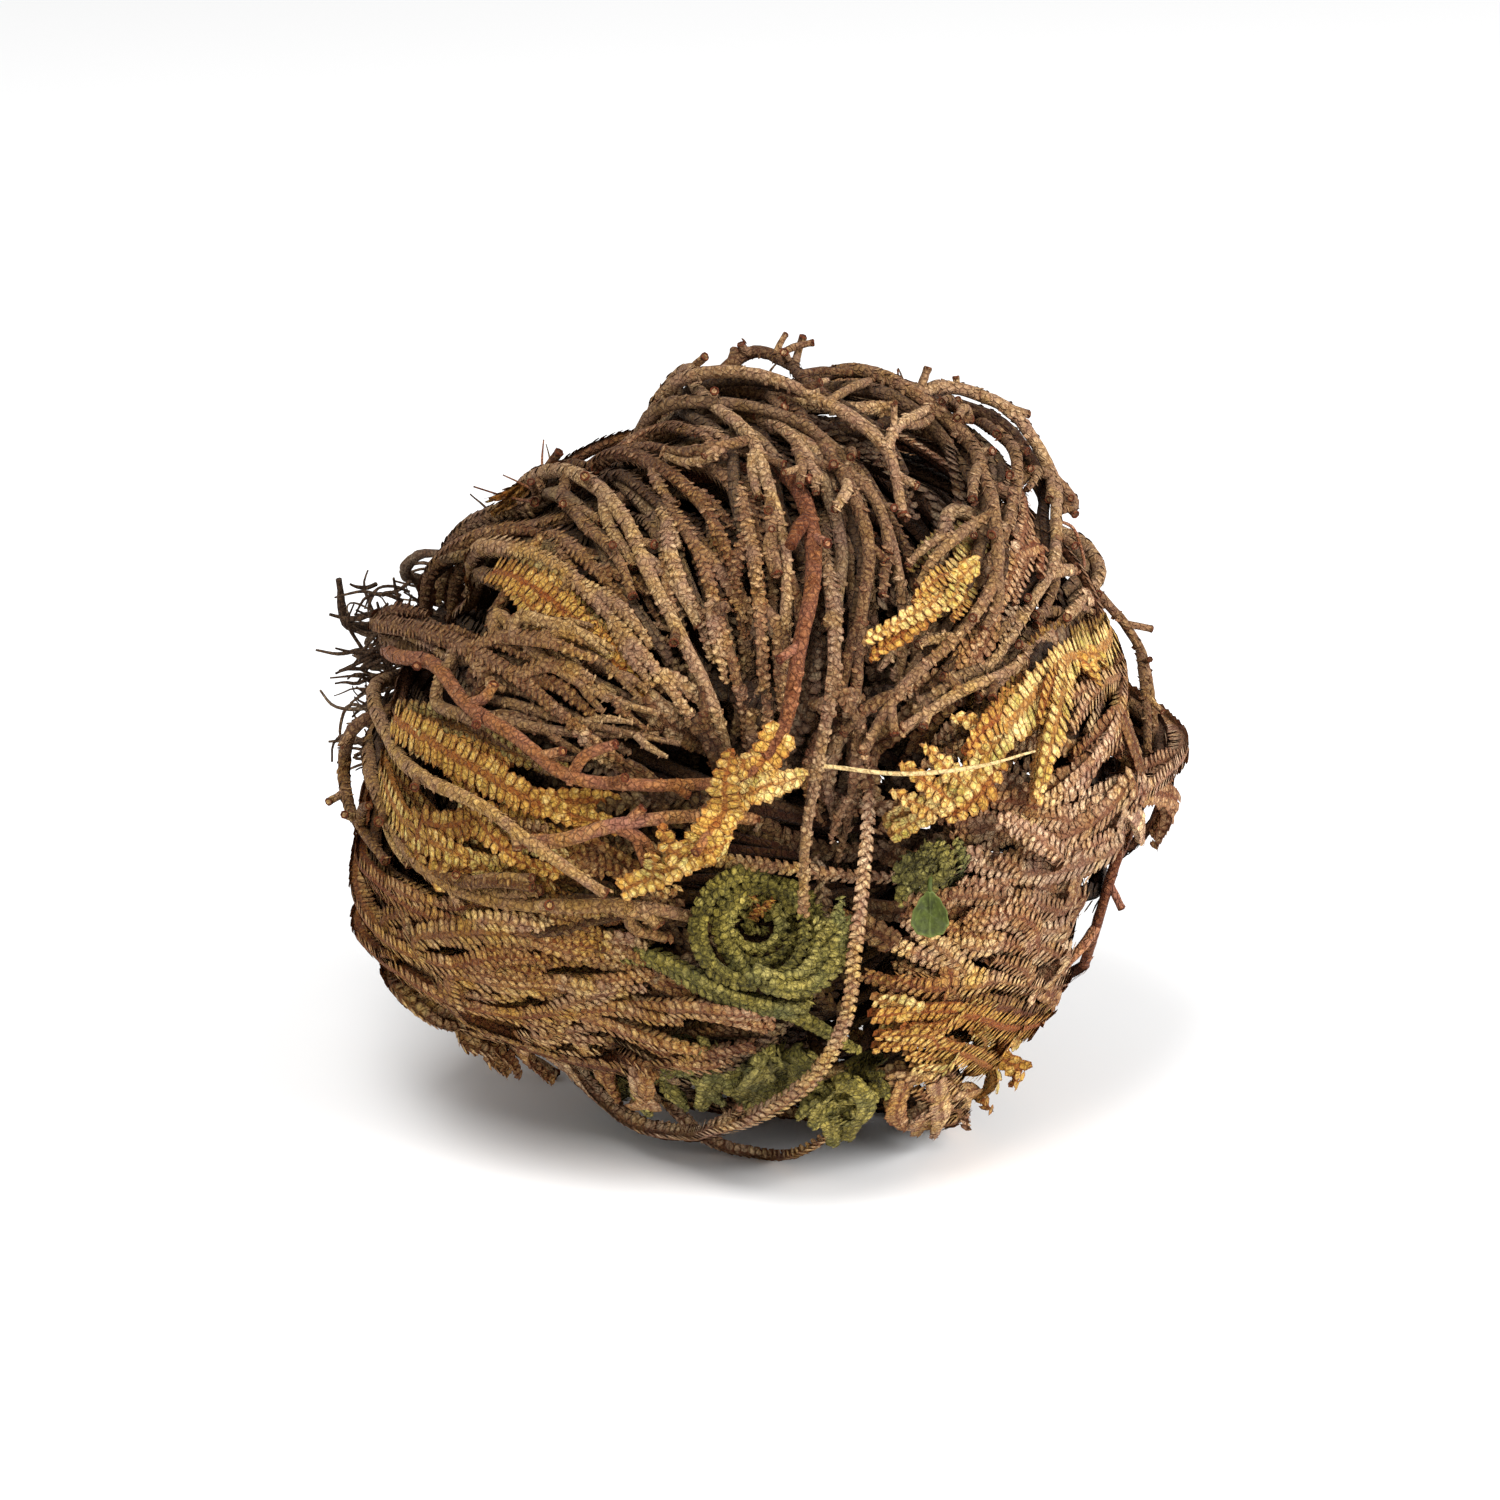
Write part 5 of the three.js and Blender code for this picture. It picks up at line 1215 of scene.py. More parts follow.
def stem_cores(graph, given, curve):
    """Tubes along the curves, flattened by their thickness and roughened."""
    even = graph.add(
        "GeometryNodeResampleCurve", {"Curve": curve, "Length": given["Core step"]}, mode="LENGTH")
    position = graph.add("GeometryNodeInputPosition").outputs[0]
    kept = graph.store(even.outputs[0], "stem_middle", position, "FLOAT_VECTOR")
    ring = graph.add("GeometryNodeCurvePrimitiveCircle", {"Resolution": given["Core sides"], "Radius": 1.0})
    tube = graph.add("GeometryNodeCurveToMesh", {
        "Curve": graph.store(kept, "scale_rim", given["Core rim"]), "Profile Curve": ring.outputs[0],
        "Scale": graph.named("stem_radius"), "Fill Caps": True})
    off = graph.vector("SUBTRACT", position, graph.named("stem_middle", "FLOAT_VECTOR"))
    out = graph.vector("NORMALIZE", graph.named("stem_out", "FLOAT_VECTOR"))
    height = graph.vector("DOT_PRODUCT", off, out)
    thinner = graph.math("SUBTRACT", graph.named("stem_thickness"), 1.0)
    flatten = graph.vector("SCALE", out, scale=graph.times(height, thinner))
    bumps = graph.add(
        "ShaderNodeTexNoise", {"Vector": position, "Scale": 900.0, "Detail": 4.0}).outputs[0]
    swell = graph.times(graph.math("SUBTRACT", bumps, 0.5), given["Core roughness"])
    move = graph.vector("ADD", flatten, graph.vector("SCALE", off, scale=swell))
    shaped = graph.add("GeometryNodeSetPosition", {"Geometry": tube.outputs[0], "Offset": move})
    return graph.add("GeometryNodeSetShadeSmooth", {"Geometry": shaped.outputs[0]}).outputs[0]


def scale_rows(graph, given, curve):
    """Scale leaves in rows round the stems, each row shifted by half a pitch from the last."""
    stops = graph.add(
        "GeometryNodeCurveToPoints", {"Curve": curve, "Length": given["Scale pitch"]}, mode="LENGTH")
    copies = graph.add(
        "GeometryNodeDuplicateElements",
        {"Geometry": stops.outputs["Points"], "Amount": given["Rows"]}, domain="POINT")
    row = copies.outputs["Duplicate Index"]
    odd = graph.math("MODULO", row, 2.0)
    hand = graph.math("SUBTRACT", 1.0, graph.times(odd, 2.0))
    level = graph.math("FLOOR", graph.times(row, 0.5))
    angle = graph.times(hand, graph.plus(given["First row angle"], graph.times(level, given["Row step"])))
    out = graph.vector("NORMALIZE", graph.named("stem_out", "FLOAT_VECTOR"))
    tangent = stops.outputs["Tangent"]
    spots = row_spots(graph, given, copies.outputs["Geometry"], odd, angle, out, tangent)
    chance = graph.random(0.0, 1.0, graph.plus(given["Seed"], 7.0))
    worn = graph.math("LESS_THAN", chance, given["Worn share"])
    left = graph.add("GeometryNodeDeleteGeometry", {"Geometry": spots, "Selection": worn}, domain="POINT")
    growth = graph.random(0.85, 1.15, graph.plus(given["Seed"], 3.0))
    grown = graph.times(graph.named("stem_radius"), growth)
    size = graph.add("ShaderNodeCombineXYZ", {
        "X": graph.times(grown, given["Scale lift"]),
        "Y": graph.times(given["Scale pitch"], given["Scale width"]),
        "Z": graph.times(grown, given["Scale length"]),
    }).outputs[0]
    leaf = graph.add("GeometryNodeObjectInfo", {"Object": given["Scale leaf"], "As Instance": True})
    placed = graph.add("GeometryNodeInstanceOnPoints", {
        "Points": left.outputs[0], "Instance": leaf.outputs["Geometry"],
        "Rotation": scale_pose(graph, given, angle, hand, out, tangent), "Scale": size,
    })
    tone = graph.random(0.05, 1.0, graph.plus(given["Seed"], 4.0))
    return graph.store(placed.outputs[0], "scale_tone", tone, domain="INSTANCE")


def row_spots(graph, given, copies, odd, angle, out, tangent):
    """The copied points moved out to their rows on the stem's skin."""
    radius, thickness = graph.named("stem_radius"), graph.named("stem_thickness")
    side = graph.vector("CROSS_PRODUCT", out, tangent)
    sunk = graph.times(radius, 0.84)
    high = graph.times(graph.times(graph.math("COSINE", angle), thickness), sunk)
    wide = graph.times(graph.math("SINE", angle), sunk)
    half_pitch = graph.times(graph.times(odd, -0.5), given["Scale pitch"])
    jitter = graph.times(graph.random(-0.12, 0.12, given["Seed"]), given["Scale pitch"])
    ahead = graph.vector("SCALE", tangent, scale=graph.plus(half_pitch, jitter))
    around = graph.vector(
        "ADD", graph.vector("SCALE", out, scale=high), graph.vector("SCALE", side, scale=wide))
    offset = graph.vector("ADD", around, ahead)
    return graph.add("GeometryNodeSetPosition", {"Geometry": copies, "Offset": offset}).outputs[0]


def scale_pose(graph, given, angle, hand, out, tangent):
    """How each scale is turned: tip forward, back to the stem, splayed away from its middle line."""
    side = graph.vector("CROSS_PRODUCT", out, tangent)
    high = graph.math("DIVIDE", graph.math("COSINE", angle), graph.named("stem_thickness"))
    facing = graph.vector("NORMALIZE", graph.vector(
        "ADD", graph.vector("SCALE", out, scale=high),
        graph.vector("SCALE", side, scale=graph.math("SINE", angle))))
    upright = graph.add(
        "FunctionNodeAxesToRotation", {"Primary Axis": tangent, "Secondary Axis": facing},
        primary_axis="Z", secondary_axis="X")
    swing = graph.times(given["Splay"], hand)
    turn = graph.random(-0.14, 0.14, graph.plus(given["Seed"], 1.0))
    rise = graph.random(-0.08, 0.1, graph.plus(given["Seed"], 2.0))
    bend = graph.add("ShaderNodeCombineXYZ", {
        "X": graph.plus(swing, graph.times(turn, given["Looseness"])),
        "Y": graph.plus(given["Tilt"], graph.times(rise, given["Looseness"])),
    }).outputs[0]
    pose = graph.add("FunctionNodeRotateRotation", {
        "Rotation": upright.outputs[0],
        "Rotate By": graph.add("FunctionNodeEulerToRotation", {"Euler": bend}).outputs[0],
    }, rotation_space="LOCAL")
    return pose.outputs[0]


# The scales and core of each look, as numbers in the order of SCALE_KEYS, and the rows of scales
SCALE_SETS = {
    "bark": (0.0013, 1.0, 0.85, 0.3, 0.3, 0.0, 0.7, 0.42, 1.4, 0.6, 10, 0.0007, 0.62, 0.0),
    "smooth": (0.0015, 1.0, 0.7, 0.22, 0.2, 0.0, 1.0, 0.42, 1.4, 0.85, 10, 0.0007, 0.4, 0.0),
    "scaly": (0.00088, 1.6, 1.5, 0.3, 0.7, 0.03, 1.0, 0.38, 1.4, 0.0, 8, 0.0009, 0.2, 0.9),
    "rough": (0.0009, 1.15, 0.95, 0.3, 0.45, 0.02, 0.55, 0.42, 1.4, 0.2, 9, 0.0008, 0.5, 0.2),
    "ribbon": (0.001, 1.5, 1.35, 0.3, 0.95, 0.03, 1.0, 0.2, 2.2, 0.0, 8, 0.0009, 0.2, 0.95),
    "green": (0.00084, 1.5, 1.4, 0.34, 0.6, 0.03, 1.0, 0.42, 1.4, 0.0, 8, 0.0009, 0.2, 0.4),
    "root": (0.01, 1.15, 1.3, 0.34, 0.6, 0.08, 1.0, 0.42, 1.4, 1.0, 6, 0.0006, 0.7, 0.0),
    "straw": (0.01, 1.15, 1.3, 0.34, 0.6, 0.08, 1.0, 0.42, 1.4, 1.0, 8, 0.0006, 0.12, 0.0),
}
SCALE_ROWS = 4
# Simpler scales for what lies deeper: only the rows that face out, and none far inside
DEPTH_SETS = {
    "own": {},
    "stub": {"Scale pitch": 0.01, "Worn share": 1.0, "Core sides": 7, "Core step": 0.0006},
    "under": {"Rows": 2, "Core sides": 7, "Core step": 0.0016},
    "deep": {"Rows": 2, "Core sides": 5, "Core step": 0.003, "Scale pitch": 0.0012},
    "inner": {"Rows": 1, "Scale pitch": 0.01, "Worn share": 1.0, "Core sides": 6,
              "Core step": 0.0025, "Core roughness": 0.6},
}


def swept(name, rails, look, seed, depth="own"):
    """A plain mesh object of stems along the rails."""
    source = rail_mesh(name, rails)
    modifier = source.modifiers.new("Stems", "NODES")
    tree = modifier.node_group = scaly_stem_tree()
    values = dict(zip(SCALE_KEYS, SCALE_SETS[look]), Rows=SCALE_ROWS, Seed=seed)
    values.update({"Scale leaf": scale_leaf(), "Material": stem_material(look), **DEPTH_SETS[depth]})
    for socket in tree.interface.items_tree:
        if socket.in_out == "INPUT" and socket.name in values:
            modifier[socket.identifier] = values[socket.name]
    shown = source.evaluated_get(bpy.context.evaluated_depsgraph_get())
    mesh = bpy.data.meshes.new_from_object(shown)
    source.modifiers.clear()
    source.data = mesh
    mesh.name = name
    return source


def merged(name, objects):
    """The objects joined into the first of them."""
    first = objects[0]
    if len(objects) > 1:
        with bpy.context.temp_override(
                active_object=first, object=first, selected_objects=objects,
                selected_editable_objects=objects):
            bpy.ops.object.join()
    first.name = first.data.name = name
    return first


@lru_cache(maxsize=1)
def scale_leaf():
    """One scale, kept out of the scene: a flat shingle, one unit long and wide, with a blunt tip."""
    points = [
        (0.0, 0.0, -0.08), (0.34, -0.5, 0.42), (0.84, -0.26, 0.94), (0.92, 0.2, 1.0),
        (0.34, 0.5, 0.42), (0.66, 0.0, 0.5),
    ]
    keel = 5
    faces = [(turn, (turn + 1) % keel, keel) for turn in range(keel)] + [(4, 3, 2, 1, 0)]
    mesh = new_mesh("scale_leaf", points, [face[::-1] for face in faces])
    give_values(mesh, scale_rim=[1, 1, 1, 1, 1, 0])
    return bpy.data.objects.new("scale_leaf", mesh)


# Hollow cut ends

# A profile round the end of a stem: (along and out in stem radii, redness, painted shade in the hollow)
CUT_PROFILE = [
    (-1.2, 0.9, 0, 0), (-0.5, 1.06, 0.3, 0), (0.1, 1.1, 1, 0), (0.22, 0.86, 1, 0.1),
    (0.0, 0.62, 1, 0.6), (-0.6, 0.5, 0.6, 1),
]
CUT_SIDES = 7


class CutEnds:
    """Collects the hollow ends of broken stems for one mesh."""

    def __init__(self, draw):
        self.draw = draw
        self.points, self.faces, self.rim, self.deep = [], [], [], []

    def add(self, rail):
        """A hollow end where this rail stops."""
        way = unit(rail.points[-1] - rail.points[-2])
        across = unit(np.cross(way, rail.out[-1]))
        up = np.cross(across, way)
        radius = rail.radius[-1]
        start = len(self.points)
        for along, out, rim, deep in CUT_PROFILE:
            for turn in range(CUT_SIDES):
                angle = turn / CUT_SIDES * 2 * math.pi
                ragged = self.draw.uniform(-0.18, 0.18) * rim
                around = across * math.cos(angle) + up * math.sin(angle)
                self.points.append(rail.points[-1] + (way * (along + ragged) + around * out) * radius)
                self.rim.append(rim)
                # The hollow's painted shade, or the stem's own if darker
                self.deep.append(max(deep, rail.deep))
        self.faces += tube_faces(start, len(CUT_PROFILE), CUT_SIDES)

    def mesh_object(self, name, look):
        """The ends as one object."""
        points = np.array(self.points)
        mesh = new_mesh(name, points * MM, self.faces)
        give_values(mesh, scale_rim=self.rim, stem_deep=self.deep, stem_warm=warmth(points))
        mesh.materials.append(stem_material(look))
        return new_object(name, mesh)


# The pieces

# Stems deeper in the ball, as shares of its radius: {share: painted shade}
DEEP_SHARES = {0.9: 0.76, 0.8: 0.88}
# Stems far inside the ball, as shares of its radius: {share: painted shade}
INNER_SHARES = {0.8: 0.86, 0.76: 0.86, 0.66: 0.93, 0.62: 0.93, 0.5: 0.93}
INNER_WIDTH = 1.9
ARC_STEPS = 12
# Stems that show alone, without finer stems beside them
LONE_STEMS = {
    "frond_bottom_loop", "frond_bottom_second_loop", "frond_red_brown", "frond_left_smooth",
    "stub_smooth_long", "frond_right_rim", "twig_red_brown", "frond_into_mouth",
    "frond_left_rim", "frond_green_coil", "frond_hanging", "frond_top_arch", "frond_green_shoot",
    "frond_middle_scaly",
}
# Fronds whose pressed scales read as rough bark
ROUGH_FRONDS = {
    "frond_top_left", "frond_left_forked", "frond_left_broad", "frond_left_upper", "frond_middle_tan",
    "frond_middle_scaly", "frond_left_high", "frond_top_inner",
}
# Stems in the mouth with painted shade: how much darker they are drawn than the rest
SHADED_STEMS = {"frond_middle_scaly": 0.3, "frond_bottom_loop": 0.2, "frond_top_inner": 0.15}
ROUND_LOOKS = ("bark", "smooth")


class Dressing:
    """Collects the rails of one frond by look and depth."""

    def __init__(self, frond, settings):
        self.frond = frond
        self.number = ALL_FRONDS.index(frond)
        self.seed = settings.seed
        self.stem_width = settings.stem_width
        self.draw = np.random.default_rng(settings.seed + self.number)
        self.rails = defaultdict(list)
        self.ends = CutEnds(self.draw)

    def add(self, depth, line, width, look, deep=0.0, tip=None, cut=False):
        """Takes in one stem; deep is its painted shade."""
        rail = rail_of(line, width * self.stem_width, look, self.draw.uniform(0, 1), deep, tip)
        rough = look == "scaly" and self.frond.name in ROUGH_FRONDS
        self.rails["rough" if rough else look, depth].append(rail)
        if cut:
            self.ends.add(rail)

    def piece(self):
        """All the rails swept, as one object in place of the frond's solid."""
        parts = []
        seed = 20 * self.number + self.seed
        for step, ((look, depth), rails) in enumerate(self.rails.items()):
            name = "_".join((self.frond.name, look, depth))
            parts.append(swept(name, rails, look, seed + step, depth))
        if self.ends.points:
            parts.append(self.ends.mesh_object(self.frond.name + "_ends", self.frond.look))
        return finished(merged("dressed_" + self.frond.name, parts), self.frond.name)


def dressed_frond(frond, settings):
    """The frond's own stems, with finer stems beside and below them."""
    dressing = Dressing(frond, settings)
    strands = settled_strands()[frond.name]
    for strand in strands:
        line = fine_line(strand.stations)
        add_own(dressing, line, strand)
        if strand.look in ROUND_LOOKS:
            add_stubs(dressing, line, strand)
        if frond.name not in LONE_STEMS:
            add_beside(dressing, line, strand)
        if not strand.parent:
            add_deep(dressing, line, strand)
    if dressing.number < len(CROWN_FRONDS):
        add_inner(dressing)
    for detail in DETAILS.get(frond.name, []):
        add_detail(dressing, strands, *detail)
    for fan in FANS.get(frond.name, []):
        add_fan(dressing, strands, *fan)
    for arc in ARCS.get(frond.name, []):
        add_arc(dressing, *arc)
    return dressing.piece()


def add_own(dressing, line, strand):
    """The stem itself. Its hidden stretch is plain, and past its leafy mark it wears a ribbon."""
    look, width, end = strand.look, strand.width, line.lengths[-1]
    leafy = LEAFY_FROM.get(dressing.frond.name)
    if leafy and strand.parent:
        leafy_twig = strand.fork * STATION_STEP > strand.parent.seen_from + leafy
        dressing.add("own", line, width * (1.25 if leafy_twig else 1), "ribbon" if leafy_twig else look)
        return
    if leafy:
        leaf = cut_out(line, strand.seen_from + leafy, end)
        dressing.add("own", leaf, width * 1.3, "ribbon", tip=0.7)
        dressing.add("own", cut_out(line, 0, strand.seen_from + leafy + 3), width, look)
    elif look in ("ribbon", "green") and strand.seen_from > 1:
        # The hidden stretch below, with painted shade
        dressing.add("under", cut_out(line, 0, strand.seen_from + 2), width * 0.7, "scaly", 0.3)
        dressing.add("own", cut_out(line, strand.seen_from, end), width, look)
    else:
        slim = 0.88 if look in ROUND_LOOKS else 1.0
        shade = SHADED_STEMS.get(dressing.frond.name, 0.0)
        dressing.add("own", line, width * slim, look, shade, cut=look in ROUND_LOOKS)
    lift = dressing.frond.points[-1][2:] or (0,)
    if not strand.parent and dressing.frond.kind == "route" and lift[0] <= -1:
        add_inward(dressing, line, strand)


def add_inward(dressing, line, strand):
    """The stem's last stretch, bent into the ball behind the mouth."""
    end, out = line.points[-1], line.out[-1]
    way = unit(line.points[-1] - line.points[-3])
    sway = line.side[-1] * dressing.draw.uniform(-2.5, 2.5)
    points = [end, end + way * 3 - out * 1.2, end + way * 5.4 - out * 4.4 + sway,
              end + way * 6 - out * 9 + sway * 2]
    # Drawn with painted shade, as it bends into the ball
    dressing.add("under", fine_line(points), strand.width * 0.85, "scaly", 0.55, tip=0.7)


def add_beside(dressing, line, strand):
    """Stems that run beside and close below the stem, and short branches folded along it."""
    draw, total = dressing.draw, line.lengths[-1]
    round_stem = strand.look in ROUND_LOOKS
    look = strand.look if strand.look in ("ribbon", "green", "bark") else "scaly"
    if not strand.parent:
        for sign in (-1, 1):
            shift, drop = sign * draw.uniform(1.2, 1.9), draw.uniform(1.2, 2.0)
            start, end = draw.uniform(0, 0.15) * total, total * draw.uniform(0.86, 0.99)
            if look in ("ribbon", "green"):
                start = strand.seen_from
            below = beside(line, start, end, shift, drop, draw, drift=draw.uniform(-2.6, 2.6))
            # The stems below get painted shade
            dressing.add("under", below, strand.width * 0.9, look, draw.uniform(0.3, 0.75))
    mark = strand.seen_from + draw.uniform(2, 6)
    sign = draw.choice([-1, 1])
    while mark < total - 4:
        length = min(draw.uniform(5, 12), total - mark + 1)
        shift, drop = sign * draw.uniform(1.0, 2.2), draw.uniform(-0.2, 0.9)
        branch = beside(line, mark, min(mark + length, total), shift, drop, draw, spread=2.6, step=0.8)
        # The folded branches get slight painted shade
        if round_stem:
            dressing.add("own", branch, strand.width * 0.7, "bark", 0.1, tip=0.8, cut=True)
        else:
            dressing.add("own", branch, strand.width * 0.74, look, 0.1, tip=0.5)
        mark += draw.uniform(11, 19) if round_stem else draw.uniform(5, 9)
        sign = -sign


def add_stubs(dressing, line, strand):
    """Short broken side shoots with hollow ends."""
    draw, total = dressing.draw, line.lengths[-1]
    mark = strand.seen_from + draw.uniform(2, 7)
    while mark < total - 3:
        points, out, side = at(line, [mark, mark + 1])
        angle = draw.uniform(-1.5, 1.5)
        aside = unit(out[0] * math.cos(angle) + side[0] * math.sin(angle))
        way = unit(unit(points[1] - points[0]) * 1.1 + aside)
        length = draw.uniform(1.0, 2.4)
        stub = fine_line([points[0], points[0] + way * (0.5 * strand.width + 0.4 * length),
                          points[0] + way * (0.5 * strand.width + length)], 0.5)
        dressing.add("stub", stub, strand.width * 0.56, strand.look, tip=0.95, cut=True)
        mark += draw.uniform(6, 14)


def add_deep(dressing, line, strand):
    """Stems deeper in the ball, along the same course, drawn darker with painted shade."""
    draw = dressing.draw
    for share, dark in DEEP_SHARES.items():
        inner = shrunk(line, share * draw.uniform(0.98, 1.02), draw.uniform(-3.5, 3.5), draw)
        total = inner.lengths[-1]
        cut = beside(inner, total * 0.12, total * draw.uniform(0.85, 1), 0, 0, draw, step=2.0)
        dressing.add("deep", cut, strand.width, "scaly", dark)


def add_inner(dressing):
    """Stems far inside, from the crown round to the other side, that close the ball, drawn darker with
    painted shade.
    """
    draw = dressing.draw
    _, angle = leaving_places(CROWN_FRONDS)[dressing.number]
    for share, dark in INNER_SHARES.items():
        points = []
        around = angle + draw.uniform(-0.14, 0.14)
        sway = draw.uniform(-0.2, 0.2)
        end = draw.uniform(120, 168)
        for away in np.arange(24, end, 9):
            part = math.radians(away)
            turn = around + sway * math.sin(part * 2)
            direction = around_crown(turn) * math.sin(part) + CROWN_DIRECTION * math.cos(part)
            points.append(direction * ball_radius(direction) * share + BALL_MIDDLE)
        line = fine_line(stand(points), 2.2)
        dressing.add("inner", line, INNER_WIDTH, "scaly", dark)


def rooted(strands, spot):
    """The point of the frond's stems that lies nearest to this one."""
    carriers = np.vstack([evenly(strand.stations, 1.0) for strand in strands])
    return carriers[np.argmin(np.linalg.norm(carriers - spot, axis=1))]


def add_detail(dressing, strands, look, width, tip, points):
    """A small shoot from the table, rooted on the nearest point of the frond's stems."""
    spots = stand([on_face(point) for point in points])
    spots = spots + (rooted(strands, spots[0]) - spots[0]) * np.linspace(1, 0.25, len(spots))[:, None]
    depth = "stub" if look in ROUND_LOOKS and width < 1.2 else "own"
    dressing.add(depth, fine_line(spots, 0.6), width, look, tip=tip, cut=look in ROUND_LOOKS)


def add_fan(dressing, strands, look, width, count, lift, deep, corners):
    """Side branches spread between two starts and two ends on the face, rooted on the frond."""
    draw = dressing.draw
    corners = np.array(corners)
    for index in range(int(count)):
        part = (index + draw.uniform(0.1, 0.9)) / count
        start, end = lerp(corners[0], corners[1], part), lerp(corners[2], corners[3], part)
        early, late = draw.uniform(0, 0.3), draw.uniform(0.65, 1.05)
        start, end = lerp(start, end, early), lerp(start, end, late) + draw.uniform(-2.4, 2.4, 2)
        bow = draw.uniform(-0.2, 0.2) * np.array([start[1] - end[1], end[0] - start[0]])
        depths = lift + draw.uniform(-1.6, 1.0) + draw.uniform(-1.2, 1.0) * np.linspace(-1, 1, 5)
        spots = stand([
            on_face((*(lerp(start, end, step) + bow * math.sin(step * math.pi)), depth))
            for step, depth in zip(np.linspace(0, 1, 5), depths)])
        line = fine_line(np.vstack([rooted(strands, spots[0]), spots]), 0.8)
        shoot_width = width * draw.uniform(0.8, 1.15)
        # Painted shade, a little different for each shoot
        shade = deep + draw.uniform(-0.1, 0.2)
        dressing.add("own" if deep < 0.5 else "deep", line, shoot_width, look, shade, tip=0.45)
        if deep < 0.5 and look != "green":
            add_barbs(dressing, line, shoot_width, look)


def add_barbs(dressing, line, width, look):
    """Short side branches on both hands of a shoot."""
    draw, total = dressing.draw, line.lengths[-1]
    mark, sign = draw.uniform(0.25, 0.45) * total, draw.choice([-1, 1])
    while mark < total - 3:
        end = min(mark + draw.uniform(3, 6), total + 0.5)
        barb = beside(line, mark, min(end, total), sign * draw.uniform(0.9, 1.7),
                      draw.uniform(-0.3, 0.5), draw, spread=1.8, step=0.8)
        # Barbs get a little painted shade
        dressing.add("own", barb, width * 0.72, look, draw.uniform(0, 0.3), tip=0.5)
        mark += draw.uniform(4, 8)
        sign = -sign


def add_arc(dressing, look, width, radius, start, sweep, lift, places):
    """A curl drawn on the face."""
    across, up = places[0]
    turns = np.radians(start + np.linspace(0, sweep, ARC_STEPS))
    radii = radius * np.linspace(1.05, 0.9, ARC_STEPS)
    spots = [(across + r * math.cos(t), up + r * math.sin(t), lift) for r, t in zip(radii, turns)]
    dressing.add("own", fine_line(stand([on_face(spot) for spot in spots]), 0.6), width, look, tip=0.5)


def finished(piece, node):
    """The piece rests on the floor and takes the place of its solid."""
    mesh = piece.data
    spots = np.empty(len(mesh.vertices) * 3)
    mesh.vertices.foreach_get("co", spots)
    spots[2::3] = np.maximum(spots[2::3], FLOOR_GAP * MM)
    mesh.vertices.foreach_set("co", spots)
    mesh.update()
    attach(piece, "root")
    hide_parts(node)
    return piece

# Materials

def colour(code):
    """A colour written as six hexadecimal digits, made linear."""
    parts = [int(code[index:index + 2], 16) / 255 for index in (0, 2, 4)]
    return [p / 12.92 if p <= 0.04045 else ((p + 0.055) / 1.055) ** 2.4 for p in parts] + [1.0]


# Three tones of the bark-brown plant and three of its yellow places, then a tint in patches
Palette = namedtuple("Palette", "cool warm tint rim roughness cells")
PALETTES = {
    "bark": Palette(("3e2410", "92704a", "d8b68a"), ("563614", "a27c42", "dcb66e"), "8f6c5a",
                    "6a2c14", 0.8, 1500.0),
    "rough": Palette(("462a14", "987450", "dcba90"), ("64401a", "ae843e", "e2be6c"), "8d6a5a",
                     "6a2c14", 0.85, 1500.0),
    "smooth": Palette(("54280f", "98623e", "cc9870"), ("6c3c14", "ac7438", "d6a460"), "86554a",
                      "5e2410", 0.65, 1500.0),
    "scaly": Palette(("5a361a", "b48a60", "f0cea4"), ("75461a", "c49440", "f0ca74"), "9c7664",
                     "682a12", 0.85, 1500.0),
    "ribbon": Palette(("8a5218", "d0a04a", "f6da8c"), ("94601c", "daa84c", "f8de90"), "8e8c34",
                      "7c2c16", 0.8, 1500.0),
    "green": Palette(("2a240a", "6a6230", "b0a464"), ("3c320c", "968436", "dcc468"), "4a5230",
                     "38300f", 0.8, 1500.0),
    "root": Palette(("2e1e12", "6c543e", "a08a70"), ("2e1e12", "6c543e", "a08a70"), "5c4030",
                    "3a2010", 0.95, 2400.0),
    "straw": Palette(("b08f5c", "dcc08a", "ecdcb0"), ("b08f5c", "dcc08a", "ecdcb0"), "cfae74",
                     "b08f5c", 0.6, 900.0),
}


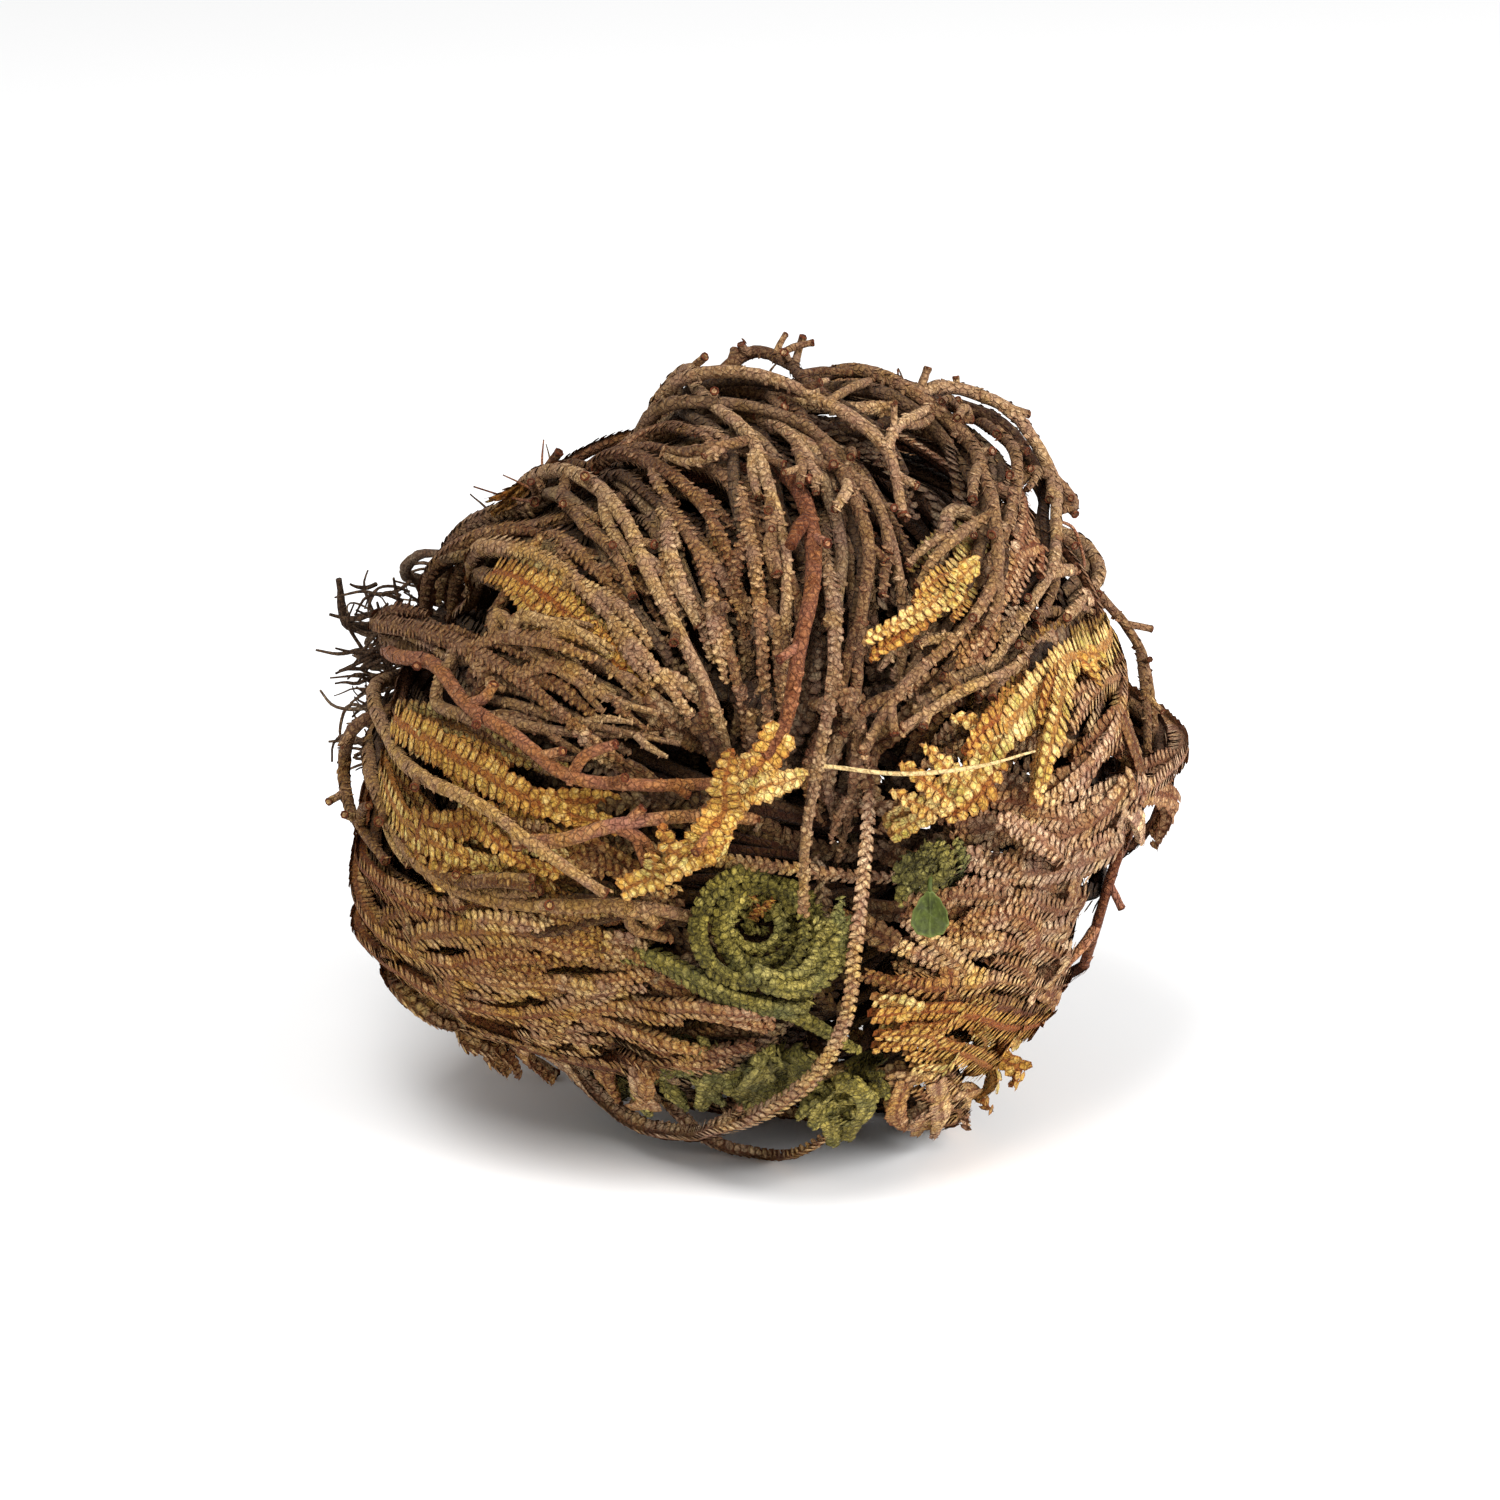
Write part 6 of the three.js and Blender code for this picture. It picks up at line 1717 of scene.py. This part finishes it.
class Shades(Graph):
    """A shader tree under construction."""

    def value(self, name):
        """A number that the geometry carries."""
        return self.add("ShaderNodeAttribute", attribute_name=name).outputs["Fac"]

    def noise(self, where, scale, detail=3.0):
        """Cloudy noise about this many times a metre."""
        inputs = {"Vector": where, "Scale": scale, "Detail": detail}
        return self.add("ShaderNodeTexNoise", inputs).outputs["Fac"]

    def blend(self, amount, first, second, mode="MIX"):
        """Two colours mixed."""
        node = self.add("ShaderNodeMix", data_type="RGBA", blend_type=mode)
        for index, given in ((0, amount), (6, first), (7, second)):
            if isinstance(given, bpy.types.NodeSocket):
                self.tree.links.new(given, node.inputs[index])
            else:
                node.inputs[index].default_value = given
        return node.outputs[2]

    def between(self, value, low, high, start=0.0, end=1.0):
        """The value stretched from low..high to start..end, and kept inside."""
        node = self.add("ShaderNodeMapRange", {
            "Value": value, "From Min": low, "From Max": high, "To Min": start, "To Max": end})
        return node.outputs["Result"]

    def tones(self, amount, codes):
        """A dark, a middle and a light colour along the amount."""
        ramp = self.add("ShaderNodeValToRGB", {"Fac": amount})
        steps = ramp.color_ramp.elements
        steps[0].position, steps[1].position = 0.3, 0.78
        steps[0].color, steps[1].color = colour(codes[0]), colour(codes[2])
        steps.new(0.54).color = colour(codes[1])
        return ramp.outputs["Color"]

    def surface(self, skin, bump, settings):
        """Gives the surface its colour, its bump as (strength, distance, height) and its gloss."""
        shader = self.tree.nodes["Principled BSDF"]
        self.tree.links.new(skin, shader.inputs["Base Color"])
        if bump:
            node = self.add("ShaderNodeBump", dict(zip(("Strength", "Distance", "Height"), bump)))
            self.tree.links.new(node.outputs["Normal"], shader.inputs["Normal"])
        for name, value in settings.items():
            shader.inputs[name].default_value = value


def new_material(name):
    """A new material, its tree under construction and the places on the object."""
    material = bpy.data.materials.new(name)
    material.use_nodes = True
    shades = Shades(material.node_tree)
    return material, shades, shades.add("ShaderNodeTexCoord").outputs["Object"]


def stem_skin(shades, where, palette, fine):
    """The skin's colour: three tones in mottles and on scales, yellower in places, tinted in patches."""
    hue = shades.value("stem_hue")
    lighter = shades.plus(shades.times(shades.value("scale_tone"), 0.2), shades.times(hue, 0.3))
    mottled = shades.plus(shades.times(fine, 0.66), lighter)
    patches = shades.between(shades.noise(where, 300.0, 2.0), 0.35, 0.7, -0.3, 0.4)
    warm = shades.plus(shades.value("stem_warm"), patches)
    skin = shades.blend(warm, shades.tones(mottled, palette.cool), shades.tones(mottled, palette.warm))
    patch = shades.between(shades.noise(where, 420.0, 2.0), 0.42, 0.66)
    amount = shades.times(patch, shades.between(hue, 0.0, 1.0, 0.1, 0.8))
    return shades.blend(amount, skin, colour(palette.tint))


def stem_material(look):
    """Dry plant skin with scale-like cracks, redder round the rims, and painted shade that darkens stems
    deep inside the ball.
    """
    name = "rose_" + look
    if name in bpy.data.materials:
        return bpy.data.materials[name]
    material, shades, where = new_material(name)
    palette = PALETTES[look]
    fine = shades.noise(where, 2600.0)
    cells = shades.add(
        "ShaderNodeTexVoronoi", {"Vector": where, "Scale": palette.cells},
        feature="DISTANCE_TO_EDGE").outputs["Distance"]
    cracks = shades.between(cells, 0.0, 0.14, 1.0, 0.0)
    skin = stem_skin(shades, where, palette, fine)
    cracked = shades.blend(shades.times(cracks, 0.32), skin, colour(palette.rim))
    rim = shades.math("POWER", shades.value("scale_rim"), 3.0)
    rimmed = shades.blend(shades.times(rim, 0.7), cracked, colour(palette.rim))
    # Painted shade: the stem's shade value darkens its colour toward near black
    depth = shades.between(shades.value("stem_deep"), 0.0, 1.0, 1.0, 0.08)
    painted_shade_grey = shades.add("ShaderNodeCombineColor", {"Red": depth, "Green": depth, "Blue": depth}).outputs[0]
    height = shades.plus(shades.times(cracks, -0.45), fine)
    shades.surface(shades.blend(1.0, rimmed, painted_shade_grey, "MULTIPLY"), (0.9, 0.0005, height), {
        "Roughness": palette.roughness, "Specular IOR Level": 0.12, "Sheen Weight": 0.03,
        "Sheen Roughness": 0.45})
    return material


def leaf_material(settings):
    """A fresh dark green leaf with paler veins and rim."""
    material, shades, where = new_material("rose_fresh_leaf")
    fresh = list(settings.leaf_colour)
    shaded = [part * 0.4 for part in fresh[:3]] + [1.0]
    green = shades.blend(shades.between(shades.noise(where, 1500.0), 0.3, 0.7), shaded, fresh)
    vein = shades.math("POWER", shades.value("scale_rim"), 1.5)
    pale = shades.blend(shades.times(vein, 0.6), green, colour("6f7a3c"))
    shades.surface(pale, (0.4, 0.0002, shades.noise(where, 2500.0)), {
        "Roughness": 0.55, "Specular IOR Level": 0.2})
    return material


def floor_material(settings):
    """A plain pale table."""
    material, shades, where = new_material("pale_floor")
    pale = list(settings.floor_colour)
    slightly = [part * 0.985 for part in pale[:3]] + [1.0]
    shades.surface(shades.blend(shades.noise(where, 12.0, 2.0), pale, slightly), None, {"Roughness": 0.9})
    return material


# The root crown, the rootlets, the leaf and the floor

# Fine dry roots by the crown and hairs on the stems. Each row: width: points as across, up and out
# from the middle of the ball
ROOTLETS = """
0.5: -35.5 8 -10, -38.5 10 -8, -41 9.6 -8, -43.4 10 -9
0.4: -38.6 9.8 -8, -40.2 12.8 -7, -39.6 14.6 -7
0.5: -35 6 -12, -38.4 4.2 -9, -41.6 4.4 -9, -43 6 -9
0.45: -36 5 -10, -39.2 2.2 -8, -41.6 0.8 -8, -41.8 -1.2 -8
0.4: -37 3.4 -9, -40 4.6 -9, -41 2.2 -9, -40.6 -0.6 -9
0.4: -37.6 6.6 -10, -39.2 7.4 -7, -42 7.2 -7
0.35: -37.2 12.6 -12, -38.6 16.6 -10, -38.2 18 -10
0.35: -26.4 20.4 -14, -26 23.6 -13, -28 25.6 -13
0.3: -26 23.4 -13, -24.4 25 -13, -23.6 25.8 -12.6
0.3: -25 20.6 -12, -23.2 23 -12, -22.8 25.2 -12
0.25: -20.2 27.2 -12, -20 29 -12, -20.4 30.6 -12
0.3: -20.6 24.6 -9, -20.9 26.8 -9, -21.3 24.7 -9
0.35: 2.4 35 -6, 2 37.8 -5, 2.9 38.9 -5
0.3: 15.4 34 -6, 15.3 37 -6, 14.8 38.2 -6
"""
# The knob's width against its fullest, by how far along its axis
KNOB_PROFILE = [
    (0, 0.0), (0.05, 0.55), (0.24, 0.9), (0.42, 1.0), (0.72, 1.0), (0.86, 0.92), (0.98, 0.6), (1, 0.0),
]
KNOB_RINGS, KNOB_SIDES = 26, 40
END_ROOTLETS, SIDE_ROOTLETS = 90, 84
ROOTLET_TURN = 2.4
CROWN_SEED = 5


def crown_knob():
    """A rough, lumpy knob along the crown's axis."""
    points = []
    for part in np.linspace(0, 1, KNOB_RINGS):
        wide = np.interp(part, *zip(*KNOB_PROFILE)) * CROWN_RADIUS
        for turn in range(KNOB_SIDES):
            angle = turn / KNOB_SIDES * 2 * math.pi
            lumps = 0.95 + 0.05 * math.sin(3 * angle + 5 * part) * math.sin(2 * angle - 7 * part)
            along = lerp(CROWN_INNER_END, CROWN_OUTER_END, part)
            points.append(on_crown(angle, along, max(wide * lumps, 0.05)))
    mesh = new_mesh("crown_knob", stand(points) * MM, tube_faces(0, KNOB_RINGS, KNOB_SIDES))
    mesh.materials.append(stem_material("root"))
    return new_object("crown_knob", mesh)


def crown_rootlet_lines(draw):
    """Rootlets that stand out of the crown's outer end, and the fine roots round it."""
    rails = []

    def add_rootlet(points, step, width, deep=0.0):
        """Takes in one rootlet, measured from the middle of the ball."""
        rails.append(rail_of(fine_line(stand(points), step), width, "root", draw.uniform(0, 1), deep))

    for index in range(END_ROOTLETS):
        angle = index * ROOTLET_TURN
        off = 1.0 + 7.0 * math.sqrt((index + 0.5) / END_ROOTLETS)
        points = [on_crown(angle, CROWN_OUTER_END - 3, off)]
        for stop in range(draw.integers(3, 6)):
            step = draw.uniform(0.9, 1.7)
            angle += draw.uniform(-0.22, 0.22)
            off = max(off + draw.uniform(-0.6, 1.1), 0.5)
            points.append(on_crown(angle, CROWN_OUTER_END - 0.6 + stop * step, off))
        add_rootlet(points, 0.6, draw.uniform(0.25, 0.65))
    for _ in range(SIDE_ROOTLETS):
        points = [np.array([draw.uniform(-37.5, -33), draw.uniform(-3, 17), draw.uniform(-15, -3)])]
        way = np.array([-1, draw.uniform(-0.9, 0.6), draw.uniform(-0.4, 0.6)])
        for _ in range(draw.integers(3, 6)):
            way = unit(way + draw.uniform(-0.6, 0.6, 3))
            points.append(points[-1] + way * draw.uniform(0.9, 1.7))
        # These fine roots get slight painted shade
        add_rootlet(points, 0.5, draw.uniform(0.24, 0.62), 0.1)
    for row in ROOTLETS.strip().split("\n"):
        width, points = row.split(":")
        add_rootlet(points_in(points), 0.6, float(width))
    return rails


def plain_stem(frond, settings):
    """A stem without scales or finer stems."""
    number = ALL_FRONDS.index(frond)
    draw = np.random.default_rng(settings.seed + number)
    rails = [
        rail_of(fine_line(strand.stations, 0.6), strand.width, frond.look, draw.uniform(0, 1), 0.0)
        for strand in settled_strands()[frond.name]
    ]
    piece = swept("dressed_" + frond.name, rails, frond.look, number)
    return finished(piece, frond.name)


# The fresh leaf, in metres. Its stalk bends back to the green shoot behind it
BLADE_RINGS, BLADE_AROUND, BLADE_VEINS = 12, 44, 7
BLADE_HALF_THICK = 0.00009
STALK_FOOT = Vector((0.01643, -0.0317, 0.0377))
STALK_RADIUS, STALK_RISE = 0.00022, 0.0013
STALK_RINGS, STALK_SIDES = 9, 8


def stalk_points(top, up):
    """The rings of a thin round stalk from the leaf's top to the green shoot."""
    bend = top + up * STALK_RISE
    points = []
    for ring in range(STALK_RINGS):
        part = ring / (STALK_RINGS - 1)
        centre = top * (1 - part) ** 2 + bend * 2 * part * (1 - part) + STALK_FOOT * part ** 2
        along = ((bend - top) * (1 - part) + (STALK_FOOT - bend) * part).normalized()
        side = along.cross(Vector((1, 0, 0))).normalized()
        other = along.cross(side)
        for turn in range(STALK_SIDES):
            angle = turn / STALK_SIDES * 2 * math.pi
            points.append(centre + (side * math.cos(angle) + other * math.sin(angle)) * STALK_RADIUS)
    return points


def blade_spot(part, angle):
    """A point of the blade: how wide, tall and cupped it is there, and how near a vein or the rim."""
    scallop = 1 + 0.035 * math.sin(11 * angle) * part
    wide = math.cos(angle) * part * scallop * (1 - 0.38 * math.sin(angle))
    tall = math.sin(angle) * part * scallop
    fan = math.atan2(wide, 1.15 - tall) / 0.9
    vein = math.exp(-(math.sin(fan * BLADE_VEINS * math.pi / 2) / 0.16) ** 2)
    edge = max(0.0, part - 0.86) / 0.14
    cup = 0.0005 * part * part + 0.00007 * vein + 0.0001 * math.sin(5 * angle) * part
    return wide, tall, cup, max(0.75 * vein, edge)


def blade_faces():
    """The faces of the blade's front and back, and of the edge between them."""
    size, around = BLADE_RINGS * BLADE_AROUND, BLADE_AROUND
    faces = []
    for start in (0, size):
        for ring in range(start, start + size - around, around):
            for turn in range(around):
                here, there = ring + turn, ring + (turn + 1) % around
                face = (here, here + around, there + around, there)
                faces.append(face[::-1] if start else face)
    for turn in range(around):
        edge, following = size - around + turn, size - around + (turn + 1) % around
        faces.append((edge, edge + size, following + size, following))
    return faces


def fresh_leaf(settings):
    """The small green leaf: a cupped fan that widens downward, with veins that spread from its stalk."""
    low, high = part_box("green_leaf")
    middle = (low + high) / 2
    across, up = Vector((1, 0, 0)), Vector((0, math.sin(FACE_LEAN), math.cos(FACE_LEAN)))
    out = Vector((0, -math.cos(FACE_LEAN), math.sin(FACE_LEAN)))
    half_long, half_wide = settings.leaf_length / 2, settings.leaf_width / 2
    points, rim = [], []
    for face in (1, -1):
        for ring in range(BLADE_RINGS):
            part = ring / (BLADE_RINGS - 1)
            for turn in range(BLADE_AROUND):
                wide, tall, cup, near = blade_spot(part, turn / BLADE_AROUND * 2 * math.pi)
                point = middle + across * wide * half_wide + up * tall * half_long
                points.append(point + out * (cup + face * BLADE_HALF_THICK * (1.05 - part)))
                rim.append(near)
    stalk = stalk_points(middle + up * half_long * 0.93, up)
    faces = blade_faces() + tube_faces(len(points), STALK_RINGS, STALK_SIDES)
    mesh = new_mesh("fresh_leaf", points + stalk, faces)
    give_values(mesh, scale_rim=rim + [0.3] * len(stalk))
    mesh.materials.append(leaf_material(settings))
    mesh.shade_smooth()
    return finished(new_object("fresh_leaf", mesh), "green_leaf")


# Add-on

class RosePlantSettings(bpy.types.PropertyGroup):
    """Sizes and colours of the dressed plant."""

    seed: bpy.props.IntProperty(
        name="Seed", description="Fixes the random draws of the finer stems", default=11, min=0)
    stem_width: bpy.props.FloatProperty(
        name="Stem width", description="Width of the stems, as a share of the measured width",
        default=1.0, min=0.5, max=1.5, subtype="FACTOR")
    leaf_length: bpy.props.FloatProperty(
        name="Leaf length", description="Length of the fresh leaf", default=0.0044, unit="LENGTH")
    leaf_width: bpy.props.FloatProperty(
        name="Leaf width", description="Width of the fresh leaf", default=0.0034, unit="LENGTH")
    leaf_colour: bpy.props.FloatVectorProperty(
        name="Leaf colour", description="Lightest green of the fresh leaf",
        default=colour("464f1a"), size=4, subtype="COLOR", min=0, max=1)


class RoseStageSettings(bpy.types.PropertyGroup):
    """The table, the light and the camera."""

    floor_colour: bpy.props.FloatVectorProperty(
        name="Floor colour", description="Colour of the table", default=(0.95, 0.95, 0.95, 1.0),
        size=4, subtype="COLOR", min=0, max=1)
    floor_size: bpy.props.FloatProperty(
        name="Floor size", description="Width of the square table", default=3.0, subtype="DISTANCE",
        unit="LENGTH")
    camera_lean: bpy.props.FloatProperty(
        name="Camera height angle", description="How far above level the camera looks from",
        default=FACE_LEAN, subtype="ANGLE")
    camera_distance: bpy.props.FloatProperty(
        name="Camera distance", description="From the middle of the ball to the camera",
        default=EYE_DISTANCE * MM, unit="LENGTH")
    view_width: bpy.props.FloatProperty(
        name="View width", description="Width of the view at the middle of the ball",
        default=0.15, unit="LENGTH")
    light_power: bpy.props.FloatProperty(
        name="Key light power", description="Power of the large soft light", default=6.9)


class FrondGroup:
    """Dresses each frond of a group."""

    fronds = []

    def execute(self, context):
        for frond in self.fronds:
            dressed_frond(frond, context.scene.rose_plant)
        return {"FINISHED"}


class ROSE_OT_top_fronds(FrondGroup, bpy.types.Operator):
    """Dress the fronds that arch over the top of the ball"""

    bl_idname = "rose.top_fronds"
    bl_label = "Top fronds"
    fronds = TOP_FRONDS


class ROSE_OT_left_fronds(FrondGroup, bpy.types.Operator):
    """Dress the fronds on the left of the mouth"""

    bl_idname = "rose.left_fronds"
    bl_label = "Left fronds"
    fronds = LEFT_FRONDS + LOWER_LEFT_FRONDS


class ROSE_OT_low_fronds(FrondGroup, bpy.types.Operator):
    """Dress the green inner fronds and the loops under the ball"""

    bl_idname = "rose.low_fronds"
    bl_label = "Green and bottom fronds"
    fronds = GREEN_FRONDS + BOTTOM_FRONDS


class ROSE_OT_right_fronds(FrondGroup, bpy.types.Operator):
    """Dress the broad fronds on the right"""

    bl_idname = "rose.right_fronds"
    bl_label = "Right fronds"
    fronds = RIGHT_FRONDS


class ROSE_OT_far_fronds(FrondGroup, bpy.types.Operator):
    """Dress the fronds on the far side and the one that hangs under the crown"""

    bl_idname = "rose.far_fronds"
    bl_label = "Far fronds"
    fronds = FAR_FRONDS + HANGING_FRONDS


class ROSE_OT_root_crown(bpy.types.Operator):
    """Make the root crown with its rootlets, and the root twigs"""

    bl_idname = "rose.root_crown"
    bl_label = "Root crown"

    def execute(self, context):
        settings = context.scene.rose_plant
        rails = crown_rootlet_lines(np.random.default_rng(settings.seed))
        roots = swept("crown_rootlets", rails, "root", CROWN_SEED)
        finished(merged("root_knob", [crown_knob(), roots]), "root_crown")
        for frond in ROOT_TWIGS:
            plain_stem(frond, settings)
        return {"FINISHED"}


class ROSE_OT_straw(bpy.types.Operator):
    """Make the straw caught across the mouth"""

    bl_idname = "rose.straw"
    bl_label = "Straw"

    def execute(self, context):
        plain_stem(STRAW, context.scene.rose_plant)
        return {"FINISHED"}


class ROSE_OT_leaf(bpy.types.Operator):
    """Make the fresh green leaf"""

    bl_idname = "rose.leaf"
    bl_label = "Green leaf"

    def execute(self, context):
        fresh_leaf(context.scene.rose_plant)
        return {"FINISHED"}


class ROSE_OT_stage(bpy.types.Operator):
    """Set the table, the light and the camera"""

    bl_idname = "rose.stage"
    bl_label = "Table, light and camera"

    def execute(self, context):
        settings = context.scene.rose_stage
        make_floor(settings)
        make_lights(settings)
        make_camera(settings)
        return {"FINISHED"}


def make_floor(settings):
    """A wide plain table at the height that the plant rests on."""
    half = settings.floor_size / 2
    corners = [(-half, -half, 0), (half, -half, 0), (half, half, 0), (-half, half, 0)]
    mesh = new_mesh("floor", corners, [(0, 1, 2, 3)])
    mesh.materials.append(floor_material(settings))
    new_object("floor", mesh)


# The lights: name, place, and power against the key light's
LIGHTS = (("key_light", (-0.2, -0.4, 0.8), 1.0), ("fill_light", (0.68, -0.38, 0.42), 1.4))
LIGHT_SIZE = 0.45
SKY_STRENGTH = 0.5
SENSOR_WIDTH = 36.0


def make_lights(settings):
    """A large soft light high on the left, a fill on the right, and an even pale sky."""
    middle = Vector((0, 0, MIDDLE_HEIGHT * MM))
    for name, spot, share in LIGHTS:
        lamp = bpy.data.lights.new(name, "AREA")
        lamp.size = LIGHT_SIZE
        lamp.energy = settings.light_power * share
        light = new_object(name, lamp)
        light.location = spot
        light.rotation_euler = (middle - light.location).to_track_quat("-Z", "Y").to_euler()
    world = bpy.context.scene.world or bpy.data.worlds.new("sky")
    bpy.context.scene.world = world
    world.use_nodes = True
    background = world.node_tree.nodes["Background"]
    background.inputs["Color"].default_value = (1, 1, 1, 1)
    background.inputs["Strength"].default_value = SKY_STRENGTH
    bpy.context.scene.view_settings.view_transform = "Standard"


def make_camera(settings):
    """A long lens, level with the photograph's view of the mouth."""
    lens = bpy.data.cameras.new("camera")
    lens.sensor_width = SENSOR_WIDTH
    lens.lens = SENSOR_WIDTH * settings.camera_distance / settings.view_width
    camera = new_object("camera", lens)
    target = Vector((*BOX_SHIFT, MIDDLE_HEIGHT)) * MM
    back = Vector((0, -math.cos(settings.camera_lean), math.sin(settings.camera_lean)))
    camera.location = target + back * settings.camera_distance
    camera.rotation_euler = (-back).to_track_quat("-Z", "Y").to_euler()
    bpy.context.scene.camera = camera


OPERATORS = (
    ROSE_OT_top_fronds, ROSE_OT_left_fronds, ROSE_OT_low_fronds, ROSE_OT_right_fronds,
    ROSE_OT_far_fronds, ROSE_OT_root_crown, ROSE_OT_straw, ROSE_OT_leaf, ROSE_OT_stage,
)


class ROSE_PT_panel(bpy.types.Panel):
    """The plant's pieces and settings"""

    bl_idname = "ROSE_PT_panel"
    bl_label = "Rose of Jericho"
    bl_space_type = "VIEW_3D"
    bl_region_type = "UI"
    bl_category = "Plant"

    def draw(self, context):
        for settings in (context.scene.rose_plant, context.scene.rose_stage):
            for key in settings.__annotations__:
                self.layout.prop(settings, key)
        for operator in OPERATORS:
            self.layout.operator(operator.bl_idname)


CLASSES = (RosePlantSettings, RoseStageSettings) + OPERATORS + (ROSE_PT_panel,)


def register():
    """Adds the classes and the scene's settings."""
    for cls in CLASSES:
        bpy.utils.register_class(cls)
    bpy.types.Scene.rose_plant = bpy.props.PointerProperty(type=RosePlantSettings)
    bpy.types.Scene.rose_stage = bpy.props.PointerProperty(type=RoseStageSettings)


def unregister():
    """Takes them away again."""
    del bpy.types.Scene.rose_stage
    del bpy.types.Scene.rose_plant
    for cls in reversed(CLASSES):
        bpy.utils.unregister_class(cls)


def main():
    """Builds the plant and its stage."""
    register()
    bpy.ops.rose.top_fronds()
    bpy.ops.rose.left_fronds()
    bpy.ops.rose.low_fronds()
    bpy.ops.rose.right_fronds()
    bpy.ops.rose.far_fronds()
    bpy.ops.rose.root_crown()
    bpy.ops.rose.straw()
    bpy.ops.rose.leaf()
    bpy.ops.rose.stage()
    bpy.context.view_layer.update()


if __name__ == "__main__":
    main()
